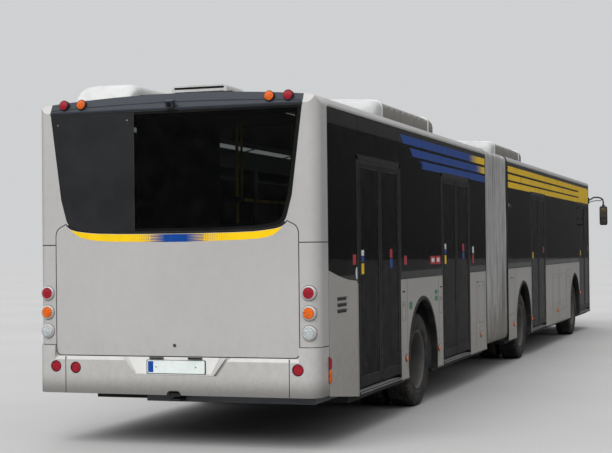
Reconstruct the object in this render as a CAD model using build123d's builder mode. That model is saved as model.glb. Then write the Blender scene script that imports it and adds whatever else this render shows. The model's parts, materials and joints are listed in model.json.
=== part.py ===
from build123d import *
import os
from math import cos, radians, sqrt

os.makedirs("parts", exist_ok=True)

# ---------------------------------------------------------------- frame
# +X forward, +Y left, +Z up, z = 0 on the road, millimetres.
# Stations run forward from the rear face; X_MID is the station of the middle
# of the whole length, mirrors included.
X_MID = 9150.0


def at(station):
    return station - X_MID


# ---------------------------------------------------------------- body sizes
HALF_W = 1275.0  # half width over the skin
WALL = 60.0  # wall, roof and end thickness
GLASS_BED = 12.0  # rebate that takes the bonded glass
GLASS = 11.5  # glass thickness
Z_SKIRT = 341.0  # lower edge of the side panels
Z_BELT = 1342.0  # lower edge of the glass band
Z_CANT = 2830.0  # top of the vertical side
Y_CANT = 1190.0  # centre of the roof corner radius
R_CANT = 85.0
Z_CROWN = 2975.0  # roof height on the centre line
FLOOR_Z0, FLOOR_Z1 = 300.0, 372.0
HALF_FLOOR = 1214.0

REAR_FACE = 30.0  # station of the rear end's flat face
CORNER_S = 281.0  # seam between rear corner and side panels
REAR_END = 6946.0  # front end of the rear section
FRONT_START = 8518.0  # rear end of the front section
FRONT_SIDE = 17620.0  # where the sides turn into the nose
NOSE = 18000.0
PIVOT = 7732.0  # centre of the articulation

# ---------------------------------------------------------------- wheels
WHEEL_R = 480.0
HUB_Z = 480.0
Y_OUTER = 1087.0  # middle plane of an outer tyre
Y_INNER = 763.0  # middle plane of an inner twin tyre
KINGPIN_Y = 1000.0
SPINDLE_R = 60.0
AXLE_REAR, AXLE_MIDDLE, AXLE_FRONT = 3550.0, 9800.0, 15450.0
ARCH_R = 594.0
ARCH_Z = 511.0  # centre height of the arch's round part

# Wheelhouses: station, inner wall |y|, half length, top
HOUSES = {
    "rear": (AXLE_REAR, 575.0, 600.0, 1130.0),
    "middle": (AXLE_MIDDLE, 575.0, 600.0, 1130.0),
    "front": (AXLE_FRONT, 598.0, 590.0, 1130.0),
}
HOUSE_T = 20.0

# Doors on the right side: rear jamb, front jamb, top of the opening
DOORS = {
    "door_1": (16160.0, 17600.0, 2420.0),
    "door_2": (10538.0, 11902.0, 2426.0),
    "door_3": (4483.0, 5929.0, 2426.0),
    "door_4": (1166.0, 2614.0, 2426.0),
}
SILL_Z0, SILL_Z1 = 333.0, 378.0
LEAF_Z0 = 416.0
LEAF_T = 35.0
LEAF_GAP = 6.0  # top gap, and half the gap between two leaves is 4
JAMB_GAP = 20.0
POST_BEHIND = 18.0  # post axis beside the opening, behind the jamb
POST_INBOARD = 85.0  # post axis inboard of the outer skin
LEAD = 90.0  # leading edge beyond the guided point
POST_R = 18.0
PIN_R, PIN_BORE = 10.0, 10.5


def crown_z(y):
    """Height of the roof skin at a distance y from the centre line."""
    rise = Z_CROWN - (Z_CANT + R_CANT)
    r = (Y_CANT**2 + rise**2) / (2 * rise)
    return Z_CROWN - r + sqrt(r**2 - y**2)


def section_face(drop, z0):
    """Body cross-section, drawn drop mm inside the skin, from z0 up."""
    h = HALF_W - drop
    r = R_CANT - drop
    k = r * cos(radians(45))
    with BuildSketch() as face:
        with BuildLine():
            if z0 < Z_CANT:
                Polyline((-h, Z_CANT), (-h, z0), (h, z0), (h, Z_CANT))
            else:
                Line((-h, Z_CANT), (h, Z_CANT))
            ThreePointArc((h, Z_CANT), (Y_CANT + k, Z_CANT + k), (Y_CANT, Z_CANT + r))
            ThreePointArc((Y_CANT, Z_CANT + r), (0, Z_CROWN - drop), (-Y_CANT, Z_CANT + r))
            ThreePointArc((-Y_CANT, Z_CANT + r), (-Y_CANT - k, Z_CANT + k), (-h, Z_CANT))
        make_face()
    return face.sketch


def nose_face(back, drop):
    """Plan of the nose from station back forward, drawn drop mm inside."""
    half, knee, front = HALF_W - drop, 1043.0 - 0.84 * drop, 17900.0 - 0.5 * drop
    with BuildSketch() as face:
        with BuildLine():
            Polyline((at(FRONT_SIDE), half), (at(back), half), (at(back), -half), (at(FRONT_SIDE), -half))
            TangentArc((at(FRONT_SIDE), -half), (at(front), -knee), tangent=(1, 0))
            ThreePointArc((at(front), -knee), (at(NOSE - drop), 0), (at(front), knee))
            TangentArc((at(FRONT_SIDE), half), (at(front), knee), tangent=(1, 0))
        make_face()
    return face.sketch


# ---------------------------------------------------------------- side walls
# name, side, first and last station, lower edge points, arches, doors,
# window openings (first station, last station)
REAR_SKIRT = [(CORNER_S, 435.0), (1180.0, Z_SKIRT)]
WALLS = [
    ("rear_left_wall", 1, CORNER_S, REAR_END, REAR_SKIRT, [AXLE_REAR], [],
     [(2000.0, 3490.0), (3610.0, 5190.0), (5310.0, 6840.0)]),
    ("rear_right_wall", -1, CORNER_S, REAR_END, REAR_SKIRT, [AXLE_REAR], ["door_3", "door_4"],
     [(380.0, 1080.0), (2710.0, 3490.0), (3610.0, 4390.0), (6020.0, 6840.0)]),
    ("front_left_wall", 1, FRONT_START, FRONT_SIDE, [], [AXLE_MIDDLE, AXLE_FRONT], [],
     [(8630.0, 10390.0), (10510.0, 12190.0), (12310.0, 13890.0), (14010.0, 15690.0), (15810.0, 17500.0)]),
    ("front_right_wall", -1, FRONT_START, FRONT_SIDE, [], [AXLE_MIDDLE, AXLE_FRONT], ["door_1", "door_2"],
     [(8630.0, 10440.0), (12000.0, 13330.0), (13450.0, 14710.0), (14830.0, 16060.0)]),
]
WINDOW_Z0, WINDOW_Z1 = 1420.0, 2700.0
CORNER_WINDOW_Z0 = 1490.0
CORNER_BELT = [(CORNER_S, 1472.0), (560.0, 1421.0), (860.0, 1381.0), (1166.0, 1362.0)]  # the belt rises at the rear corner

for name, side, s0, s1, skirt, arches, doors, windows in WALLS:
    skin = Plane.XZ.offset(-side * HALF_W)
    low = [(at(s), z) for s, z in skirt] or [(at(s0), Z_SKIRT)]
    belt = [(at(s), z) for s, z in CORNER_BELT] + [(at(1166.0), Z_BELT)] if skirt else [(at(s0), Z_BELT)]
    with BuildPart() as wall:
        with BuildSketch(skin):
            with BuildLine():
                Polyline(*low, (at(s1), Z_SKIRT), (at(s1), Z_CANT), (at(s0), Z_CANT), close=True)
            make_face()
            for s in arches:
                with Locations((at(s), ARCH_Z)):
                    Circle(ARCH_R, mode=Mode.SUBTRACT)
                with Locations((at(s), ARCH_Z - 150)):
                    Rectangle(2 * ARCH_R, 300, mode=Mode.SUBTRACT)
            for door in doors:
                d0, d1, top = DOORS[door]
                with Locations((at((d0 + d1) / 2), (top + 200) / 2)):
                    Rectangle(d1 - d0, top - 200, mode=Mode.SUBTRACT)
            for w0, w1 in windows:
                z0 = CORNER_WINDOW_Z0 if w1 < 1166.0 else WINDOW_Z0
                with Locations((at((w0 + w1) / 2), (z0 + WINDOW_Z1) / 2)):
                    RectangleRounded(w1 - w0, WINDOW_Z1 - z0, 60, mode=Mode.SUBTRACT)
        extrude(amount=side * WALL)
        with BuildSketch(skin):
            with BuildLine():
                Polyline(*belt, (at(s1) + 1, Z_BELT), (at(s1) + 1, Z_CANT + 1), (at(s0), Z_CANT + 1), close=True)
            make_face()
        extrude(amount=side * GLASS_BED, mode=Mode.SUBTRACT)
    wall.part.label = name
    export_step(wall.part, "parts/" + name + ".step")

# ---------------------------------------------------------------- glass
# All glass of a section. Side panes: side, first and last station, lower and upper edge
Z_GLASS0, Z_GLASS1 = 1346.0, 2828.0
HEAD = 2436.0  # lower edge of the panes over the doors
CAP_Z0 = 2842.0  # lower edge of the dark cap over the rear window
REAR_PANES = [
    (-1, 1169, 2611, HEAD, Z_GLASS1), (-1, 2617, 3547, Z_GLASS0, Z_GLASS1), (-1, 3553, 4480, Z_GLASS0, Z_GLASS1),
    (-1, 4486, 5926, HEAD, Z_GLASS1), (-1, 5932, 6944, Z_GLASS0, Z_GLASS1),
    (1, 1169, 1937, Z_GLASS0, Z_GLASS1), (1, 1943, 3547, Z_GLASS0, Z_GLASS1),
    (1, 3553, 5247, Z_GLASS0, Z_GLASS1), (1, 5253, 6944, Z_GLASS0, Z_GLASS1),
]
FRONT_PANES = [
    (-1, 8520, 10535, Z_GLASS0, Z_GLASS1), (-1, 10541, 11899, HEAD, Z_GLASS1), (-1, 11905, 13387, Z_GLASS0, Z_GLASS1),
    (-1, 13393, 14767, Z_GLASS0, Z_GLASS1), (-1, 14773, 16157, Z_GLASS0, Z_GLASS1), (-1, 16163, 17597, HEAD - 6, Z_GLASS1),
    (1, 8520, 10447, Z_GLASS0, Z_GLASS1), (1, 10453, 12247, Z_GLASS0, Z_GLASS1), (1, 12253, 13947, Z_GLASS0, Z_GLASS1),
    (1, 13953, 15747, Z_GLASS0, Z_GLASS1), (1, 15753, 17617, Z_GLASS0, Z_GLASS1),
]
# rear window outline: y, z of its right half, from the top corner down
REAR_WINDOW = [(1141, CAP_Z0 - 18), (1046, 2095), (1003, 1935), (992, 1905), (975, 1880), (945, 1858), (900, 1843),
               (800, 1829), (704, 1821), (500, 1815), (250, 1812.6)]
WINDOW_REBATE = [(1146, CAP_Z0 - 14), (1051, 2095), (1008, 1934), (997, 1903), (979, 1876), (948, 1853.5), (901, 1838),
                 (801, 1824), (705, 1816), (500, 1810), (250, 1807.6)]
# the lid's outline and the rebate it lies in: y, z of the right half, from the foot up and over to the middle
LID_HALF = [(1100, 812), (1100, 1779), (1097, 1803), (1088, 1826), (1073, 1844.5), (1050.5, 1857.8), (1006.7, 1878.8),
            (996, 1863.6), (959.5, 1838.4), (905.5, 1822.6), (802.8, 1809), (705.5, 1801), (500, 1795), (250, 1792.6)]
LID_REBATE = [(1108, 800), (1108, 1782), (1105, 1806), (1095, 1831), (1078, 1851), (1054, 1865), (1004, 1889), (990, 1869),
              (955, 1845), (904, 1830.5), (802, 1817), (705, 1809), (500, 1803), (250, 1800.6)]
with BuildPart() as rear_windows:
    for side, p0, p1, z0, z1 in REAR_PANES:
        with BuildSketch(Plane.XZ.offset(-side * HALF_W)):
            with Locations((at((p0 + p1) / 2), (z0 + z1) / 2)):
                Rectangle(p1 - p0, z1 - z0)
        extrude(amount=side * GLASS)
    # the pane at each rear corner has a slanting lower edge
    for side in (1, -1):
        with BuildSketch(Plane.XZ.offset(-side * HALF_W)):
            with BuildLine():
                Polyline((at(CORNER_S + 3), 1476), (at(561), 1425.5), (at(861), 1385.5), (at(1163), 1367),
                         (at(1163), Z_GLASS1), (at(CORNER_S + 3), Z_GLASS1), close=True)
            make_face()
        extrude(amount=side * GLASS)
    with BuildSketch(Plane.YZ.offset(at(REAR_FACE))):
        with BuildLine():
            Polyline(*[(-y, z) for y, z in REAR_WINDOW], (0, 1812), *reversed(REAR_WINDOW), close=True)
        make_face()
    extrude(amount=12)
rear_windows.part.label = "rear_windows"
export_step(rear_windows.part, "parts/rear_windows.step")

with BuildPart() as front_windows:
    # windscreen, wrapped round the nose
    with BuildSketch(Plane.XY.offset(1003)):
        add(nose_face(17000, 0))
    extrude(amount=Z_CANT - 1006)
    with BuildSketch(Plane.XY.offset(1000)):
        add(nose_face(16900, GLASS))
    extrude(amount=Z_CANT - 990, mode=Mode.SUBTRACT)
    with BuildSketch(Plane.XY.offset(900)):
        with Locations((at(FRONT_SIDE - 498), 0)):
            Rectangle(1000, 3000)
    extrude(amount=2000, mode=Mode.SUBTRACT)
    for side, p0, p1, z0, z1 in FRONT_PANES:
        with BuildSketch(Plane.XZ.offset(-side * HALF_W)):
            with Locations((at((p0 + p1) / 2), (z0 + z1) / 2)):
                Rectangle(p1 - p0, z1 - z0)
        extrude(amount=side * GLASS)
front_windows.part.label = "front_windows"
export_step(front_windows.part, "parts/front_windows.step")

# ---------------------------------------------------------------- roofs
with BuildPart() as rear_roof:
    with BuildSketch(Plane.YZ.offset(at(CORNER_S))):
        add(section_face(0, Z_CANT))
    extrude(amount=REAR_END - CORNER_S)
    with BuildSketch(Plane.YZ.offset(at(CORNER_S - 1))):
        add(section_face(WALL, Z_CANT - 1))
    extrude(amount=REAR_END - CORNER_S + 2, mode=Mode.SUBTRACT)
rear_roof.part.label = "rear_roof"
export_step(rear_roof.part, "parts/rear_roof.step")

with BuildPart() as front_roof:
    with BuildSketch(Plane.YZ.offset(at(FRONT_START))):
        add(section_face(0, Z_CANT))
    extrude(amount=NOSE - FRONT_START)
    with BuildSketch(Plane.XY.offset(Z_CANT - 10)):
        add(nose_face(FRONT_START, 0))
    extrude(amount=300, mode=Mode.INTERSECT)
    with BuildSketch(Plane.YZ.offset(at(FRONT_START - 1))):
        add(section_face(WALL, Z_CANT - 1))
    extrude(amount=17840 - FRONT_START, mode=Mode.SUBTRACT)
front_roof.part.label = "front_roof"
export_step(front_roof.part, "parts/front_roof.step")

# ---------------------------------------------------------------- rear end
with BuildPart() as rear_end_frame:
    with BuildSketch(Plane.YZ.offset(at(REAR_FACE))):
        add(section_face(0, 852))
    extrude(amount=CORNER_S - REAR_FACE)
    with BuildSketch(Plane.XY.offset(800)):
        with Locations((at(REAR_FACE + 400), 0)):
            RectangleRounded(800, 2 * HALF_W, 100)
    extrude(amount=2400, mode=Mode.INTERSECT)
    with BuildSketch(Plane.YZ.offset(at(REAR_FACE + WALL))):
        add(section_face(WALL, 800))
    extrude(amount=CORNER_S - REAR_FACE, mode=Mode.SUBTRACT)
    # the cap leans forward above the window
    with BuildSketch(Plane.XZ.offset(-HALF_W - 1)):
        with BuildLine():
            Polyline((at(REAR_FACE - 5), CAP_Z0), (at(REAR_FACE), CAP_Z0), (at(REAR_FACE + 75), Z_CROWN + 5),
                     (at(REAR_FACE - 5), Z_CROWN + 5), close=True)
        make_face()
    extrude(amount=2 * HALF_W + 2, mode=Mode.SUBTRACT)
    # rear window: rebate and opening
    with BuildSketch(Plane.YZ.offset(at(REAR_FACE - 1))):
        with BuildLine():
            Polyline(*[(-y, z) for y, z in WINDOW_REBATE], (0, 1807), *reversed(WINDOW_REBATE), close=True)
        make_face()
    extrude(amount=14, mode=Mode.SUBTRACT)
    with BuildSketch(Plane.YZ.offset(at(REAR_FACE))):
        with BuildLine():
            Polyline((-1085, 2770), (-1000, 2095), (-955, 1915), (-700, 1870), (0, 1862), (700, 1870),
                     (955, 1915), (1000, 2095), (1085, 2770), close=True)
        make_face()
    extrude(amount=WALL + 1, mode=Mode.SUBTRACT)
    # engine lid: rebate and opening
    with BuildSketch(Plane.YZ.offset(at(REAR_FACE - 1))):
        with BuildLine():
            Polyline(*[(-y, z) for y, z in LID_REBATE], (0, 1800), *reversed(LID_REBATE), close=True)
        make_face()
    extrude(amount=50, mode=Mode.SUBTRACT)
    with BuildSketch(Plane.YZ.offset(at(REAR_FACE))):
        with Locations((0, 1230)):
            Rectangle(2100, 860)
    extrude(amount=WALL + 1, mode=Mode.SUBTRACT)
    # pockets for the six corner lamps
    with BuildSketch(Plane.YZ.offset(at(REAR_FACE - 1))):
        with Locations(*[(y, z) for y in (-1186, 1186) for z in (969, 1130, 1294)]):
            Circle(64)
    extrude(amount=36, mode=Mode.SUBTRACT)
rear_end_frame.part.label = "rear_end_frame"
export_step(rear_end_frame.part, "parts/rear_end_frame.step")

LID_T = 40.0
with BuildPart() as engine_lid:
    with BuildSketch(Plane.YZ.offset(at(REAR_FACE))):
        with BuildLine():
            Polyline(*[(-y, z) for y, z in LID_HALF], (0, 1792), *reversed(LID_HALF), (1096, 792), (1084, 776),
                     (1066, 768), (-1066, 768), (-1084, 776), (-1096, 792), close=True)
        make_face()
    extrude(amount=LID_T)
engine_lid.part.label = "engine_lid"
export_step(engine_lid.part, "parts/engine_lid.step")

BUMPER_R = 110.0
BUMPER_Z0 = 445.0
with BuildPart() as rear_bumper:
    with BuildSketch(Plane.XY.offset(BUMPER_Z0)):
        with Locations((at(400), 0)):
            RectangleRounded(800, 2 * HALF_W, BUMPER_R)
        with Locations((at(400 + WALL), 0)):
            RectangleRounded(800, 2 * (HALF_W - WALL), BUMPER_R - WALL, mode=Mode.SUBTRACT)
        with Locations((at(CORNER_S + 400), 0)):
            Rectangle(800, 3000, mode=Mode.SUBTRACT)
    extrude(amount=850 - BUMPER_Z0)
    with BuildSketch(Plane.XY.offset(760)):
        with Locations((at(40), 0)):
            Rectangle(120, 2 * 1106)
    extrude(amount=100, mode=Mode.SUBTRACT)
    # sloped ledge along the upper edge
    with BuildSketch(Plane.XZ.offset(-1106)):
        with BuildLine():
            Polyline((at(-1), 729), (at(24), 761), (at(-1), 761), close=True)
        make_face()
    extrude(amount=2212, mode=Mode.SUBTRACT)
    # recess for the number plate
    with BuildSketch(Plane.YZ.offset(at(-1))):
        with BuildLine():
            Polyline((-504, 762), (471, 762), (361, 610), (-392, 610), close=True)
        make_face()
    extrude(amount=26, mode=Mode.SUBTRACT)
    # notch for the towing jaw
    with BuildSketch(Plane.YZ.offset(at(-1))):
        with Locations((0, BUMPER_Z0)):
            SlotCenterToCenter(56, 64)
    extrude(amount=70, mode=Mode.SUBTRACT)
    # pockets for the round bumper lamps
    with BuildSketch(Plane.YZ.offset(at(-1))):
        with Locations((1096, 671), (-1096, 671), (909, 662)):
            Circle(50)
    extrude(amount=31, mode=Mode.SUBTRACT)
rear_bumper.part.label = "rear_bumper"
export_step(rear_bumper.part, "parts/rear_bumper.step")

# round lamps: y, z, radius, first and last station
LAMPS = [(y, z, 62.0, 6.0, 64.0) for y in (-1186, 1186) for z in (969, 1130, 1294)]
LAMPS += [(1096, 671, 48.0, 2.0, 28.0), (-1096, 671, 48.0, 2.0, 28.0), (909, 662, 48.0, 2.0, 28.0)]
with BuildPart() as tail_lamps:
    for y, z, r, s0, s1 in LAMPS:
        with BuildSketch(Plane.YZ.offset(at(s0))):
            with Locations((y, z)):
                Circle(r)
        extrude(amount=s1 - s0)
    # upper lamps on the leaning face of the cap
    for y in (-1023, -858, 858, 1023):
        with BuildSketch(Plane.YZ.offset(at(34))):
            with Locations((y, 2907)):
                Circle(44)
        extrude(amount=30)
    with BuildSketch(Plane.XZ.offset(-HALF_W)):
        with BuildLine():
            Polyline((at(REAR_FACE), CAP_Z0), (at(REAR_FACE + 75), Z_CROWN + 5), (at(REAR_FACE + 275), Z_CROWN + 5),
                     (at(REAR_FACE + 275), CAP_Z0), close=True)
        make_face()
    extrude(amount=2 * HALF_W, mode=Mode.SUBTRACT)
tail_lamps.part.label = "tail_lamps"
export_step(tail_lamps.part, "parts/tail_lamps.step")

# ---------------------------------------------------------------- nose
with BuildPart() as front_mask:
    with BuildSketch(Plane.XY.offset(330)):
        add(nose_face(17000, 0))
    extrude(amount=670)
    with BuildSketch(Plane.XY.offset(329)):
        add(nose_face(16900, WALL))
    extrude(amount=672, mode=Mode.SUBTRACT)
    with BuildSketch(Plane.XY.offset(1000)):
        add(nose_face(17000, 14))
    extrude(amount=Z_CANT - 1000)
    with BuildSketch(Plane.XY.offset(999)):
        add(nose_face(16900, WALL))
    extrude(amount=Z_CANT - 998, mode=Mode.SUBTRACT)
    with BuildSketch(Plane.XY.offset(300)):
        with Locations((at(FRONT_SIDE - 500), 0)):
            Rectangle(1000, 3000)
    extrude(amount=2600, mode=Mode.SUBTRACT)
    # opening behind the windscreen, and one beside the driver
    with BuildSketch(Plane.YZ.offset(at(17760))):
        with Locations((0, 1770)):
            Rectangle(2160, 1380)
    extrude(amount=400, mode=Mode.SUBTRACT)
    # lamp pockets and the grille slot between them
    with BuildSketch(Plane.YZ.offset(at(17740))):
        with Locations((-940, 640), (940, 640)):
            Rectangle(300, 190)
        with Locations((0, 560)):
            Rectangle(900, 60)
    extrude(amount=400, mode=Mode.SUBTRACT)
    # towing eye socket
    with BuildSketch(Plane.YZ.offset(at(17880))):
        with Locations((-560, 430)):
            Circle(32)
    extrude(amount=100)
    with BuildSketch(Plane.YZ.offset(at(17920))):
        with Locations((-560, 430)):
            Circle(16)
    extrude(amount=100, mode=Mode.SUBTRACT)
front_mask.part.label = "front_mask"
export_step(front_mask.part, "parts/front_mask.step")

with BuildPart() as headlamps:
    with BuildSketch(Plane.XY.offset(549)):
        add(nose_face(17000, 2))
    extrude(amount=182)
    with BuildSketch(Plane.XY.offset(540)):
        add(nose_face(16900, WALL))
    extrude(amount=200, mode=Mode.SUBTRACT)
    with BuildSketch(Plane.YZ.offset(at(17745))):
        with Locations((-940, 640), (940, 640)):
            Rectangle(292, 182)
    extrude(amount=400, mode=Mode.INTERSECT)
headlamps.part.label = "headlamps"
export_step(headlamps.part, "parts/headlamps.step")

# Mirrors hang on arms from pads on the front corner pillars.
MIRROR_Y, MIRROR_S = 1508.0, 18205.0
with BuildPart() as mirrors:
    for side in (1, -1):
        with BuildSketch(Plane.XY.offset(2490)):
            with Locations((at(17795), side * 1225)):
                Rectangle(60, 96)
        extrude(amount=130)
    with BuildSketch(Plane.XY.offset(2400)):
        add(nose_face(17000, -0.5))
    extrude(amount=400, mode=Mode.SUBTRACT)
    for side in (1, -1):
        with BuildLine() as arm_line:
            FilletPolyline((at(17800), side * 1262, 2560), (at(17990), side * 1360, 2640),
                           (at(18190), side * MIRROR_Y, 2600), (at(18205), side * MIRROR_Y, 2440), radius=50)
        with BuildSketch(Plane(origin=(at(17800), side * 1262, 2560), z_dir=(190, side * 98, 80))):
            Circle(16)
        sweep(path=arm_line.line)
        with BuildSketch(Plane.XY.offset(2060)):
            with Locations((at(MIRROR_S), side * MIRROR_Y)):
                RectangleRounded(190, 156, 60)
        extrude(amount=390)
mirrors.part.label = "mirrors"
export_step(mirrors.part, "parts/mirrors.step")

# ---------------------------------------------------------------- floors
# Behind the engine the floor steps up, so that nothing hangs below the bumper.
TAIL_END, TAIL_Z0, TAIL_Z1 = 1000.0, 450.0, 482.0
# node, first and last station, wheelhouses, doors, runs of the two frame rails
FLOORS = [
    ("rear_floor", TAIL_END, REAR_END, ["rear"], ["door_3", "door_4"], [(2100, 3300), (3800, 6700)]),
    ("front_floor", FRONT_START, 17700.0, ["middle", "front"], ["door_1", "door_2"],
     [(8800, 9550), (10050, 15200), (15700, 17500)]),
]
for name, s0, s1, houses, doors, rails in FLOORS:
    with BuildPart() as floor:
        with BuildSketch(Plane.XY.offset(FLOOR_Z0)):
            with Locations((at((s0 + s1) / 2), 0)):
                Rectangle(s1 - s0, 2 * HALF_FLOOR)
        extrude(amount=FLOOR_Z1 - FLOOR_Z0)
        if s1 > FRONT_SIDE:
            with BuildSketch(Plane.XY.offset(FLOOR_Z0)):
                add(nose_face(8400, WALL + 2))
            extrude(amount=FLOOR_Z1 - FLOOR_Z0, mode=Mode.INTERSECT)
        for door in doors:
            d0, d1, top = DOORS[door]
            with BuildSketch(Plane.XY.offset(SILL_Z0)):
                with Locations((at((d0 + d1) / 2), -(HALF_FLOOR - 40 + HALF_W) / 2)):
                    Rectangle(d1 - d0 - 6, HALF_W - HALF_FLOOR + 40)
            extrude(amount=FLOOR_Z1 - SILL_Z0)
            with BuildSketch(Plane.XY.offset(SILL_Z0)):
                with Locations((at((d0 + d1) / 2), -(1240 + HALF_W) / 2)):
                    Rectangle(d1 - d0 - 6, HALF_W - 1240)
            extrude(amount=SILL_Z1 - SILL_Z0)
        # wheelhouses, closed boxes open below and outboard
        for house in houses:
            sw, yi, half, top = HOUSES[house]
            for side in (1, -1):
                with BuildSketch(Plane.XY.offset(FLOOR_Z0)):
                    with Locations((at(sw), side * (yi - HOUSE_T + HALF_FLOOR) / 2)):
                        Rectangle(2 * (half + HOUSE_T), HALF_FLOOR - yi + HOUSE_T)
                extrude(amount=top + HOUSE_T - FLOOR_Z0)
        for house in houses:
            sw, yi, half, top = HOUSES[house]
            for side in (1, -1):
                with BuildSketch(Plane.XY.offset(FLOOR_Z0 - 1)):
                    with Locations((at(sw), side * (yi + HALF_FLOOR + 1) / 2)):
                        Rectangle(2 * half, HALF_FLOOR + 1 - yi)
                extrude(amount=top - FLOOR_Z0 + 1, mode=Mode.SUBTRACT)
        for r0, r1 in rails:
            with BuildSketch(Plane.XY.offset(225)):
                with Locations((at((r0 + r1) / 2), 430), (at((r0 + r1) / 2), -430)):
                    Rectangle(r1 - r0, 70)
            extrude(amount=FLOOR_Z0 - 225 + 5)
        if name == "rear_floor":
            # tower around the engine at the rear left
            with BuildSketch(Plane.XY.offset(TAIL_Z0)):
                with Locations((at((100 + TAIL_END + 20) / 2), 0)):
                    Rectangle(TAIL_END - 80, 2 * HALF_FLOOR)
            extrude(amount=TAIL_Z1 - TAIL_Z0)
            with BuildSketch(Plane.XY.offset(FLOOR_Z0)):
                with Locations((at(TAIL_END + 10), 0)):
                    Rectangle(20, 2 * HALF_FLOOR)
            extrude(amount=TAIL_Z1 - FLOOR_Z0)
            with BuildSketch(Plane.XY.offset(TAIL_Z1 - 5)):
                with Locations((at(1010), 352)):
                    Rectangle(1820, 24)
            extrude(amount=2800 - TAIL_Z1 + 5)
            with BuildSketch(Plane.XY.offset(FLOOR_Z1 - 5)):
                with Locations((at((TAIL_END + 1920) / 2), 352)):
                    Rectangle(1920 - TAIL_END, 24)
                with Locations((at(1908), (340 + HALF_FLOOR) / 2)):
                    Rectangle(24, HALF_FLOOR - 340)
            extrude(amount=2800 - FLOOR_Z1 + 5)
            # towing jaw with its vertical bore
            with BuildSketch(Plane.XY.offset(392)):
                with Locations((at(87), 0)):
                    Rectangle(124, 96)
            extrude(amount=TAIL_Z1 - 20 - 392)
            with BuildSketch(Plane.XY.offset(410)):
                with Locations((at(65), 0)):
                    Rectangle(90, 106)
            extrude(amount=22, mode=Mode.SUBTRACT)
            with BuildSketch(Plane.XY.offset(382)):
                with Locations((at(66), 0)):
                    Circle(20)
            extrude(amount=68, mode=Mode.SUBTRACT)
    floor.part.label = name
    export_step(floor.part, "parts/" + name + ".step")

# ---------------------------------------------------------------- engine
with BuildPart() as engine:
    with BuildSketch(Plane.XY.offset(TAIL_Z1 + 8)):
        with Locations((at(1190), 780)):
            Rectangle(1020, 760)
    extrude(amount=840)
    chamfer(engine.edges().filter_by(Axis.Z), 40)
engine.part.label = "engine"
export_step(engine.part, "parts/engine.step")

# ---------------------------------------------------------------- axles
# Dropped beam under the low floor, uprights beside the wheels, wheel spindles.
BEAM_Z0, BEAM_Z1 = 175.0, 290.0
# Both axles of the front section. The front beam's arms reach into the wheels
# and end in an eye on the kingpin.
EYE_R, EYE_BORE = 55.0, 25.5
with BuildPart() as front_section_axles:
    with BuildSketch(Plane.XY.offset(BEAM_Z0)):
        with Locations((at(AXLE_MIDDLE), 0)):
            Rectangle(180, 2 * 612)
    extrude(amount=BEAM_Z1 - BEAM_Z0)
    with BuildSketch(Plane.XZ.offset(-612)):
        with Locations((at(AXLE_MIDDLE), HUB_Z - 90)):
            Rectangle(180, 430)
    extrude(amount=30)
    with BuildSketch(Plane.XZ.offset(582)):
        with Locations((at(AXLE_MIDDLE), HUB_Z - 90)):
            Rectangle(180, 430)
    extrude(amount=30)
    for side in (1, -1):
        with BuildSketch(Plane.XZ.offset(-side * 600)):
            with Locations((at(AXLE_MIDDLE), HUB_Z)):
                Circle(SPINDLE_R)
        extrude(amount=-side * 480)
    with BuildSketch(Plane.XY.offset(BEAM_Z0)):
        with Locations((at(AXLE_FRONT), 0)):
            Rectangle(110, 2 * 650)
    extrude(amount=BEAM_Z1 - BEAM_Z0)
    for side in (1, -1):
        with BuildSketch(Plane.XY.offset(BEAM_Z0)):
            with Locations((at(AXLE_FRONT), side * 627)):
                Rectangle(110, 46)
        extrude(amount=HUB_Z + 40 - BEAM_Z0)
        with BuildSketch(Plane.XY.offset(HUB_Z - 40)):
            with Locations((at(AXLE_FRONT), side * (605 + KINGPIN_Y) / 2)):
                Rectangle(90, KINGPIN_Y - 605)
            with Locations((at(AXLE_FRONT), side * KINGPIN_Y)):
                Circle(EYE_R)
        extrude(amount=80)
        with BuildSketch(Plane.XY.offset(HUB_Z - 60)):
            with Locations((at(AXLE_FRONT), side * KINGPIN_Y)):
                Circle(EYE_BORE)
        extrude(amount=120, mode=Mode.SUBTRACT)
front_section_axles.part.label = "front_section_axles"
export_step(front_section_axles.part, "parts/front_section_axles.step")

with BuildPart() as drive_axle:
    with BuildSketch(Plane.XY.offset(BEAM_Z0)):
        with Locations((at(AXLE_REAR), 0)):
            Rectangle(200, 2 * 612)
        with Locations((at(AXLE_REAR), 250)):
            Circle(190)
    extrude(amount=BEAM_Z1 - BEAM_Z0)
    with BuildSketch(Plane.XZ.offset(-612)):
        with Locations((at(AXLE_REAR), HUB_Z - 70)):
            Rectangle(220, 470)
    extrude(amount=30)
    with BuildSketch(Plane.XZ.offset(582)):
        with Locations((at(AXLE_REAR), HUB_Z - 70)):
            Rectangle(220, 470)
    extrude(amount=30)
    for side in (1, -1):
        with BuildSketch(Plane.XZ.offset(-side * 600)):
            with Locations((at(AXLE_REAR), HUB_Z)):
                Circle(SPINDLE_R)
        extrude(amount=-side * 480)
drive_axle.part.label = "drive_axle"
export_step(drive_axle.part, "parts/drive_axle.step")

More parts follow.
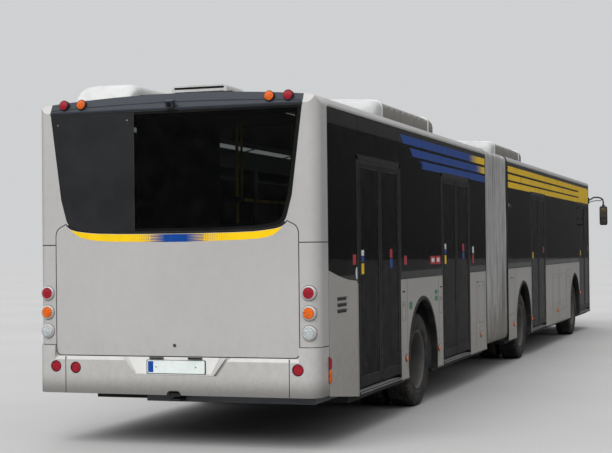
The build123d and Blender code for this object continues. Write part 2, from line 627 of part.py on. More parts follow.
# Steering knuckles: fork over the eye, kingpin, spindle.
for name, side in (("steering_knuckle_left", 1), ("steering_knuckle_right", -1)):
    with BuildPart() as knuckle:
        with BuildSketch(Plane.XY.offset(HUB_Z - 100)):
            with Locations((at(AXLE_FRONT), side * (KINGPIN_Y + 10))):
                Rectangle(130, 130)
        extrude(amount=200)
        with BuildSketch(Plane.XY.offset(HUB_Z - 46)):
            with Locations((at(AXLE_FRONT), side * (KINGPIN_Y - 20))):
                Rectangle(260, 160)
        extrude(amount=92, mode=Mode.SUBTRACT)
        with BuildSketch(Plane.XY.offset(HUB_Z - 100)):
            with Locations((at(AXLE_FRONT), side * KINGPIN_Y)):
                Circle(25)
        extrude(amount=200)
        with BuildSketch(Plane.XZ.offset(-side * (KINGPIN_Y + 62))):
            with Locations((at(AXLE_FRONT), HUB_Z)):
                Rectangle(150, 200)
        extrude(amount=-side * 15)
        with BuildSketch(Plane.XZ.offset(-side * (KINGPIN_Y + 70))):
            with Locations((at(AXLE_FRONT), HUB_Z)):
                Circle(SPINDLE_R)
        extrude(amount=-side * 90)
    knuckle.part.label = name
    export_step(knuckle.part, "parts/" + name + ".step")

# ---------------------------------------------------------------- wheels
# half tyre section: offset from the middle plane, radius
TYRE_HALF = [(105, 291), (105, 310), (130, 350), (138, 395), (133, 445), (112, 480)]
TYRE_SECTION = TYRE_HALF + [(-y, r) for y, r in reversed(TYRE_HALF)]
# name, station, side, twin
WHEELS = [
    ("front_left", AXLE_FRONT, 1, False),
    ("front_right", AXLE_FRONT, -1, False),
    ("middle_left", AXLE_MIDDLE, 1, True),
    ("middle_right", AXLE_MIDDLE, -1, True),
    ("drive_left", AXLE_REAR, 1, True),
    ("drive_right", AXLE_REAR, -1, True),
]
HAND_HOLES = 8
for name, sw, side, twin in WHEELS:
    spin = Axis((at(sw), 0, HUB_Z), (0, 1, 0))
    with BuildPart() as tyre:
        for y0 in (Y_OUTER, Y_INNER) if twin else (Y_OUTER,):
            with BuildSketch(Plane.YZ.offset(at(sw))):
                with BuildLine():
                    Polyline(*[(side * (y0 + y), HUB_Z + r) for y, r in TYRE_SECTION], close=True)
                make_face()
            revolve(axis=spin)
    label = name + ("_tyres" if twin else "_tyre")
    tyre.part.label = label
    export_step(tyre.part, "parts/" + label + ".step")

    # section of the rim and hub as rectangles: y0, y1, r0, r1
    if twin:
        parts_of_rim = [(Y_OUTER - 104, Y_OUTER + 104, 280, 290.5), (Y_OUTER + 106, Y_OUTER + 118, 280, 306),
                        (Y_OUTER + 100, Y_OUTER + 110, 280, 290.5),
                        (Y_INNER - 104, Y_INNER + 104, 280, 290.5), (Y_INNER - 118, Y_INNER - 106, 280, 306),
                        (Y_INNER - 110, Y_INNER - 100, 280, 290.5),
                        (Y_INNER + 100, Y_OUTER - 100, 280, 286), (918, 934, 60.5, 284),
                        (900, 1110, 60.5, 118), (930, 950, 60.5, 165)]
        disc_y, disc_r = 926, 222
    else:
        parts_of_rim = [(Y_OUTER - 104, Y_OUTER + 104, 280, 290.5), (Y_OUTER + 100, Y_OUTER + 118, 280, 290.5),
                        (Y_OUTER + 106, Y_OUTER + 118, 280, 306), (Y_OUTER - 118, Y_OUTER - 100, 280, 290.5),
                        (Y_OUTER - 118, Y_OUTER - 106, 280, 306), (Y_OUTER + 56, Y_OUTER + 72, 60.5, 284),
                        (Y_OUTER + 0, Y_OUTER + 128, 60.5, 128)]
        disc_y, disc_r = Y_OUTER + 64, 215
    with BuildPart() as rim:
        for y0, y1, r0, r1 in parts_of_rim:
            with BuildSketch(Plane.XZ.offset(-side * y0)):
                with Locations((at(sw), HUB_Z)):
                    Circle(r1)
                    Circle(r0, mode=Mode.SUBTRACT)
            extrude(amount=-side * (y1 - y0))
        with BuildSketch(Plane.XZ.offset(-side * (disc_y - 40))):
            with Locations((at(sw), HUB_Z)):
                with PolarLocations(disc_r, HAND_HOLES):
                    Circle(30)
        extrude(amount=-side * 80, mode=Mode.SUBTRACT)
    label = name + "_rim"
    rim.part.label = label
    export_step(rim.part, "parts/" + label + ".step")

# ---------------------------------------------------------------- articulation
PLATE_R = 620.0
with BuildPart() as turntable_front:
    with BuildSketch(Plane.XY.offset(FLOOR_Z0)):
        with Locations((at(PIVOT), 0)):
            Circle(PLATE_R)
        with Locations((at((PIVOT + FRONT_START) / 2), 0)):
            Rectangle(FRONT_START - PIVOT, 800)
    extrude(amount=FLOOR_Z1 - FLOOR_Z0)
    with BuildSketch(Plane.XY.offset(215)):
        with Locations((at(PIVOT), 0)):
            Circle(100)
    extrude(amount=FLOOR_Z0 - 215)
turntable_front.part.label = "turntable_front"
export_step(turntable_front.part, "parts/turntable_front.step")

with BuildPart() as turntable_rear:
    with BuildSketch(Plane.XY.offset(215)):
        with Locations((at((PIVOT + REAR_END) / 2), 0)):
            Rectangle(PIVOT - REAR_END, 500)
        with Locations((at(PIVOT), 0)):
            Circle(250)
            Circle(100.5, mode=Mode.SUBTRACT)
    extrude(amount=75)
    with BuildSketch(Plane.XY.offset(215)):
        with Locations((at(REAR_END + 40), 0)):
            Rectangle(80, 500)
    extrude(amount=FLOOR_Z1 - 215)
    with BuildSketch(Plane.XY.offset(FLOOR_Z0 + 40)):
        with Locations((at(REAR_END + 220), 0)):
            Rectangle(440, 1360)
        with Locations((at(PIVOT), 0)):
            Circle(PLATE_R + 8, mode=Mode.SUBTRACT)
    extrude(amount=FLOOR_Z1 - FLOOR_Z0 - 40)
turntable_rear.part.label = "turntable_rear"
export_step(turntable_rear.part, "parts/turntable_rear.step")

BELLOWS_IN, BELLOWS_T = 10.0, 45.0
with BuildPart() as bellows:
    with BuildSketch(Plane.YZ.offset(at(REAR_END + 4))):
        add(section_face(BELLOWS_IN, 385))
    extrude(amount=FRONT_START - REAR_END - 8)
    with BuildSketch(Plane.YZ.offset(at(REAR_END))):
        add(section_face(BELLOWS_IN + BELLOWS_T, 300))
    extrude(amount=FRONT_START - REAR_END, mode=Mode.SUBTRACT)
bellows.part.label = "bellows"
export_step(bellows.part, "parts/bellows.step")

# ---------------------------------------------------------------- doors
# Each post carries one arm under the leaf and one above it, and the leaf hangs between them on two pins.
ARM_T = 22.0
RAIL_LOW, RAIL_TOP, STILE = 72.0, 104.0, 52.0
Y_POST = -(HALF_W - POST_INBOARD)
LUG_Y0 = -(HALF_W - LEAF_T + 2)
for door, (d0, d1, d_top) in DOORS.items():
    width = (d1 - d0) / 2 - JAMB_GAP - 4
    arm = (POST_BEHIND + JAMB_GAP + width - LEAD) / 2
    leaf_z1 = d_top - LEAF_GAP
    # arm's lower face, then the lug's lower face, at the foot and at the head
    levels = [(388.0, LEAF_Z0 + 2), (leaf_z1 + 12, leaf_z1 - 20)]
    for which, jamb, way in (("rear", d0, 1), ("front", d1, -1)):
        x_post = at(jamb) - way * POST_BEHIND
        x_pin = x_post + way * arm
        x_mid = at(jamb) + way * (JAMB_GAP + width / 2)
        with BuildPart() as post:
            with BuildSketch(Plane.XY.offset(levels[0][0])):
                with Locations((x_post, Y_POST)):
                    Circle(POST_R)
            extrude(amount=levels[1][0] + ARM_T - levels[0][0])
            for arm_z, lug_z in levels:
                with BuildSketch(Plane.XY.offset(arm_z)):
                    with Locations(((x_post + x_pin) / 2, Y_POST)):
                        Rectangle(arm, 30)
                    with Locations((x_pin, Y_POST)):
                        Circle(18)
                extrude(amount=ARM_T)
                with BuildSketch(Plane.XY.offset(arm_z - 1)):
                    with Locations((x_pin, Y_POST)):
                        Circle(PIN_BORE)
                extrude(amount=ARM_T + 2, mode=Mode.SUBTRACT)
        label = door + "_" + which + "_post"
        post.part.label = label
        export_step(post.part, "parts/" + label + ".step")

        with BuildPart() as leaf:
            with BuildSketch(Plane.XZ.offset(HALF_W)):
                with Locations((x_mid, (LEAF_Z0 + leaf_z1) / 2)):
                    Rectangle(width, leaf_z1 - LEAF_Z0)
            extrude(amount=-LEAF_T)
            # the glass is the thin outer part of the leaf
            with BuildSketch(Plane.XZ.offset(HALF_W - GLASS)):
                with Locations((x_mid, (LEAF_Z0 + RAIL_LOW + leaf_z1 - RAIL_TOP) / 2)):
                    Rectangle(width - 2 * STILE, leaf_z1 - LEAF_Z0 - RAIL_LOW - RAIL_TOP)
            extrude(amount=-LEAF_T, mode=Mode.SUBTRACT)
            for arm_z, lug_z in levels:
                with BuildSketch(Plane.XY.offset(lug_z)):
                    with Locations((x_pin, (LUG_Y0 + Y_POST + 16) / 2)):
                        Rectangle(36, Y_POST + 16 - LUG_Y0)
                extrude(amount=18)
                pin_z0 = min(arm_z - 2, lug_z)
                with BuildSketch(Plane.XY.offset(pin_z0)):
                    with Locations((x_pin, Y_POST)):
                        Circle(PIN_R)
                extrude(amount=max(arm_z + ARM_T + 2, lug_z + 18) - pin_z0)
        label = door + "_" + which + "_leaf"
        leaf.part.label = label
        export_step(leaf.part, "parts/" + label + ".step")

# ---------------------------------------------------------------- roof units
UNIT_TOP = 3165.0
UNIT_HALF = 1050.0


def unit_face(half, top, mid):
    """Section of a roof unit standing on the crown of the roof."""
    z = crown_z(half) + 1
    with BuildSketch() as face:
        with BuildLine():
            ThreePointArc((-half, z), (0, Z_CROWN + 1), (half, z))
            Line((half, z), (half, top - 70))
            ThreePointArc((half, top - 70), (half - 25, top - 22), (half - 90, top))
            ThreePointArc((half - 90, top), (0, mid), (-half + 90, top))
            ThreePointArc((-half + 90, top), (-half + 25, top - 22), (-half, top - 70))
            Line((-half, top - 70), (-half, z))
        make_face()
    return face.sketch


def unit_ends(s0, s1, top):
    """Side view that slopes a roof unit's two ends."""
    with BuildSketch() as face:
        with BuildLine():
            Polyline((at(s0), 2880), (at(s0), top - 110), (at(s0 + 60), top - 30), (at(s0 + 220), top + 10),
                     (at(s1 - 160), top + 10), (at(s1 - 30), top - 40), (at(s1), top - 110), (at(s1), 2880), close=True)
        make_face()
    return face.sketch


for name, s0, s1 in (("rear_roof_units", 2600.0, 5150.0), ("front_roof_unit", 8600.0, 11150.0)):
    with BuildPart() as unit:
        with BuildSketch(Plane.YZ.offset(at(s0))):
            add(unit_face(UNIT_HALF, 3135, UNIT_TOP))
        extrude(amount=s1 - s0)
        with BuildSketch(Plane.XZ.offset(-HALF_W)):
            add(unit_ends(s0, s1, 3155))
        extrude(amount=2 * HALF_W, mode=Mode.INTERSECT)
        if name == "rear_roof_units":
            # pod at the rear left, standing on the slope of the roof
            with BuildSketch(Plane.YZ.offset(at(290))):
                with BuildLine():
                    ThreePointArc((500, crown_z(500) + 1), (790, crown_z(790) + 1), (1080, crown_z(1080) + 1))
                    Polyline((1080, crown_z(1080) + 1), (1080, 3040), (1040, 3095), (960, 3122), (580, 3128), (525, 3100),
                             (500, 3050), (500, crown_z(500) + 1))
                make_face()
            extrude(amount=1500)
            with BuildSketch(Plane.XY.offset(3250)):
                with BuildLine():
                    Polyline((at(1800), 440), (at(1790), 1100), (at(1850), 1150), (at(1850), 440),
                             close=True)
                make_face()
            extrude(amount=-200, mode=Mode.SUBTRACT)
            # flat vent box near the middle
            with BuildSketch(Plane.YZ.offset(at(600))):
                with BuildLine():
                    ThreePointArc((-262, crown_z(262) + 1), (0, Z_CROWN + 1), (262, crown_z(262) + 1))
                    Polyline((262, crown_z(262) + 1), (262, 3085), (245, 3102), (-245, 3102), (-262, 3085),
                             (-262, crown_z(262) + 1))
                make_face()
            extrude(amount=420)
    unit.part.label = name
    export_step(unit.part, "parts/" + name + ".step")

# ---------------------------------------------------------------- inside
# driver's place: dashboard, steering wheel and screen behind the driver
with BuildPart() as driver_cab:
    with BuildSketch(Plane.XZ.offset(-1150)):
        with BuildLine():
            Polyline((at(17180), FLOOR_Z1 + 1), (at(17640), FLOOR_Z1 + 1), (at(17640), 1160), (at(17480), 1180),
                     (at(17230), 1080), (at(17210), 1000), (at(17340), 940), (at(17300), 700), (at(17180), 640),
                     close=True)
        make_face()
    extrude(amount=1000)
    with BuildSketch(Plane.XY.offset(FLOOR_Z1 + 1)):
        with Locations((at(16250), 800)):
            Rectangle(30, 800)
    extrude(amount=1700)
    column = Plane(origin=(at(17260), 760, 1010), z_dir=(-0.42, 0, 0.91))
    with BuildSketch(column):
        Circle(22)
    extrude(amount=150)
    with BuildSketch(column.offset(120)):
        Circle(225)
        Circle(200, mode=Mode.SUBTRACT)
        with PolarLocations(110, 3):
            Rectangle(230, 34)
        Circle(60)
    extrude(amount=22)
driver_cab.part.label = "driver_cab"
export_step(driver_cab.part, "parts/driver_cab.step")

# seats: station of the back, middle y, width, height of the base they stand on, way they face
HOUSE_TOP = 1130.0 + HOUSE_T
FRONT_SEATS = [(9735, 930, 480, HOUSE_TOP, -1), (9865, 930, 480, HOUSE_TOP, 1), (9735, -930, 480, HOUSE_TOP, -1),
               (9865, -930, 480, HOUSE_TOP, 1), (11000, 775, 840, FLOOR_Z1, 1), (11800, 775, 840, FLOOR_Z1, 1),
               (12600, 775, 840, FLOOR_Z1, 1), (13400, 775, 840, FLOOR_Z1, 1), (14150, 775, 840, FLOOR_Z1, 1),
               (12300, -800, 780, FLOOR_Z1, 1), (13100, -800, 780, FLOOR_Z1, 1), (13900, -800, 780, FLOOR_Z1, 1),
               (15250, 930, 480, HOUSE_TOP, 1), (15250, -930, 480, HOUSE_TOP, 1), (16520, 700, 520, FLOOR_Z1, 1)]
REAR_SEATS = [(3485, 900, 560, HOUSE_TOP, -1), (3615, 900, 560, HOUSE_TOP, 1), (3485, -900, 560, HOUSE_TOP, -1),
              (3615, -900, 560, HOUSE_TOP, 1), (4500, 775, 840, FLOOR_Z1, 1), (5300, 775, 840, FLOOR_Z1, 1),
              (6100, 775, 840, FLOOR_Z1, 1), (6240, -800, 780, FLOOR_Z1, 1), (2050, 775, 840, FLOOR_Z1, 1)]
for name, table in (("front_seats", FRONT_SEATS), ("rear_seats", REAR_SEATS)):
    with BuildPart() as seats:
        for s, y, w, base, way in table:
            high = base > 1000
            pan = base + (60 if high else 400)
            with BuildSketch(Plane.XZ.offset(-(y + w / 2))):
                with BuildLine():
                    Polyline((at(s + way * 140), base + 1), (at(s + way * 340), base + 1), (at(s + way * 340), pan),
                             (at(s + way * 460), pan), (at(s + way * 470), pan + 70), (at(s + way * 90), pan + 50),
                             (at(s + way * -10), pan + 640), (at(s + way * -60), pan + 640), (at(s + way * 30), pan),
                             (at(s + way * 140), pan), close=True)
                make_face()
            extrude(amount=w)
        if name == "rear_seats":
            # rear bench on its platform
            with BuildSketch(Plane.XZ.offset(-320)):
                with BuildLine():
                    Polyline((at(160), TAIL_Z1 + 1), (at(820), TAIL_Z1 + 1), (at(820), 900), (at(790), 960),
                             (at(360), 940), (at(250), 1640),
                             (at(190), 1640), (at(300), 940), (at(160), 940), close=True)
                make_face()
            extrude(amount=320 + 1190)
    seats.part.label = name
    export_step(seats.part, "parts/" + name + ".step")

# handrails: two rails under the ceiling with hangers, and free-standing poles
RAIL_Y, RAIL_Z, POLE_Y, RAIL_R = 270.0, 2150.0, 312.0, 16.0
HANDRAILS = [
    ("front_handrails", 9000.0, 15900.0, [9000.0, 10450.0, 12050.0, 13600.0, 14750.0, 15900.0]),
    ("rear_handrails", 2300.0, 6500.0, [2300.0, 4300.0, 6300.0]),
]
for name, s0, s1, poles in HANDRAILS:
    with BuildPart() as handrails:
        for y in (RAIL_Y, -RAIL_Y):
            with BuildSketch(Plane.YZ.offset(at(s0))):
                with Locations((y, RAIL_Z)):
                    Circle(RAIL_R)
            extrude(amount=s1 - s0)
            for s in poles:
                with BuildSketch(Plane.XY.offset(RAIL_Z)):
                    with Locations((at(s) + (20 if s == s0 else -20), y)):
                        Circle(12)
                extrude(amount=crown_z(RAIL_Y) - WALL - 2 - RAIL_Z)
        for s in poles:
            with BuildSketch(Plane.XY.offset(FLOOR_Z1 + 1)):
                with Locations((at(s), POLE_Y), (at(s), -POLE_Y)):
                    Circle(RAIL_R)
            extrude(amount=crown_z(POLE_Y) - WALL - 4 - FLOOR_Z1)
    handrails.part.label = name
    export_step(handrails.part, "parts/" + name + ".step")
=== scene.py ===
# Articulated city bus. Metres, X forward, Y left, Z up; stations s run forward from the rear face.
import math
import bpy
import bmesh
import json
from mathutils import Vector, Matrix
from mathutils import noise as mnoise

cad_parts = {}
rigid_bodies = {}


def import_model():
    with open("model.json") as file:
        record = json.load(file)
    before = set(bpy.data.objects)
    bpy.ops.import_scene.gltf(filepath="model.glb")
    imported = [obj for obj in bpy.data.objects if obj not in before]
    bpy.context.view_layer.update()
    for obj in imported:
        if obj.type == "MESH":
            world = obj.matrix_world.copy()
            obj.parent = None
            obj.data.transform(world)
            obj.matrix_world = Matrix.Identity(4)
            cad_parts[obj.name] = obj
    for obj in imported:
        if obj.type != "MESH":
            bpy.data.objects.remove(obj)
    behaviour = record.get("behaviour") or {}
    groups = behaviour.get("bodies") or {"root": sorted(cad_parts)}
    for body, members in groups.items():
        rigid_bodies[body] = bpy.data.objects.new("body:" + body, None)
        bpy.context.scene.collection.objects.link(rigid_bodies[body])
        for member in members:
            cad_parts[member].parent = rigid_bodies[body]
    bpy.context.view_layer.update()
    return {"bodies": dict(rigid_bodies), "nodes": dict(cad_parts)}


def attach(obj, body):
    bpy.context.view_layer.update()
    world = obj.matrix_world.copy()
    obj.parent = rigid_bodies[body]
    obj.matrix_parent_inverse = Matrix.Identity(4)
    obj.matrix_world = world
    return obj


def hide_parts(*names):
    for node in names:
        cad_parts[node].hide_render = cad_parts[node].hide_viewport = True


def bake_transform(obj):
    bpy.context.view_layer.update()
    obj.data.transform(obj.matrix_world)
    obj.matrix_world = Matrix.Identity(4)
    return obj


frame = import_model()
BODIES = set(frame["bodies"])
NODES = frame["nodes"]

S0 = 9.15
PI = math.pi


def P(s, y, z):
    return Vector((s - S0, y, z))


# ---------------------------------------------------------------- camera
def make_camera():
    yaw, pitch, roll, f = -0.3234, 0.0157, -0.0112, 1381.809
    pos = P(-10.5728, -4.7226, 1.6572)
    d = Vector((math.cos(yaw) * math.cos(pitch), -math.sin(yaw) * math.cos(pitch), math.sin(pitch)))
    r = d.cross(Vector((0, 0, 1))).normalized()
    u = r.cross(d)
    r2 = math.cos(roll) * r + math.sin(roll) * u
    u2 = -math.sin(roll) * r + math.cos(roll) * u
    cam = bpy.data.cameras.new("camera")
    cam.sensor_fit = "HORIZONTAL"
    cam.sensor_width = 36.0
    cam.lens = f * 36.0 / 612.0
    cam.clip_end = 400.0
    o = bpy.data.objects.new("camera", cam)
    bpy.context.scene.collection.objects.link(o)
    m = Matrix.Identity(4)
    for i in range(3):
        m[i][0], m[i][1], m[i][2], m[i][3] = r2[i], u2[i], -d[i], pos[i]
    o.matrix_world = m
    bpy.context.scene.camera = o


make_camera()


# ---------------------------------------------------------------- materials
class Mat:
    """Small helper for writing node materials that read Object coordinates."""

    def __init__(self, name):
        self.m = bpy.data.materials.new(name)
        self.m.use_nodes = True
        self.t = self.m.node_tree
        self.t.nodes.clear()
        self.out = self.t.nodes.new("ShaderNodeOutputMaterial")
        self.obj = self.t.nodes.new("ShaderNodeTexCoord").outputs["Object"]
        sep = self.node("SeparateXYZ", {0: self.obj})
        self.x, self.y, self.z = sep.outputs[0], sep.outputs[1], sep.outputs[2]

    def put(self, socket, v):
        if isinstance(v, bpy.types.NodeSocket):
            self.t.links.new(v, socket)
        elif hasattr(v, "__len__") and len(v) == 3 and socket.type == "RGBA":
            socket.default_value = (v[0], v[1], v[2], 1.0)
        else:
            socket.default_value = v

    def node(self, kind, ins=None, **props):
        n = self.t.nodes.new("ShaderNode" + kind)
        for k, v in props.items():
            setattr(n, k, v)
        for k, v in (ins or {}).items():
            self.put(n.inputs[k], v)
        return n

    def math(self, op, a, b=0.0, c=0.0):
        n = self.node("Math", operation=op)
        for i, v in enumerate((a, b, c)):
            self.put(n.inputs[i], v)
        return n.outputs[0]

    def mul(self, a, b):
        return self.math("MULTIPLY", a, b)

    def add(self, a, b):
        return self.math("ADD", a, b)

    def gt(self, a, b):
        return self.math("GREATER_THAN", a, b)

    def lt(self, a, b):
        return self.math("LESS_THAN", a, b)

    def scaled(self, sx, sy, sz):
        return self.node("Mapping", {"Vector": self.obj, "Scale": (sx, sy, sz)}).outputs[0]

    def noise(self, scale, detail=3.0, rough=0.55, vec=None):
        n = self.node("TexNoise", {"Vector": vec or self.obj, "Scale": scale, "Detail": detail, "Roughness": rough})
        return n.outputs["Fac"]

    def cells(self, scale, vec=None, out="Distance", **props):
        n = self.node("TexVoronoi", {"Vector": vec or self.obj, "Scale": scale}, **props)
        return n.outputs[out]

    def ramp(self, v, lo, hi, a=0.0, b=1.0, smooth=True):
        n = self.node("MapRange", {"Value": v, "From Min": lo, "From Max": hi, "To Min": a, "To Max": b})
        n.interpolation_type = "SMOOTHSTEP" if smooth else "LINEAR"
        return n.outputs[0]

    def mix(self, fac, a, b):
        n = self.node("Mix", data_type="RGBA")
        self.put(n.inputs[0], fac)
        self.put(n.inputs[6], a)
        self.put(n.inputs[7], b)
        return n.outputs[2]

    def mixf(self, fac, a, b):
        n = self.node("Mix", data_type="FLOAT")
        self.put(n.inputs[0], fac)
        self.put(n.inputs[2], a)
        self.put(n.inputs[3], b)
        return n.outputs[0]

    def shade(self, colour, v):
        """Colour multiplied by a number."""
        n = self.node("VectorMath", operation="SCALE")
        self.put(n.inputs[0], colour)
        self.put(n.inputs[3], v)
        return n.outputs[0]

    def bump(self, height, strength=0.3, dist=0.002, normal=None):
        n = self.node("Bump", {"Height": height, "Strength": strength, "Distance": dist})
        if normal is not None:
            self.put(n.inputs["Normal"], normal)
        return n.outputs[0]

    def principled(self, colour, rough, metal=0.0, normal=None, **consts):
        names = {"coat": "Coat Weight", "coat_rough": "Coat Roughness", "sheen": "Sheen Weight",
                 "sheen_rough": "Sheen Roughness", "spec": "Specular IOR Level", "ior": "IOR",
                 "emit": "Emission Strength", "emit_colour": "Emission Color", "trans": "Transmission Weight",
                 "alpha": "Alpha", "sss": "Subsurface Weight"}
        n = self.node("BsdfPrincipled")
        self.put(n.inputs["Base Color"], colour)
        self.put(n.inputs["Roughness"], rough)
        self.put(n.inputs["Metallic"], metal)
        if normal is not None:
            self.put(n.inputs["Normal"], normal)
        for k, v in consts.items():
            self.put(n.inputs[names[k]], v)
        return n.outputs[0]

    def finish(self, shader):
        self.t.links.new(shader, self.out.inputs["Surface"])
        return self.m


DUST = (0.20, 0.175, 0.14)


def paint_look(g, base, dirt=1.0):
    """Metallic paint: colour, roughness, metal and normal sockets."""
    broad = g.noise(0.9, 2.0)
    mid = g.noise(14.0, 4.0, 0.6)
    streak = g.noise(1.0, 4.0, 0.6, vec=g.scaled(22.0, 22.0, 1.1))
    flake = g.cells(2600.0)
    tone = g.add(g.ramp(broad, 0.3, 0.7, 0.97, 1.03), g.ramp(mid, 0.35, 0.65, -0.012, 0.012))
    tone = g.add(tone, g.ramp(flake, 0.1, 0.6, 0.015, -0.02))
    col = g.shade(base, tone)
    low = g.ramp(g.add(g.z, g.ramp(mid, 0.3, 0.7, -0.12, 0.12)), 0.95, 0.34, 0.0, 0.36 * dirt)
    run = g.mul(g.ramp(streak, 0.5, 0.72), g.ramp(g.z, 2.7, 1.1, 0.01, 0.05 * dirt))
    film = g.math("MINIMUM", g.add(low, run), 1.0)
    col = g.mix(film, col, DUST)
    rough = g.add(g.ramp(film, 0.0, 0.5, 0.33, 0.62), g.ramp(mid, 0.3, 0.7, -0.03, 0.03))
    peel = g.noise(260.0, 2.0, 0.5)
    normal = g.bump(g.add(g.mul(peel, 0.5), g.mul(flake, 0.25)), 0.10, 0.0012)
    return col, rough, g.ramp(film, 0.0, 0.6, 0.42, 0.1), normal


SILVER = (0.61, 0.60, 0.585)
# painted shade: the long sides take a darker copy of the rear silver
SILVER_SHADED_SIDE = (0.52, 0.50, 0.465)


def body_paint(name, base, black=None, slate=None, lining=None, dirt=1.0, foot=0.0):
    """Body paint, with masks for the parts of a CAD solid that aren't painted skin."""
    g = Mat(name)
    col, rough, metal, normal = paint_look(g, base, dirt)
    grain = g.noise(90.0, 5.0, 0.6)
    if foot:
        # painted shade: the colour darkens towards the lower edge, standing in for a rounded foot in shade; rougher
        # there too
        edge = g.ramp(g.add(g.z, g.ramp(grain, 0.3, 0.7, -0.010, 0.010)), 0.62, 0.445, 0.0, foot)
        col = g.mix(edge, col, (0.115, 0.110, 0.102))
        rough = g.mixf(edge, rough, 0.6)
    if lining is not None:
        mask = lining(g)
        col = g.mix(mask, col, g.mix(g.ramp(grain, 0.3, 0.7), (0.20, 0.205, 0.21), (0.25, 0.255, 0.26)))
        rough, metal = g.mixf(mask, rough, 0.6), g.mixf(mask, metal, 0.0)
    if slate is not None:
        mask = slate(g)
        col = g.mix(mask, col, g.mix(g.ramp(grain, 0.3, 0.7), (0.030, 0.035, 0.044), (0.040, 0.047, 0.058)))
        rough, metal = g.mixf(mask, rough, 0.42), g.mixf(mask, metal, 0.15)
    if black is not None:
        mask = black(g)
        col = g.mix(mask, col, g.mix(g.ramp(grain, 0.3, 0.7), (0.010, 0.010, 0.011), (0.018, 0.018, 0.018)))
        rough, metal = g.mixf(mask, rough, 0.55), g.mixf(mask, metal, 0.0)
    return g.finish(g.principled(col, rough, metal, normal, coat=0.5, coat_rough=0.12))


def both(g, *tests):
    v = tests[0]
    for t in tests[1:]:
        v = g.mul(v, t)
    return v


def wall_black(g):
    ay = g.math("ABSOLUTE", g.y)
    return both(g, g.lt(ay, 1.2735), g.gt(ay, 1.2165))


def wall_lining(g):
    return g.lt(g.math("ABSOLUTE", g.y), 1.2168)


def roof_lining(g):
    n = g.node("NewGeometry").outputs["Normal"]
    sn = g.node("SeparateXYZ", {0: n})
    away = g.add(g.mul(sn.outputs[1], g.y), g.mul(sn.outputs[2], 1.2))
    return g.lt(away, 0.0)


def end_black(g):
    ay = g.math("ABSOLUTE", g.y)
    inside = both(g, g.lt(ay, 1.163), g.gt(g.x, 0.0335 - S0), g.lt(g.z, 2.842))
    bar = both(g, g.lt(ay, 0.992), g.gt(g.z, 1.78), g.lt(g.z, 1.878), g.lt(g.x, 0.06 - S0))
    return g.math("MAXIMUM", inside, bar)


def end_slate(g):
    ay = g.math("ABSOLUTE", g.y)
    return both(g, g.lt(ay, 1.15), g.gt(g.z, 2.8222), g.lt(g.x, 0.118 - S0))


def lid_black(g):
    return g.gt(g.x, 0.0315 - S0)


M = {}
# side walls in the darker silver, painted shade
M["wall"] = body_paint("side_paint", SILVER_SHADED_SIDE, black=wall_black, lining=wall_lining)
M["roof"] = body_paint("roof_paint", (0.52, 0.51, 0.49), lining=roof_lining)
M["end"] = body_paint("rear_frame_paint", SILVER, black=end_black, slate=end_slate, dirt=0.5)
M["lid"] = body_paint("lid_paint", SILVER, black=lid_black, dirt=0.3)
# foot=0.72 paints shade that darkens the bumper towards its lower edge
M["bumper"] = body_paint("bumper_paint", (0.66, 0.65, 0.63), dirt=0.5, foot=0.72)
M["mask"] = body_paint("nose_paint", SILVER)
M["skin"] = body_paint("panel_paint", SILVER)


def plastic(name, lo, hi, rough=0.5, scale=420.0, strength=0.25, metal=0.0, dirt=0.0, **consts):
    """Moulded plastic or plain paint with a fine grain and some wear."""
    g = Mat(name)
    broad = g.noise(3.0, 4.0, 0.6)
    grain = g.cells(scale)
    col = g.mix(g.ramp(broad, 0.3, 0.7), lo, hi)
    if dirt:
        film = g.mul(g.ramp(g.noise(9.0, 5.0, 0.65), 0.4, 0.75), dirt)
        col = g.mix(film, col, DUST)
    r = g.add(g.ramp(broad, 0.25, 0.75, rough - 0.06, rough + 0.08), g.ramp(grain, 0.0, 0.6, 0.03, -0.03))
    return g.finish(g.principled(col, r, metal, g.bump(grain, strength, 0.0006), **consts))


M["black"] = plastic("black_plastic", (0.012, 0.012, 0.013), (0.024, 0.024, 0.025), 0.48, dirt=0.10)
M["rubber"] = plastic("black_rubber", (0.009, 0.009, 0.009), (0.018, 0.018, 0.017), 0.62, 900.0, 0.3, dirt=0.16)
M["frame"] = plastic("door_frame_black", (0.007, 0.007, 0.0075), (0.012, 0.012, 0.0125), 0.32, 900.0, 0.08, dirt=0.03,
                     spec=0.10)
M["grey"] = plastic("grey_plastic", (0.10, 0.10, 0.105), (0.145, 0.145, 0.15), 0.5, 500.0, 0.35)
M["pale"] = plastic("pale_panel", (0.62, 0.62, 0.60), (0.70, 0.70, 0.68), 0.4, 700.0, 0.15, dirt=0.05)
M["white"] = plastic("roof_unit_white", (0.50, 0.505, 0.50), (0.58, 0.585, 0.58), 0.42, 300.0, 0.2, dirt=0.22)
M["blind"] = plastic("window_panel", (0.013, 0.0135, 0.0145), (0.017, 0.0175, 0.0185), 0.36, 1600.0, 0.06)
M["lining"] = plastic("ceiling_lining", (0.30, 0.31, 0.315), (0.36, 0.37, 0.375), 0.6, 240.0, 0.3)


def metal(name, col, rough, streak=(3.0, 60.0, 60.0), dirt=0.15, **consts):
    g = Mat(name)
    brush = g.noise(6.0, 6.0, 0.7, vec=g.scaled(*streak))
    broad = g.noise(5.0, 4.0, 0.6)
    film = g.mul(g.ramp(broad, 0.42, 0.75), dirt)
    c = g.mix(film, g.shade(col, g.ramp(brush, 0.3, 0.7, 0.86, 1.08)), DUST)
    r = g.add(g.ramp(brush, 0.3, 0.7, rough - 0.07, rough + 0.09), film)
    return g.finish(g.principled(c, r, g.ramp(film, 0.0, 0.4, 1.0, 0.4), g.bump(brush, 0.12, 0.0006), **consts))


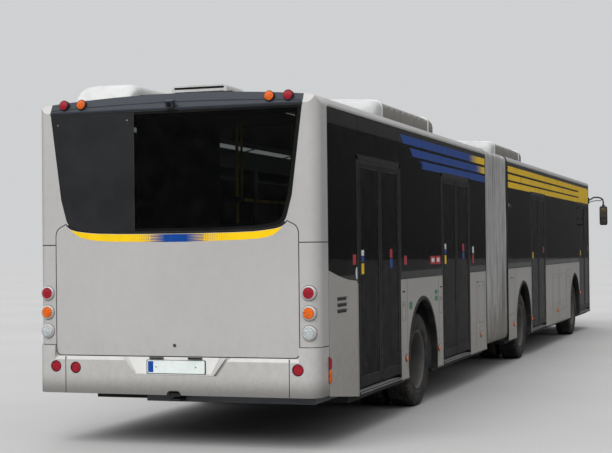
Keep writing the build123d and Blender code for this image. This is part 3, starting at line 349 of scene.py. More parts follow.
M["alu"] = metal("aluminium", (0.60, 0.60, 0.59), 0.34)
M["steel"] = metal("galvanised_steel", (0.34, 0.34, 0.34), 0.42, (30.0, 30.0, 30.0), 0.35)
M["chrome"] = metal("reflector_chrome", (0.80, 0.80, 0.80), 0.12, (20.0, 20.0, 20.0), 0.02)


def chassis(name, lo, hi, dust):
    g = Mat(name)
    broad = g.noise(4.0, 6.0, 0.65)
    pits = g.noise(70.0, 6.0, 0.7)
    film = g.mul(g.ramp(broad, 0.38, 0.7), dust)
    c = g.mix(film, g.mix(g.ramp(pits, 0.35, 0.65), lo, hi), (0.14, 0.12, 0.095))
    return g.finish(g.principled(c, g.ramp(pits, 0.3, 0.7, 0.6, 0.85), 0.1, g.bump(pits, 0.5, 0.003)))


M["chassis"] = chassis("chassis_black", (0.012, 0.012, 0.012), (0.03, 0.029, 0.028), 0.55)
M["cast"] = chassis("cast_metal", (0.06, 0.06, 0.06), (0.12, 0.118, 0.112), 0.45)


def floor_vinyl():
    g = Mat("floor_vinyl")
    chips = g.cells(240.0, out="Color")
    val = g.node("SeparateXYZ", {0: chips}).outputs[0]
    base = g.mix(g.gt(val, 0.90), g.mix(g.gt(val, 0.70), (0.050, 0.053, 0.060), (0.066, 0.070, 0.078)), (0.10, 0.104, 0.11))
    wear = g.ramp(g.noise(2.2, 4.0, 0.6), 0.35, 0.7)
    # painted shade: the floor's underside and its rear end under the engine go near black, partly black underbody,
    # partly the shade beneath the bus
    underbody_black_and_shade = g.math("MAXIMUM", g.lt(g.z, 0.34), g.lt(g.x, 1.95 - S0))
    col = g.mix(g.mul(wear, 0.25), base, (0.12, 0.115, 0.105))
    col = g.mix(underbody_black_and_shade, col, (0.02, 0.019, 0.018))
    return g.finish(g.principled(col, g.ramp(wear, 0.0, 1.0, 0.5, 0.72), 0.0, g.bump(val, 0.2, 0.0005)))


M["vinyl"] = floor_vinyl()


def glass(name, tint, frit=None, dust=0.10, ior=1.5):
    """Tinted pane: sees through at the front, mirrors more at a flat angle, a dusty film at its foot."""
    g = Mat(name)
    film_noise = g.noise(7.0, 5.0, 0.65)
    wave = g.noise(1.4, 2.0, 0.5)
    normal = g.bump(wave, 0.05, 0.02)
    clear = g.node("BsdfTransparent", {"Color": tint}).outputs[0]
    dustf = g.mul(g.ramp(film_noise, 0.35, 0.8), dust)
    col = g.mix(dustf, (0.006, 0.0065, 0.0065), (0.12, 0.115, 0.10))
    shine = g.principled(col, g.ramp(film_noise, 0.3, 0.8, 0.015, 0.06), 0.0, normal, spec=0.5)
    fres = g.node("Fresnel", {"IOR": ior, "Normal": normal}).outputs[0]
    solid = g.add(g.mul(fres, 0.9), g.mul(dustf, 0.5))
    solid = g.math("MINIMUM", g.add(solid, 0.10), 1.0)
    n = g.node("MixShader")
    g.put(n.inputs[0], solid)
    g.put(n.inputs[1], clear)
    g.put(n.inputs[2], shine)
    if frit is None:
        return g.finish(n.outputs[0])
    border = g.principled(col, g.ramp(film_noise, 0.3, 0.8, 0.04, 0.10), 0.0, normal, spec=0.18)
    m = g.node("MixShader")
    g.put(m.inputs[0], frit(g))
    g.put(m.inputs[1], n.outputs[0])
    g.put(m.inputs[2], border)
    return g.finish(m.outputs[0])


def side_frit(g):
    """Printed black border along the upper and lower edge of the panes, with a dotted edge."""
    dots = g.cells(90.0, out="Distance")
    low = g.lt(g.add(g.z, g.ramp(dots, 0.0, 0.6, -0.012, 0.012)), 1.425)
    high = g.gt(g.add(g.z, g.ramp(dots, 0.0, 0.6, -0.012, 0.012)), 2.705)
    side = both(g, g.gt(g.math("ABSOLUTE", g.y), 1.2), g.lt(g.x, 17.62 - S0))
    foot = both(g, g.lt(g.z, 1.085), g.gt(g.x, 17.62 - S0))
    return g.math("MAXIMUM", g.mul(side, g.math("MAXIMUM", low, high)), foot)


M["glass"] = glass("tinted_glass", (0.60, 0.62, 0.61), side_frit)
# the door panes' heavier dust film is partly dust and partly painted reflection that lifts their brightness
M["door_glass"] = glass("door_glass", (0.66, 0.69, 0.67), dust=0.22)
M["clear"] = glass("clear_lens", (0.86, 0.88, 0.88), dust=0.04, ior=1.4)


def lens(name, col, deep, glow=0.0):
    """Pressed plastic lens with prism facets."""
    g = Mat(name)
    facet = g.cells(150.0, feature="F1", out="Distance")
    cell = g.node("SeparateXYZ", {0: g.cells(150.0, out="Color")}).outputs[0]
    c = g.mix(g.ramp(facet, 0.05, 0.6), col, deep)
    c = g.shade(c, g.ramp(cell, 0.0, 1.0, 0.65, 1.35, smooth=False))
    return g.finish(g.principled(c, 0.12, 0.0, g.bump(facet, 0.7, 0.002), coat=0.8, coat_rough=0.04,
                                 emit=glow, emit_colour=col))


M["red"] = lens("lens_red", (0.50, 0.008, 0.028), (0.20, 0.003, 0.012), 0.05)
M["orange"] = lens("lens_orange", (0.86, 0.19, 0.008), (0.50, 0.075, 0.004), 0.06)
M["lamp_white"] = lens("lens_white", (0.62, 0.66, 0.66), (0.34, 0.37, 0.38), 0.02)
M["marker"] = lens("lens_marker", (0.95, 0.24, 0.02), (0.75, 0.14, 0.01), 0.08)


def film(name, col, rough=0.32):
    """Self-adhesive coloured film."""
    g = Mat(name)
    broad = g.noise(5.0, 3.0, 0.6)
    specks = g.cells(700.0)
    c = g.shade(col, g.ramp(broad, 0.3, 0.7, 0.94, 1.05))
    c = g.mix(g.mul(g.ramp(g.noise(12.0, 5.0, 0.7), 0.5, 0.8), 0.12), c, DUST)
    return g.finish(g.principled(c, g.ramp(broad, 0.3, 0.7, rough - 0.05, rough + 0.08), 0.0,
                                 g.bump(specks, 0.08, 0.0003), spec=0.35))


YELLOW = (0.80, 0.51, 0.002)
BLUE = (0.003, 0.052, 0.27)
M["yellow"] = film("film_yellow", YELLOW)
M["blue"] = film("film_blue", BLUE)


def fading_band():
    """Blue film that turns yellow in a dotted fade towards the joint, upper band first."""
    g = Mat("film_fading")
    start = g.add(g.mul(g.gt(g.z, 2.675), -0.42), g.mul(g.lt(g.z, 2.57), 1.6))
    along = g.ramp(g.math("SUBTRACT", g.x, start), 6.35 - S0, 6.95 - S0, 0.0, 1.0, smooth=False)
    cx = g.math("COSINE", g.mul(g.x, 2 * PI / 0.026))
    cz = g.math("COSINE", g.mul(g.z, 2 * PI / 0.0135))
    dots = g.ramp(g.add(cx, cz), -2.0, 2.0, 0.0, 1.0, smooth=False)
    turned = g.gt(g.add(along, g.mul(dots, 0.98)), 0.99)
    broad = g.noise(5.0, 3.0, 0.6)
    c = g.shade(g.mix(turned, BLUE, YELLOW), g.ramp(broad, 0.3, 0.7, 0.94, 1.05))
    return g.finish(g.principled(c, g.ramp(broad, 0.3, 0.7, 0.30, 0.42), 0.0, g.bump(broad, 0.05, 0.001), spec=0.35))


M["fading"] = fading_band()


def plate_white():
    g = Mat("plate_white")
    hex_cells = g.cells(800.0)
    broad = g.noise(8.0, 3.0)
    c = g.mix(g.ramp(broad, 0.3, 0.7), (0.62, 0.68, 0.66), (0.70, 0.75, 0.73))
    return g.finish(g.principled(c, 0.28, 0.0, g.bump(hex_cells, 0.15, 0.0003), coat=0.3, coat_rough=0.1))


M["plate"] = plate_white()


def bellows_cloth():
    g = Mat("bellows_fabric")
    warp = g.math("SINE", g.mul(g.z, 2 * PI / 0.0032))
    weft = g.math("SINE", g.mul(g.x, 2 * PI / 0.0032))
    weave = g.mul(warp, weft)
    broad = g.noise(3.0, 5.0, 0.65)
    streak = g.noise(1.6, 5.0, 0.65, vec=g.scaled(9.0, 9.0, 1.0))
    c = g.mix(g.ramp(broad, 0.3, 0.7), (0.25, 0.25, 0.245), (0.32, 0.32, 0.315))
    # painted shade and highlight: dark lines where fold valleys would be in shade, pale bands as a painted highlight on
    # the crests
    fold_shade_and_highlight = g.noise(1.0, 3.0, 0.55, vec=g.scaled(26.0, 7.0, 0.55))
    fine = g.noise(1.0, 2.0, 0.5, vec=g.scaled(70.0, 18.0, 0.9))
    c = g.mix(g.ramp(fold_shade_and_highlight, 0.46, 0.34, 0.0, 0.62), c, (0.085, 0.085, 0.083))
    c = g.mix(g.ramp(fold_shade_and_highlight, 0.55, 0.68, 0.0, 0.45), c, (0.50, 0.50, 0.49))
    # painted shade: finer dark lines in the fold valleys
    c = g.mix(g.ramp(fine, 0.45, 0.33, 0.0, 0.30), c, (0.10, 0.10, 0.095))
    low = g.ramp(g.add(g.z, g.ramp(streak, 0.3, 0.7, -0.35, 0.35)), 1.2, 0.42, 0.0, 0.75)
    c = g.mix(low, c, (0.115, 0.095, 0.07))
    c = g.mix(g.mul(g.ramp(streak, 0.48, 0.72), 0.32), c, (0.14, 0.13, 0.115))
    return g.finish(g.principled(c, 0.72, 0.0, g.bump(g.add(g.mul(weave, 0.4), broad), 0.25, 0.0012),
                                 sheen=0.25, sheen_rough=0.5))


M["bellows"] = bellows_cloth()


def tyre_rubber():
    g = Mat("tyre_rubber")
    broad = g.noise(6.0, 5.0, 0.65)
    pits = g.cells(500.0)
    c = g.mix(g.ramp(broad, 0.3, 0.7), (0.014, 0.014, 0.014), (0.03, 0.029, 0.028))
    film_ = g.mul(g.ramp(broad, 0.38, 0.75), 0.38)
    c = g.mix(film_, c, (0.13, 0.115, 0.09))
    return g.finish(g.principled(c, g.ramp(broad, 0.3, 0.7, 0.72, 0.9), 0.0, g.bump(pits, 0.25, 0.0008)))


M["tyre"] = tyre_rubber()


def rim_paint():
    g = Mat("rim_grey")
    broad = g.noise(7.0, 5.0, 0.65)
    pits = g.noise(120.0, 4.0, 0.6)
    c = g.mix(g.ramp(broad, 0.3, 0.7), (0.10, 0.10, 0.102), (0.155, 0.154, 0.152))
    film_ = g.mul(g.ramp(g.add(broad, g.mul(pits, 0.3)), 0.5, 0.85), 0.55)
    c = g.mix(film_, c, (0.12, 0.098, 0.072))
    return g.finish(g.principled(c, g.ramp(pits, 0.3, 0.7, 0.45, 0.62), 0.35, g.bump(pits, 0.25, 0.001)))


M["rim"] = rim_paint()


def seat_cloth():
    g = Mat("seat_fabric")
    tuft = g.cells(900.0)
    fleck = g.node("SeparateXYZ", {0: g.cells(60.0, out="Color")}).outputs[0]
    c = g.mix(g.gt(fleck, 0.80), (0.012, 0.028, 0.11), (0.03, 0.09, 0.26))
    c = g.mix(g.gt(fleck, 0.93), c, (0.40, 0.26, 0.02))
    c = g.shade(c, g.ramp(tuft, 0.0, 0.6, 1.15, 0.8))
    return g.finish(g.principled(c, 0.9, 0.0, g.bump(tuft, 0.5, 0.0012), sheen=0.6, sheen_rough=0.4))


M["seat"] = seat_cloth()
M["shell"] = plastic("seat_shell", (0.07, 0.075, 0.085), (0.10, 0.105, 0.115), 0.45, 500.0, 0.3)
M["hand"] = plastic("handrail_yellow", (0.78, 0.50, 0.02), (0.86, 0.58, 0.03), 0.32, 900.0, 0.12, coat=0.3,
                    coat_rough=0.15)
M["cab"] = plastic("cab_grey", (0.075, 0.077, 0.082), (0.11, 0.112, 0.118), 0.55, 380.0, 0.4)


def frit_paint():
    """Black ceramic print on the inside of a pane, under gloss."""
    return plastic("ceramic_black", (0.006, 0.006, 0.0065), (0.010, 0.010, 0.010), 0.16, 1400.0, 0.04, spec=0.15,
                   coat=0.12, coat_rough=0.08)


M["frit"] = frit_paint()


def screen_face():
    g = Mat("blank_display")
    cx = g.math("COSINE", g.mul(g.y, 2 * PI / 0.010))
    cz = g.math("COSINE", g.mul(g.z, 2 * PI / 0.010))
    led = g.ramp(g.add(cx, cz), 1.0, 1.7)
    c = g.mix(led, (0.006, 0.006, 0.007), (0.06, 0.035, 0.012))
    return g.finish(g.principled(c, 0.3, 0.0, g.bump(led, 0.2, 0.0008), coat=0.4, coat_rough=0.08))


M["screen"] = screen_face()


# ---------------------------------------------------------------- mesh building
class Shape:
    """Collects faces for one piece; use() picks the material slot of what follows."""

    def __init__(self):
        self.v, self.f, self.k, self.mat = [], [], [], 0

    def use(self, k):
        self.mat = k
        return self

    def put(self, verts, faces):
        b = len(self.v)
        self.v.extend([tuple(p) for p in verts])
        for f in faces:
            self.f.append([b + i for i in f])
            self.k.append(self.mat)
        return self

    def box(self, x0, x1, y0, y1, z0, z1):
        v = [(x, y, z) for x in (x0, x1) for y in (y0, y1) for z in (z0, z1)]
        return self.put(v, [(0, 1, 3, 2), (4, 6, 7, 5), (0, 4, 5, 1), (2, 3, 7, 6), (0, 2, 6, 4), (1, 5, 7, 3)])

    def sbox(self, s0, s1, y0, y1, z0, z1):
        return self.box(s0 - S0, s1 - S0, y0, y1, z0, z1)

    def prism(self, pts, axis, a, b):
        at = {"x": lambda p, h: (h, p[0], p[1]), "y": lambda p, h: (p[0], h, p[1]), "z": lambda p, h: (p[0], p[1], h)}[axis]
        n = len(pts)
        v = [at(p, a) for p in pts] + [at(p, b) for p in pts]
        return self.put(v, [list(range(n)), list(range(2 * n - 1, n - 1, -1))]
                        + [(i, (i + 1) % n, n + (i + 1) % n, n + i) for i in range(n)])

    def skin(self, rings, closed=True, caps=True, loop=False):
        n, m = len(rings[0]), len(rings)
        f = []
        for j in range(m if loop else m - 1):
            a, b = j * n, ((j + 1) % m) * n
            for i in range(n if closed else n - 1):
                k = (i + 1) % n
                f.append((a + i, a + k, b + k, b + i))
        if caps and not loop and closed:
            f += [list(range(n)), list(range((m - 1) * n, m * n))]
        return self.put([p for r in rings for p in r], f)

    def lathe(self, prof, c, axis, n=32, loop=False, turn=0.0):
        """prof is a list of (distance along the axis, radius)."""
        w = Vector(axis).normalized()
        u = w.orthogonal().normalized()
        if abs(w.y) > 0.9:
            u = Vector((1, 0, 0))
        if abs(w.x) > 0.9:
            u = Vector((0, 1, 0))
        u = (u - w * u.dot(w)).normalized()
        v = w.cross(u)
        c = Vector(c)
        rings = []
        for h, r in prof:
            rings.append([c + w * h + (u * math.cos(2 * PI * i / n + turn) + v * math.sin(2 * PI * i / n + turn)) * r
                          for i in range(n)])
        return self.skin(rings, loop=loop)

    def tube(self, path, r, n=10, closed=False):
        pts = [Vector(p) for p in path]
        m = len(pts)
        rings = []
        side = None
        for i, p in enumerate(pts):
            a = pts[(i - 1) % m] if (closed or i > 0) else p
            b = pts[(i + 1) % m] if (closed or i < m - 1) else p
            t = (b - a).normalized()
            if side is None:
                side = t.orthogonal().normalized()
            side = (side - t * side.dot(t)).normalized()
            up = t.cross(side)
            rr = r[i] if hasattr(r, "__len__") else r
            rings.append([p + (side * math.cos(2 * PI * k / n) + up * math.sin(2 * PI * k / n)) * rr for k in range(n)])
        return self.skin(rings, loop=closed)

    def sweep(self, frames, section, loop=False):
        """frames: (point, u, w); section: list of (a, b) placed at point + u*a + w*b."""
        rings = [[Vector(p) + Vector(u) * a + Vector(w) * b for a, b in section] for p, u, w in frames]
        return self.skin(rings, loop=loop)


def build(shape, name, body, mats, slot=None, sharp=38.0, bevel=0.0, seg=2, replace=(), solidify=0.0, fix=True):
    me = bpy.data.meshes.new(name)
    me.from_pydata(shape.v, [], shape.f)
    for m in mats:
        me.materials.append(M[m] if isinstance(m, str) else m)
    me.polygons.foreach_set("material_index", shape.k)
    if fix:
        bm = bmesh.new()
        bm.from_mesh(me)
        bmesh.ops.recalc_face_normals(bm, faces=bm.faces)
        bm.to_mesh(me)
        bm.free()
    me.shade_smooth()
    me.set_sharp_from_angle(angle=math.radians(sharp))
    me.update()
    o = bpy.data.objects.new(name, me)
    bpy.context.scene.collection.objects.link(o)
    if bevel:
        b = o.modifiers.new("edge", "BEVEL")
        b.width = bevel
        b.segments = seg
        b.limit_method = "ANGLE"
        b.angle_limit = math.radians(32.0)
        b.harden_normals = True
    if solidify:
        b = o.modifiers.new("thickness", "SOLIDIFY")
        b.thickness = solidify
        b.offset = 0.0
    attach(o, body)
    if replace:
        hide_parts(*replace)
    return o


def paint_node(node, *mats):
    o = NODES[node]
    o.data.materials.clear()
    for m in mats:
        o.data.materials.append(M[m] if isinstance(m, str) else m)


def arc(cx, cy, r, a0, a1, n):
    return [(cx + r * math.cos(math.radians(a0 + (a1 - a0) * i / n)), cy + r * math.sin(math.radians(a0 + (a1 - a0) * i / n)))
            for i in range(n + 1)]


def round_rect(cx, cy, w, h, r, n=5):
    pts = []
    for sx, sy, a in ((1, 1, 0), (-1, 1, 90), (-1, -1, 180), (1, -1, 270)):
        pts += arc(cx + sx * (w / 2 - r), cy + sy * (h / 2 - r), r, a, a + 90, n)
    return pts


def crown_z(y, drop=0.0):
    r = 11.83083 - drop
    return 2.975 - 11.83083 + math.sqrt(max(r * r - y * y, 0.0))


def section_loop(drop, z0, side=16, corner=8, roof=30):
    """Half-open section of the body, from the left foot over the roof to the right foot: (y, z)."""
    half = 1.275 - drop
    left = [(half, z0 + (2.83 - z0) * i / side) for i in range(side)]
    c = arc(1.190, 2.83, 0.085 - drop, 0, 90, corner)
    top_y = 1.190
    top = [(top_y * (1 - i / (roof / 2)), crown_z(top_y * (1 - i / (roof / 2)), drop)) for i in range(1, int(roof / 2))]
    pts = left + c + top
    return pts + [(0.0, crown_z(0.0, drop))] + [(-y, z) for y, z in reversed(pts)]


# ---------------------------------------------------------------- finishes of the CAD solids that stay
for n in ("front_left_wall", "front_right_wall", "rear_left_wall", "rear_right_wall"):
    paint_node(n, "wall")
for n in ("front_roof", "rear_roof"):
    paint_node(n, "roof")
paint_node("rear_end_frame", "end")
paint_node("engine_lid", "lid")
paint_node("rear_bumper", "bumper")
paint_node("front_mask", "mask")
for n in ("front_windows",):
    paint_node(n, "glass")
paint_node("rear_windows", "glass")
for n in ("front_floor", "rear_floor"):
    paint_node(n, "vinyl")
for n in ("front_section_axles", "drive_axle", "steering_knuckle_left", "steering_knuckle_right"):
    paint_node(n, "chassis")
for n in ("turntable_front", "turntable_rear", "engine"):
    paint_node(n, "cast")
paint_node("driver_cab", "cab")
for n in NODES:
    if n.endswith("_post"):
        paint_node(n, "steel")
    elif n.endswith("_leaf"):
        paint_node(n, "frame")
    elif n.endswith("_handrails"):
        paint_node(n, "hand")
    elif n.endswith("_seats"):
        paint_node(n, "seat")
    elif n.endswith("_rim"):
        paint_node(n, "rim")
    elif n.endswith("_tyre") or n.endswith("_tyres"):
        paint_node(n, "tyre")
paint_node("bellows", "bellows")
paint_node("mirrors", "black")
paint_node("headlamps", "clear")
paint_node("tail_lamps", "red")
paint_node("front_roof_unit", "white")
paint_node("rear_roof_units", "white")

# ---------------------------------------------------------------- studio
def studio():
    g = Mat("studio_floor")
    broad = g.noise(0.35, 3.0, 0.5)
    fine = g.noise(60.0, 5.0, 0.6)
    c = g.shade((0.42, 0.42, 0.415), g.add(g.ramp(broad, 0.3, 0.7, 0.97, 1.03), g.ramp(fine, 0.3, 0.7, -0.01, 0.01)))
    # a darker floor in mirror images, as on open ground
    c = g.mix(g.node("LightPath").outputs["Is Glossy Ray"], c, (0.10, 0.10, 0.10))
    mat = g.finish(g.principled(c, 0.75, 0.0, g.bump(fine, 0.1, 0.001)))
    me = bpy.data.meshes.new("studio_floor")
    me.from_pydata([(-160, -160, 0), (160, -160, 0), (160, 160, 0), (-160, 160, 0)], [], [(0, 1, 2, 3)])
    me.materials.append(mat)
    o = bpy.data.objects.new("studio_floor", me)
    bpy.context.scene.collection.objects.link(o)

    w = bpy.data.worlds.new("studio")
    bpy.context.scene.world = w
    w.use_nodes = True
    t = w.node_tree
    t.nodes.clear()
    tc = t.nodes.new("ShaderNodeTexCoord")
    sep = t.nodes.new("ShaderNodeSeparateXYZ")
    t.links.new(tc.outputs["Generated"], sep.inputs[0])
    ramp = t.nodes.new("ShaderNodeValToRGB")
    t.links.new(sep.outputs[2], ramp.inputs[0])
    e = ramp.color_ramp.elements
    e[0].position, e[0].color = 0.0, (0.10, 0.10, 0.105, 1)
    e[1].position, e[1].color = 1.0, (1.0, 1.0, 1.02, 1)
    k = ramp.color_ramp.elements.new(0.10)
    k.color = (0.16, 0.16, 0.165, 1)
    k = ramp.color_ramp.elements.new(0.35)
    k.color = (0.62, 0.63, 0.65, 1)
    lp = t.nodes.new("ShaderNodeLightPath")
    mix = t.nodes.new("ShaderNodeMix")
    mix.data_type = "RGBA"
    t.links.new(lp.outputs["Is Camera Ray"], mix.inputs[0])
    t.links.new(ramp.outputs[0], mix.inputs[6])
    mix.inputs[7].default_value = (0.78, 0.79, 0.80, 1)
    bg = t.nodes.new("ShaderNodeBackground")
    t.links.new(mix.outputs[2], bg.inputs[0])
    bg.inputs[1].default_value = 0.80
    out = t.nodes.new("ShaderNodeOutputWorld")
    t.links.new(bg.outputs[0], out.inputs[0])

    # soft, wide suns light the whole floor evenly
    for name, way, strength, angle in (
            ("key", (1.0, -0.16, -1.0), 2.85, 50.0),
            ("fill", (0.35, 1.0, -0.75), 0.10, 80.0),
            ("left", (0.25, -1.0, -0.80), 0.55, 80.0),
            ("front", (-1.0, -0.30, -0.85), 0.70, 70.0)):
        l = bpy.data.lights.new(name, "SUN")
        l.angle = math.radians(angle)
        l.energy = strength
        lo = bpy.data.objects.new(name, l)
        bpy.context.scene.collection.objects.link(lo)
        lo.rotation_euler = Vector(way).to_track_quat("-Z", "Y").to_euler()
        lo.visible_glossy = False
    bpy.context.scene.view_settings.view_transform = "Standard"
    bpy.context.scene.view_settings.look = "None"


studio()

# ---------------------------------------------------------------- rear end
RS, FS = "rear_section", "front_section"
LID_TOP = [(1.0067, 1.8788), (0.996, 1.8636), (0.9595, 1.8384), (0.9055, 1.8226), (0.8028, 1.809), (0.7055, 1.801),
           (0.5, 1.795), (0.25, 1.7926), (0.0, 1.792)]
WINDOW_HALF = [(1.141, 2.824), (1.046, 2.095), (1.003, 1.935), (0.992, 1.905), (0.975, 1.880), (0.945, 1.858),
               (0.900, 1.843), (0.800, 1.829), (0.704, 1.821), (0.5, 1.815), (0.25, 1.8126), (0.0, 1.812)]


def lid_edge(y):
    """Height of the lid's upper edge under the window."""
    pts = sorted(LID_TOP)
    y = abs(y)
    for (a, za), (b, zb) in zip(pts, pts[1:]):
        if a <= y <= b:
            return za + (zb - za) * (y - a) / (b - a)
    return pts[-1][1]


def lid_band():
    x1 = 0.0302 - S0
    # upper edge left to right, then the lower edge with its swept ends
    up = [(y, lid_edge(y) - 0.003) for y in (0.972, 0.9595, 0.9325, 0.9055, 0.855, 0.8028, 0.7055, 0.5, 0.25, 0.0, -0.25,
                                               -0.5, -0.7055, -0.8028, -0.855, -0.9055, -0.9325, -0.9595, -0.972)]
    low = [(-0.930, 1.800), (-0.885, 1.770), (-0.83, 1.752), (-0.76, 1.741), (-0.6, 1.733), (-0.3, 1.7255), (0.0, 1.722),
           (0.3, 1.7255), (0.6, 1.732), (0.70, 1.738), (0.79, 1.750), (0.86, 1.767), (0.915, 1.796)]
    sh = Shape().use(0)
    sh.prism(up + low, "x", x1 - 0.0006, x1)
    lo_z = lambda y: 1.722 + 0.0130 * min(1.0, abs(y) / 0.6) ** 1.6
    sh.use(1)
    xb = x1 - 0.0011
    hi_z = lambda y: lid_edge(y) - 0.004
    sh.prism([(0.08, hi_z(0.08)), (-0.113, hi_z(0.113)), (-0.113, lo_z(0.11)), (0.08, lo_z(0.08))], "x", xb, x1)
    for row in range(5):
        zc = lambda y, r=row: hi_z(y) + (lo_z(y) - hi_z(y)) * (r + 0.5) / 5
        for sgn, y0, y1, y2 in ((1, 0.078, 0.215, 0.405), (-1, -0.111, -0.275, -0.50)):
            yy = [y0 + (y1 - y0) * i / 6 for i in range(7)]
            hh = [0.0064 * (1 - 0.55 * i / 6) for i in range(7)]
            sh.prism([(y, zc(y) + h) for y, h in zip(yy, hh)] + [(y, zc(y) - h) for y, h in reversed(list(zip(yy, hh)))],
                     "x", xb, x1)
            n = 11
            for i in range(n):
                y = y1 + (y2 - y1) * (i + 0.7) / n
                r = 0.0042 * (1 - i / (n + 1.5))
                sh.prism([(y + r * 1.25 * math.cos(a * PI / 3), zc(y) + r * math.sin(a * PI / 3)) for a in range(6)],
                         "x", xb, x1)
    build(sh, "lid_band", "engine_lid", ["yellow", "blue"], "body_silver", sharp=30)


lid_band()


def lid_details():
    # rubber edge that lines the gap round the lid, pressed edge of the panel and the turn lock
    sh = Shape()
    path = ([(y, z) for y, z in arc(-1.060, 0.808, 0.044, 180, 262, 5)][::-1]
            + [(-1.1040, 1.70), (-1.1040, 1.7805), (-1.1010, 1.8045), (-1.0915, 1.8285), (-1.0755, 1.8480), (-1.0522, 1.8614),
               (-1.0060, 1.8835)])
    for side in (1, -1):
        pts = [P(0.034, y * side, z) for y, z in path]
        sh.tube(pts, 0.0034, 6)
    sh.tube([P(0.034, 1.06 - 2.12 * i / 12, 0.7645) for i in range(13)], 0.0034, 6)
    build(sh, "lid_seal", RS, ["rubber"], "black_plastic")
    sh = Shape()
    for side in (1, -1):
        pts = [(1.1085, 0.7612), (1.1085, 0.7990)] + [(1.0685 + 0.036 * math.cos(a), 0.7990 - 0.0 + 0.036 * math.sin(a))
                                                      for a in [-PI / 2 * i / 6 for i in range(7)]] + [(1.0685, 0.7612)]
        sh.prism([(y * side, z) for y, z in pts], "x", 0.0302 - S0, 0.036 - S0)
    build(sh, "lid_foot_corners", RS, ["skin"], "body_silver", sharp=30)
    sh = Shape()
    sh.lathe([(0, 0.015), (0.003, 0.015), (0.004, 0.0135), (0.0045, 0.010), (0.003, 0.009), (0.003, 0.002)],
             P(0.0302, 0, 0.858), (-1, 0, 0), 24)
    sh.use(1).sbox(0.0262, 0.0285, -0.002, 0.002, 0.852, 0.864)
    build(sh, "lid_lock", "engine_lid", ["steel", "black"], "cast_metal")


lid_details()


def rear_window_parts():
    """Matt panel behind the left part of the window, its divider, screws, and the seal round the pane."""
    outline = WINDOW_HALF
    x = 0.0299 - S0
    sh = Shape()
    pts = [(0.36, 2.822), (1.1375, 2.822)] + [(y - 0.0022, z + 0.0018) for y, z in WINDOW_HALF[1:-2]] + [(0.36, 1.8155)]
    sh.prism(pts, "x", x - 0.0012, x)
    build(sh, "window_blind_panel", RS, ["blind"], "black_plastic", sharp=30)
    sh = Shape()
    sh.sbox(0.0278, 0.0299, 0.3555, 0.3615, 1.819, 2.822)
    build(sh, "window_divider", RS, ["black"], "black_plastic")
    sh = Shape()
    for y, z in ((0.42, 2.756), (1.075, 2.735)):
        sh.lathe([(0, 0.0075), (0.002, 0.0075), (0.003, 0.005), (0.003, 0.001)], P(0.0290, y, z), (-1, 0, 0), 12)
    build(sh, "window_screws", RS, ["alu"], "cast_metal")
    # printed border and seal
    full = [(y, z) for y, z in outline] + [(-y, z) for y, z in reversed(outline[:-1])]
    cx, cz = 0.0, 2.35
    inner = []
    for y, z in full:
        inner.append((y * 0.972, cz + (z - cz) * 0.955))
    sh = Shape()
    xa, xb = 0.0294 - S0, 0.0301 - S0
    rings = []
    n = len(full)
    for a, pts_ in ((xa, full), (xa, inner), (xb, inner), (xb, full)):
        rings.append([(a, y, z) for y, z in pts_])
    sh.skin(rings, loop=True)
    build(sh, "window_print", RS, ["frit"], "black_plastic", sharp=20)
    sh = Shape()
    seal = []
    for i, (y, z) in enumerate(full):
        (ya, za), (yb, zb) = full[i - 1], full[(i + 1) % n]
        d = math.hypot(yb - ya, zb - za)
        oy, oz = (zb - za) / d, -(yb - ya) / d
        if oy * y + oz * (z - 2.3) < 0:
            oy, oz = -oy, -oz
        seal.append(P(0.034, y + oy * 0.0028, z + oz * 0.0028))
    dense = []
    for a, b in zip(seal, seal[1:] + seal[:1]):
        k = max(1, int((b - a).length / 0.12))
        for i in range(k):
            dense.append(a.lerp(b, i / k))
    sh.tube(dense, 0.0048, 6, closed=True)
    build(sh, "window_seal", RS, ["rubber"], "black_plastic")


rear_window_parts()


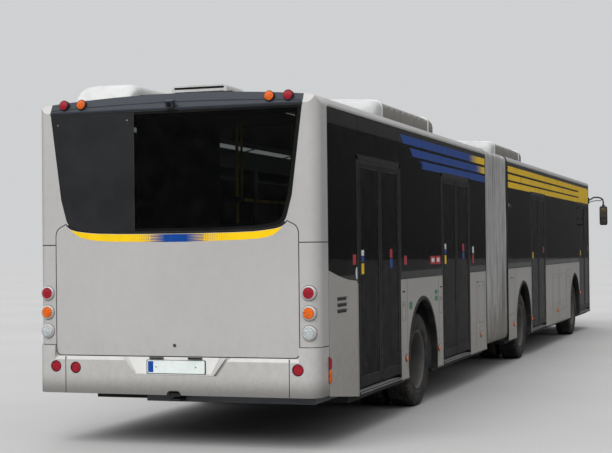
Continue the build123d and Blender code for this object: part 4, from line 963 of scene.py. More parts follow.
def cap_parts():
    """Crease and lip on the dark cap, the small camera and its cable cover."""
    sh = Shape()
    lean = Vector((-math.cos(0.497), 0, math.sin(0.497)))

    def on_cap(y, z, out=0.0):
        s = 0.030 + (z - 2.842) * (0.075 / 0.138)
        return P(s, y, z) + lean * out

    sec = [(-0.010, 0.0), (-0.006, 0.0035), (0.0, 0.0055), (0.006, 0.0035), (0.010, 0.0)]
    up = Vector((math.sin(0.497), 0, math.cos(0.497)))
    rings = []
    for i in range(41):
        y = 1.13 - 2.26 * i / 40
        z = 2.868 + 0.034 * (1 - (y / 1.13) ** 2)
        c = on_cap(y, z)
        rings.append([c + up * a + lean * b for a, b in sec])
    sh.skin(rings)
    # flat lip under the cap, over the window
    rings = []
    for i in range(25):
        y = 1.135 - 2.27 * i / 24
        rings.append([P(0.024, y, 2.836), P(0.0215, y, 2.842), P(0.0225, y, 2.850), P(0.036, y, 2.852), P(0.036, y, 2.836)])
    sh.skin(rings)
    g = Mat("cap_slate")
    broad = g.noise(6.0, 4.0, 0.6)
    fine = g.cells(500.0)
    c = g.mix(g.ramp(broad, 0.3, 0.7), (0.030, 0.035, 0.044), (0.040, 0.047, 0.058))
    M["slate"] = g.finish(g.principled(c, g.ramp(broad, 0.3, 0.7, 0.36, 0.5), 0.1, g.bump(fine, 0.15, 0.0005)))
    build(sh, "cap_lip", RS, ["slate"], "grey_plastic")
    # reversing camera
    sh = Shape()
    body = round_rect(0.0, 0.0, 0.070, 0.060, 0.012, 4)
    c = P(0.030, 0.012, 2.880)
    ax = Vector((-0.95, 0, -0.31)).normalized()
    upv = Vector((-0.31, 0, 0.95)).normalized()
    rings = []
    for h, k in ((-0.012, 0.96), (0.030, 1.0), (0.042, 1.0), (0.046, 0.94)):
        rings.append([c + ax * h + Vector((0, 1, 0)) * (a * k) + upv * (b * k) for a, b in body])
    sh.skin(rings)
    hood = [(-0.039, 0.031), (-0.036, 0.036), (0.036, 0.036), (0.039, 0.031), (0.039, 0.026), (-0.039, 0.026)]
    sh.skin([[c + ax * h + Vector((0, 1, 0)) * a + upv * b for a, b in hood] for h in (-0.006, 0.058)])
    sh.use(1).lathe([(0.046, 0.019), (0.050, 0.019), (0.051, 0.016), (0.049, 0.014), (0.050, 0.008), (0.0505, 0.001)], c, ax, 20)
    sh.use(0).prism([(0.045, 2.843), (-0.036, 2.843), (-0.050, 2.838), (-0.050, 2.830), (0.058, 2.830), (0.058, 2.838)],
                    "x", 0.018 - S0, 0.036 - S0)
    build(sh, "rear_camera", RS, ["slate", "frit"], "grey_plastic", bevel=0.0015)


cap_parts()


def lamp_unit(sh, c, axis, r_bezel, r_lens, depth, lens_slot, bezel_slot=0, back=0.03, seats=True):
    """Round lamp: conical bezel, dark groove, stepped and domed lens with a rim of ribs."""
    c = Vector(c)
    axis = Vector(axis).normalized()
    sh.use(bezel_slot).lathe([(-back, r_bezel), (0.002, r_bezel), (0.010, r_bezel * 0.975), (depth * 0.72, r_lens * 1.115),
                              (depth * 0.80, r_lens * 1.07), (depth * 0.78, r_lens * 1.02), (depth * 0.45, r_lens * 1.005),
                              (depth * 0.40, r_lens * 0.6), (depth * 0.40, 0.001)], c, axis, 48)
    d = depth
    prof = [(d * 0.42, r_lens * 0.985), (d * 0.86, r_lens * 0.985), (d * 0.96, r_lens * 0.955), (d * 0.975, r_lens * 0.90),
            (d * 0.955, r_lens * 0.885), (d * 0.965, r_lens * 0.84), (d * 1.05, r_lens * 0.70), (d * 1.11, r_lens * 0.5),
            (d * 1.15, r_lens * 0.28), (d * 1.165, 0.001)]
    sh.use(lens_slot).lathe(prof, c, axis, 48)
    # small prisms in rings on the dome
    w = axis
    u = w.orthogonal().normalized()
    v = w.cross(u)
    for ring, cnt, hh in ((0.30, 8, 1.135), (0.52, 14, 1.09), (0.72, 20, 1.03)):
        for i in range(cnt):
            a = 2 * PI * i / cnt + ring
            p = c + (u * math.cos(a) + v * math.sin(a)) * r_lens * ring + w * (d * hh - 0.0005)
            q = r_lens * 0.085
            pts = [p + (u * math.cos(a + k * PI / 2) + v * math.sin(a + k * PI / 2)) * q for k in range(4)]
            tip = p + w * 0.0022
            base = [x - w * 0.002 for x in pts]
            sh.put(pts + [tip] + base, [(0, 1, 4), (1, 2, 4), (2, 3, 4), (3, 0, 4), (0, 5, 6, 1), (1, 6, 7, 2), (2, 7, 8, 3),
                                        (3, 8, 5, 0), (5, 8, 7, 6)])


def tail_lamps():
    sh = Shape()
    for y in (-1.186, 1.186):
        out = 1 if y > 0 else -1
        for z, k in ((0.969, 3), (1.130, 2), (1.294, 1)):
            lamp_unit(sh, P(0.030, y, z), (-1, out * 0.02, 0), 0.0605, 0.0465, 0.021, k, back=0.030)
    for y, z in ((1.096, 0.671), (-1.096, 0.671), (0.909, 0.662)):
        lamp_unit(sh, P(0.012, y, z), (-1, 0, 0), 0.0480, 0.0425, 0.0085, 1, bezel_slot=4, back=0.014)
    for y, k in ((-1.023, 1), (-0.858, 2), (0.858, 2), (1.023, 1)):
        lamp_unit(sh, P(0.060, y, 2.907), (-1, 0, 0.12), 0.0440, 0.0395, 0.030, k, bezel_slot=4, back=0.018)
    build(sh, "rear_lamps", RS, ["skin", "red", "orange", "lamp_white", "black"], "lamp_lens", replace=["tail_lamps"])


tail_lamps()


def bumper_parts():
    # panel joints, plate panel, plate, plate lamps, corner joints
    sh = Shape()
    for y in (1.003, -1.022):
        pts = [(y - 0.0032, 0.447), (y + 0.0032, 0.447), (y + 0.0032, 0.758), (y - 0.0032, 0.758)]
        sh.prism(pts, "x", -0.0008 - S0, 0.004 - S0)
    for z in (1.706,):
        for side in (1, -1):
            path = [(0.0295, 1.108 * side)] + [(0.130 - 0.1005 * math.cos(a * PI / 16), (1.175 + 0.1005 * math.sin(a * PI / 16)) * side)
                                               for a in range(9)] + [(0.281, 1.2755 * side)]
            sh.skin([[P(s, y, z - 0.0042), P(s, y, z + 0.0042), P(s + 0.0015, y - 0.002 * side, z + 0.0042),
                      P(s + 0.0015, y - 0.002 * side, z - 0.0042)] for s, y in path])
    for side in (1, -1):
        path = [(0.0295, 1.108 * side)] + [(0.130 - 0.1005 * math.cos(a * PI / 16), (1.175 + 0.1005 * math.sin(a * PI / 16)) * side)
                                           for a in range(9)] + [(0.281, 1.2755 * side)]
        sh.skin([[P(s, y, 0.8475), P(s, y, 0.8555), P(s + 0.004, y - 0.003 * side, 0.8555), P(s + 0.004, y - 0.003 * side, 0.8475)]
                 for s, y in path])
        sh.sbox(0.2795, 0.2830, 1.2690 * side, 1.2756 * side, 0.447, 2.826)
    build(sh, "rear_panel_joints", RS, ["rubber"], "black_plastic", sharp=30)

    # pale plate panel with sloped cheeks
    sh = Shape()
    outer = [(-0.4685, 0.7600, 0.0232), (0.5015, 0.7600, 0.0232), (0.4783, 0.7290, 0.0010), (0.3905, 0.6120, 0.0010),
             (-0.3595, 0.6120, 0.0010), (-0.4457, 0.7290, 0.0010)]
    inner = [(-0.405, 0.7600, 0.0238), (0.430, 0.7600, 0.0238), (0.4123, 0.7290, 0.0235), (0.352, 0.6230, 0.0235),
             (-0.330, 0.6230, 0.0235), (-0.388, 0.7290, 0.0235)]
    sh.skin([[P(s, y, z) for y, z, s in outer], [P(s, y, z) for y, z, s in inner], [P(0.0245, y, z) for y, z, s in inner],
             [P(0.0245, y, z) for y, z, s in outer]], loop=True)
    sh.use(1).prism([(y, z) for y, z, s in inner], "x", 0.0222 - S0, 0.0243 - S0)
    build(sh, "plate_panel", RS, ["skin", "pale"], "body_silver", sharp=25)

    sh = Shape()
    cy, cz, w, h = -0.015, 0.6785, 0.520, 0.108
    sh.prism([(cy + a, cz + b) for a, b in round_rect(0, 0, w, h, 0.010)], "x", 0.0150 - S0, 0.0172 - S0)
    # raised rim of the plate
    a = round_rect(0, 0, w, h, 0.010)
    b = round_rect(0, 0, w - 0.010, h - 0.010, 0.007)
    sh.skin([[P(0.0150, cy + p, cz + q) for p, q in a], [P(0.0140, cy + p * 0.992, cz + q * 0.97) for p, q in a],
             [P(0.0140, cy + p, cz + q) for p, q in b], [P(0.0150, cy + p, cz + q) for p, q in b]], loop=True)
    sh.use(1).prism([(cy + w / 2 - 0.007, cz - 0.046), (cy + w / 2 - 0.007, cz + 0.046), (cy + w / 2 - 0.055, cz + 0.046),
                     (cy + w / 2 - 0.055, cz - 0.046)], "x", 0.01455 - S0, 0.0151 - S0)
    sh.use(2).prism([(cy + p, cz + q) for p, q in round_rect(0, -0.002, w + 0.016, h + 0.012, 0.008)], "x", 0.0172 - S0, 0.0222 - S0)
    for y in (-0.18, 0.18):
        sh.use(3).lathe([(0, 0.006), (0.0016, 0.006), (0.0024, 0.004), (0.0024, 0.0005)], P(0.0150, cy + y, cz), (-1, 0, 0), 12)
    build(sh, "rear_plate", RS, ["plate", "blue", "black", "steel"], "roof_unit_white", sharp=30)

    sh = Shape()
    for y in (0.16, -0.19):
        sh.use(0)
        sec = [(0.0225, 0.744), (0.0060, 0.7445), (0.0030, 0.750), (0.0035, 0.7580), (0.0225, 0.7590)]
        sh.skin([[P(s, y + dy, z) for s, z in sec] for dy in (-0.062, -0.058, 0.058, 0.062)])
        sh.use(1).sbox(0.0065, 0.0195, y - 0.045, y + 0.045, 0.7432, 0.7446)
    build(sh, "plate_lamps", RS, ["black", "lamp_white"], "lamp_lens", bevel=0.0008, seg=1)

    # towing jaw cover lips and the small side marker on the left corner
    sh = Shape()
    pts = []
    for i in range(17):
        a = PI * i / 16
        y = (0.028 * (1 if math.cos(a) > 0 else -1)) if abs(math.cos(a)) > 1e-6 else 0
        pts.append(P(0.0015, y + 0.032 * math.cos(a), 0.447 + 0.032 * math.sin(a)))
    sh.tube(pts, 0.0045, 8)
    sh.lathe([(0, 0.020), (0.006, 0.020), (0.009, 0.016), (0.009, 0.001)], P(0.150, 1.2752, 0.72), (0, 1, 0), 20)
    build(sh, "bumper_trims", RS, ["black"], "black_plastic")


bumper_parts()

# ---------------------------------------------------------------- side details
ARCHES = ((3.550, RS), (9.800, FS), (15.450, FS))


def arch_lips():
    for s0, body in ARCHES:
        sh = Shape()
        for side in (1, -1):
            frames = []
            n = 56
            a0, a1 = -0.292, PI + 0.292
            for i in range(n + 1):
                a = a0 + (a1 - a0) * i / n
                rad = Vector((math.cos(a), 0, math.sin(a)))
                frames.append((P(s0, 0, 0.511) + rad * 0.594, rad, Vector((0, side, 0))))
            section = [(-0.0030, 1.2160), (-0.0030, 1.2790), (0.0010, 1.2825), (0.012, 1.2835), (0.030, 1.2820),
                       (0.040, 1.2785), (0.0425, 1.2745), (0.0010, 1.2745), (0.0010, 1.2160)]
            sh.use(0).sweep(frames, section)
            # screws along the lip
            for i in range(9):
                a = 0.05 + (PI - 0.10) * i / 8
                c = P(s0, 1.2822 * side, 0.511) + Vector((math.cos(a), 0, math.sin(a))) * (0.594 + 0.022)
                sh.use(1).lathe([(-0.001, 0.0075), (0.0016, 0.0070), (0.0022, 0.0045), (0.0012, 0.001)], c, (0, side, 0), 10)
        build(sh, "arch_lips_%d" % int(s0), body, ["rubber", "steel"], "black_plastic", sharp=40)


arch_lips()

# skirt panel joints: side, station, lower and upper end
JOINTS = [(-1, 1.130, .341, 1.342), (-1, 2.880, 0.43, 1.342), (-1, 4.260, 0.43, 1.342), (-1, 6.300, .341, 1.342),
          (-1, 9.120, .60, 1.342), (-1, 10.480, .60, 1.342), (-1, 12.62, .341, 1.342), (-1, 13.42, .341, 1.342),
          (-1, 14.32, .341, 1.342), (-1, 14.82, .60, 1.342), (-1, 16.10, .60, 1.342),
          (1, 1.05, .341, 1.342), (1, 2.0, .341, 1.342), (1, 2.88, .60, 1.342), (1, 4.22, .60, 1.342), (1, 5.25, .341, 1.342),
          (1, 6.30, .341, 1.342), (1, 9.12, .60, 1.342), (1, 10.48, .60, 1.342), (1, 11.5, .341, 1.342),
          (1, 12.6, .341, 1.342), (1, 13.7, .341, 1.342), (1, 14.78, .60, 1.342), (1, 16.12, .60, 1.342),
          (1, 16.95, .341, 1.342)]
DOOR_SPANS = [(1.166, 2.614), (4.483, 5.929), (10.538, 11.902), (16.160, 17.600)]


def side_panels():
    for body, lo, hi in ((RS, 0.281, 6.946), (FS, 8.518, 17.62)):
        sh = Shape()
        y1, y0 = 1.2757, 1.2742
        for side, s, z0, z1 in JOINTS:
            if lo < s < hi:
                sh.use(0).sbox(s - 0.0017, s + 0.0017, side * y0, side * y1, z0, z1)
        # long joints: under the glass and along the skirt's lower flaps
        for side in (1, -1):
            spans = [(lo, hi)]
            if side < 0:
                cut = sorted([d for d in DOOR_SPANS if lo < d[0] < hi])
                spans, a = [], lo
                for d0, d1 in cut:
                    spans.append((a, d0 - 0.004))
                    a = d1 + 0.004
                if hi - a > 0.02:
                    spans.append((a, hi))
            for a, b in spans:
                # foot strip of the skirt, broken at the arches
                pieces = [(a, b)]
                for s0, _ in ARCHES:
                    nxt = []
                    for p, q in pieces:
                        if p < s0 - 0.62 < q:
                            nxt.append((p, s0 - 0.62))
                            if q > s0 + 0.62:
                                nxt.append((s0 + 0.62, q))
                        elif p < s0 + 0.62 < q:
                            nxt.append((s0 + 0.62, q))
                        elif not (s0 - 0.62 <= p and q <= s0 + 0.62):
                            nxt.append((p, q))
                    pieces = nxt
                for p, q in pieces:
                    if p < 1.18:
                        p = 1.182
                    if q - p > 0.05:
                        sec = [(0.000, 0.3405), (0.0045, 0.3420), (0.0055, 0.3480), (0.0045, 0.3570), (0.0, 0.3585), (-0.02, 0.3585), (-0.02, 0.3405)]
                        sh.use(1).skin([[P(s, side * (1.2750 + a_), z) for a_, z in sec] for s in (p + 0.002, q - 0.002)])
                        # pressed bead above the strip
                        sec = [(0.0, 0.600), (0.0022, 0.603), (0.0030, 0.608), (0.0022, 0.613), (0.0, 0.616), (-0.001, 0.608)]
                        sh.use(2).skin([[P(s, side * (1.2749 + a_), z) for a_, z in sec] for s in (p + 0.012, q - 0.012)])
                # slim sealing strip between paint and glass
                if side > 0 or a > 1.2:
                    sec = [(0.0, 1.3385), (0.0018, 1.3392), (0.0024, 1.3420), (0.0018, 1.3452), (0.0, 1.3460), (-0.002, 1.342)]
                    sh.use(0).skin([[P(s, side * (1.2748 + a_), z) for a_, z in sec] for s in (a + 0.001, b - 0.001)])
        # drip rail over the glass, with a dark rubber under it
        for side in (1, -1):
            sec = [(1.2740, 2.8290), (1.2785, 2.8300), (1.2812, 2.8340), (1.2815, 2.8440), (1.2790, 2.8560), (1.2745, 2.8620),
                   (1.2690, 2.8640), (1.2660, 2.8500), (1.2700, 2.8300)]
            sh.use(3).skin([[P(s, side * y, z) for y, z in sec] for s in (lo + 0.002, hi - 0.002)])
            sec = [(1.2741, 2.8245), (1.2765, 2.8250), (1.2775, 2.8300), (1.2735, 2.8300)]
            sh.use(0).skin([[P(s, side * y, z) for y, z in sec] for s in (lo + 0.004, hi - 0.004)])
        build(sh, "side_trims_" + ("rear" if body == RS else "front"), body, ["rubber", "alu", "wall_bead", "roof_bead"],
              "black_plastic", sharp=32)


# the wall bead takes the same darker silver, painted shade
M["wall_bead"] = body_paint("bead_paint", SILVER_SHADED_SIDE)
M["roof_bead"] = body_paint("rail_paint", (0.56, 0.55, 0.53))
side_panels()


def flap(sh, s, z, w, h, side, locks=(), r=0.02):
    """Service flap: a dark joint round its outline and square-key locks."""
    y = 1.2750
    o = round_rect(0, 0, w + 0.007, h + 0.007, r + 0.003)
    i_ = round_rect(0, 0, w, h, r)
    sh.use(0).skin([[P(s + a, side * (y + 0.0007), z + b) for a, b in o], [P(s + a, side * (y + 0.0007), z + b) for a, b in i_],
                    [P(s + a, side * (y - 0.0010), z + b) for a, b in i_], [P(s + a, side * (y - 0.0010), z + b) for a, b in o]],
                   loop=True)
    for a, b in locks:
        sh.use(1).lathe([(-0.001, 0.014), (0.0018, 0.014), (0.0026, 0.0125), (0.0026, 0.0095), (0.0012, 0.0085), (0.0012, 0.001)],
                        P(s + a, side * y, z + b), (0, side, 0), 20)
        sh.use(0).box(s + a - S0 - 0.004, s + a - S0 + 0.004, side * (y + 0.0011), side * (y + 0.0019), z + b - 0.004, z + b + 0.004)


FLAPS = {
    RS: [(-1, 6.62, 0.96, 0.42, 0.50, ((-0.12, 0.20), (0.12, 0.20))), (-1, 2.74, 1.02, 0.13, 0.17, ((0, 0.06),)),
         (-1, 4.36, 1.02, 0.12, 0.17, ((0, 0.06),)),
         (1, 0.66, 0.98, 0.60, 0.46, ((-0.2, 0.18), (0.2, 0.18))), (1, 1.53, 0.78, 0.80, 0.66, ((-0.3, 0.28), (0.3, 0.28))),
         (1, 2.45, 0.84, 0.70, 0.60, ((-0.25, 0.25), (0.25, 0.25))), (1, 4.75, 0.84, 0.84, 0.60, ((-0.3, 0.25), (0.3, 0.25))),
         (1, 5.78, 0.84, 0.90, 0.60, ((-0.3, 0.25), (0.3, 0.25)))],
    FS: [(-1, 13.02, 0.86, 0.64, 0.62, ((-0.2, 0.26), (0.2, 0.26))), (-1, 13.87, 0.86, 0.74, 0.62, ((-0.25, 0.26), (0.25, 0.26))),
         (-1, 14.56, 1.02, 0.34, 0.24, ((0, 0.08),)), (-1, 8.82, 0.95, 0.36, 0.5, ((0, 0.2),)),
         (1, 11.0, 0.84, 0.84, 0.60, ((-0.3, 0.25), (0.3, 0.25))), (1, 12.05, 0.84, 0.90, 0.60, ((-0.3, 0.25), (0.3, 0.25))),
         (1, 13.15, 0.84, 0.90, 0.60, ((-0.3, 0.25), (0.3, 0.25))), (1, 14.24, 0.84, 0.84, 0.60, ((-0.3, 0.25), (0.3, 0.25))),
         (1, 16.55, 0.84, 0.66, 0.60, ((-0.2, 0.25), (0.2, 0.25))), (1, 17.28, 0.95, 0.46, 0.40, ((0, 0.15),)),
         (1, 8.82, 0.95, 0.36, 0.5, ((0, 0.2),))],
}
MARKERS = {RS: [(-1, 2.817, .55), (-1, 4.246, .55), (-1, 6.575, .55), (1, 1.2, .55), (1, 2.78, .55), (1, 4.32, .55), (1, 6.575, .55)],
           FS: [(-1, 8.939, .55), (-1, 10.46, .55), (-1, 13.237, .55), (-1, 16.12, .75), (1, 8.939, .55), (1, 10.9, .55),
                (1, 12.6, .55), (1, 14.3, .55), (1, 16.454, .62)]}
SLOTS = {RS: [(-1, 2.745, 1.215), (-1, 4.385, 1.215), (-1, 6.40, 1.215)], FS: [(-1, 8.80, 1.215), (-1, 14.55, 1.215), (-1, 16.08, 1.215)]}


def side_fittings():
    for body in (RS, FS):
        sh = Shape()
        for side, s, z, w, h, locks in FLAPS[body]:
            flap(sh, s, z, w, h, side, locks)
        for side, s, z in SLOTS[body]:
            w, h = 0.085, 0.016
            pts = [(s + a, z + b) for a, b in round_rect(0, 0, w, h, 0.006, 3)]
            sh.use(0).skin([[P(a, side * 1.2748, b) for a, b in pts], [P(a, side * 1.2768, b) for a, b in pts]])
            sh.use(2).skin([[P(s - w / 2 - 0.004, side * 1.2748, z + 0.010), P(s - w / 2 - 0.004, side * 1.2795, z + 0.011),
                             P(s - w / 2 - 0.004, side * 1.2790, z + 0.015), P(s - w / 2 - 0.004, side * 1.2748, z + 0.017)],
                            [P(s + w / 2 + 0.004, side * 1.2748, z + 0.010), P(s + w / 2 + 0.004, side * 1.2795, z + 0.011),
                             P(s + w / 2 + 0.004, side * 1.2790, z + 0.015), P(s + w / 2 + 0.004, side * 1.2748, z + 0.017)]])
        build(sh, "side_flaps_" + body.split("_")[0], body, ["rubber", "steel", "skin"], "black_plastic", sharp=32)
        sh = Shape()
        for side, s, z in MARKERS[body]:
            c = P(s, side * 1.2750, z)
            sh.use(0).lathe([(-0.002, 0.036), (0.004, 0.036), (0.008, 0.033), (0.009, 0.030)] + [(0.008, 0.0295), (0.0, 0.0295)],
                            c, (0, side, 0), 32)
            sh.use(1).lathe([(0.0, 0.029), (0.008, 0.029), (0.0135, 0.026), (0.0165, 0.020), (0.0182, 0.010), (0.0187, 0.001)],
                            c, (0, side, 0), 32)
        build(sh, "side_markers_" + body.split("_")[0], body, ["black", "marker"], "lamp_lens", sharp=40)


side_fittings()


def rear_corner_side():
    # three louvre slots low on the right rear corner, and the upright corner marker
    sh = Shape()
    for i in range(3):
        z = 1.224 - 0.052 * i
        pts = [(0.652 + a, z + b) for a, b in round_rect(0, 0, 0.262, 0.027, 0.008, 3)]
        # painted shade: each slot is a thin black plate on the skin, standing in for the shaded opening
        sh.use(0).skin([[P(a, -1.2746, b) for a, b in pts], [P(a, -1.2756, b) for a, b in pts]])
        # hooded lip over each slot, black as painted shade of the slot
        sec = [(0.0, 0.014), (0.0075, 0.0105), (0.0100, 0.0060), (0.0088, 0.0045), (0.0030, 0.0095), (0.0, 0.0105)]
        for x0, x1 in ((0.520, 0.784),):
            sh.use(1).skin([[P(s, -(1.2748 + a), z + b + 0.004) for a, b in sec] for s in (x0, x1)])
        for k in range(1, 5):
            s = 0.521 + 0.262 * k / 5
            sh.use(0).sbox(s - 0.002, s + 0.002, -1.2770, -1.2748, z - 0.011, z + 0.010)
    build(sh, "corner_louvres", RS, ["frit", "black"], "black_plastic", sharp=32)
    sh = Shape()
    for side in (-1, 1):
        for z0, z1, k in ((0.662, 0.752, 0), (0.550, 0.652, 1)):
            rings = []
            for z in (z0, z0 + 0.004, z1 - 0.004, z1):
                e = 0.0 if z in (z0, z1) else 0.004
                sec = [(0.262, 1.2740), (0.262, 1.2860 + e), (0.268, 1.2940 + e), (0.284, 1.2940 + e), (0.290, 1.2860 + e), (0.290, 1.2740)]
                rings.append([P(s, side * y, z) for s, y in sec])
            sh.use(k).skin(rings)
        rings = [[P(s, side * y, z) for s, y in ((0.258, 1.2735), (0.258, 1.2790), (0.294, 1.2790), (0.294, 1.2735))]
                 for z in (0.540, 0.762)]
        sh.use(2).skin(rings)
    build(sh, "corner_markers", RS, ["red", "orange", "black"], "lamp_lens", sharp=32, bevel=0.001, seg=1)


rear_corner_side()

# ---------------------------------------------------------------- stripes on the glass band
BANDS = [(2.694, 2.778), (2.582, 2.664), (2.474, 2.556)]
PANES = {
    (RS, -1): [(1.169, 2.611), (2.617, 3.547), (3.553, 4.480), (4.486, 5.926), (5.932, 6.944)],
    (FS, -1): [(8.520, 10.535), (10.541, 11.899), (11.905, 13.387), (13.393, 14.767), (14.773, 16.157), (16.163, 17.597)],
    (RS, 1): [(1.169, 1.937), (1.943, 3.547), (3.553, 5.247), (5.253, 6.944)],
    (FS, 1): [(8.520, 10.447), (10.453, 12.247), (12.253, 13.947), (13.953, 15.747), (15.753, 17.617)],
}


def clip_strip(s0, s1, z0, z1, slant, a, b):
    """Part of a band between two panes' edges; its rear end slants forward towards its foot."""
    def start(z):
        return s0 + slant * (z1 - z) / (z1 - z0)
    if b <= start(z1):
        return None
    if a >= start(z0):
        return [(a, z0), (min(b, s1), z0), (min(b, s1), z1), (a, z1)] if min(b, s1) > a else None
    e = min(b, s1)
    return [(max(a, start(z0)), z0), (e, z0), (e, z1), (max(a, start(z1)), z1)]


def stripes():
    for side in (1, -1):
        y0, y1 = side * 1.2748, side * 1.2757
        sh = Shape()
        for (z0, z1), s0, slant in zip(BANDS, (2.673, 3.048, 3.487), (0.114, 0.125, 0.128)):
            for a, b in PANES[(RS, side)]:
                pts = clip_strip(s0, 6.944, z0, z1, slant, a + 0.001, b - 0.001)
                if pts:
                    sh.prism([(s - S0, z) for s, z in pts], "y", y0, y1)
        build(sh, "stripes_rear_" + ("left" if side > 0 else "right"), RS, ["fading"], "body_silver", sharp=30)
        sh = Shape()
        for z0, z1 in BANDS:
            for a, b in PANES[(FS, side)]:
                a, b = max(a + 0.001, 8.600), min(b - 0.001, 16.10)
                if b > a:
                    sh.prism([(a - S0, z0), (b - S0, z0), (b - S0, z1), (a - S0, z1)], "y", y0, y1)
        for a, b in PANES[(FS, side)]:
            a, b = max(a + 0.001, 16.10), min(b - 0.001, 17.55)
            if b > a:
                sh.prism([(a - S0, 2.451), (b - S0, 2.451), (b - S0, 2.778), (a - S0, 2.778)], "y", y0, y1)
        build(sh, "stripes_front_" + ("left" if side > 0 else "right"), FS, ["yellow"], "body_silver", sharp=30)


stripes()

M["film_red"] = film("film_red", (0.42, 0.018, 0.030))
M["film_white"] = film("film_white", (0.62, 0.64, 0.66))
M["film_green"] = film("film_green", (0.035, 0.20, 0.115))
# small blank labels: body, surface, colour, first and last station, lower and upper edge
LABELS = [
    (RS, -1.2750, 2, 0.990, 1.084, 1.507, 1.598), (RS, -1.2750, 2, 2.775, 2.880, 1.483, 1.572),
    (RS, -1.2750, 2, 3.900, 4.125, 1.470, 1.558), (RS, -1.2750, 2, 4.150, 4.375, 1.470, 1.558),
    (RS, -1.2750, 3, 3.950, 4.075, 1.492, 1.536), (RS, -1.2750, 3, 4.200, 4.325, 1.492, 1.536),
    (RS, -1.2750, 2, 6.105, 6.190, 1.450, 1.560), (RS, -1.2750, 3, 6.105, 6.190, 1.575, 1.655),
    (RS, -1.2750, 4, 2.960, 3.085, 1.030, 1.105), (RS, -1.2750, 4, 4.085, 4.215, 1.070, 1.125),
    (RS, -1.2750, 4, 4.085, 4.215, 1.145, 1.190),
    ("door_4_rear_leaf", -1.2718, 0, 1.268, 1.352, 1.420, 1.515), ("door_4_rear_leaf", -1.2718, 1, 1.268, 1.352, 1.532, 1.578),
    ("door_4_rear_leaf", -1.2718, 3, 1.268, 1.352, 1.584, 1.635), ("door_4_front_leaf", -1.2718, 1, 2.240, 2.335, 1.462, 1.548),
    ("door_4_front_leaf", -1.2718, 2, 2.240, 2.335, 1.555, 1.640), ("door_3_rear_leaf", -1.2718, 0, 4.598, 4.682, 1.463, 1.562),
    ("door_3_rear_leaf", -1.2718, 1, 4.598, 4.682, 1.578, 1.622), ("door_3_rear_leaf", -1.2718, 3, 4.598, 4.682, 1.628, 1.690),
    ("door_3_front_leaf", -1.2718, 1, 5.540, 5.645, 1.508, 1.590), ("door_3_front_leaf", -1.2718, 2, 5.540, 5.645, 1.598, 1.690),
    ("door_2_rear_leaf", -1.2718, 0, 10.655, 10.740, 1.463, 1.562), ("door_2_front_leaf", -1.2718, 2, 11.690, 11.780, 1.540, 1.640),
    ("door_1_rear_leaf", -1.2718, 0, 16.275, 16.360, 1.463, 1.562), ("door_1_front_leaf", -1.2718, 2, 17.390, 17.480, 1.540, 1.640),
]


def labels():
    """Blank coloured labels on panes, doors and skirt; the oval one stands at the rear corner pane."""
    names = ["yellow", "blue", "film_red", "film_white", "film_green"]
    for body in dict.fromkeys(row[0] for row in LABELS):
        sh = Shape()
        for b, y, k, a, c, z0, z1 in LABELS:
            if b == body:
                lift = 0.0011 if k == 3 and 3.9 < a < 4.3 else 0.0006
                sh.use(k).prism([((a + c) / 2 - S0 + p, (z0 + z1) / 2 + q) for p, q in round_rect(0, 0, c - a, z1 - z0, 0.008, 3)],
                                "y", y - lift, y + 0.0002)
        if body == RS:
            sh.use(3).prism([(1.108 - S0 + 0.038 * math.cos(2 * PI * i / 20), 1.432 + 0.054 * math.sin(2 * PI * i / 20)) for i in range(20)],
                            "y", -1.2756, -1.2748)
        build(sh, "labels_" + body, body, names, "body_silver", sharp=30)


labels()

# ---------------------------------------------------------------- doors
DOORS = {1: (16.160, 17.600, 2.420, FS), 2: (10.538, 11.902, 2.426, FS), 3: (4.483, 5.929, 2.426, RS), 4: (1.166, 2.614, 2.426, RS)}


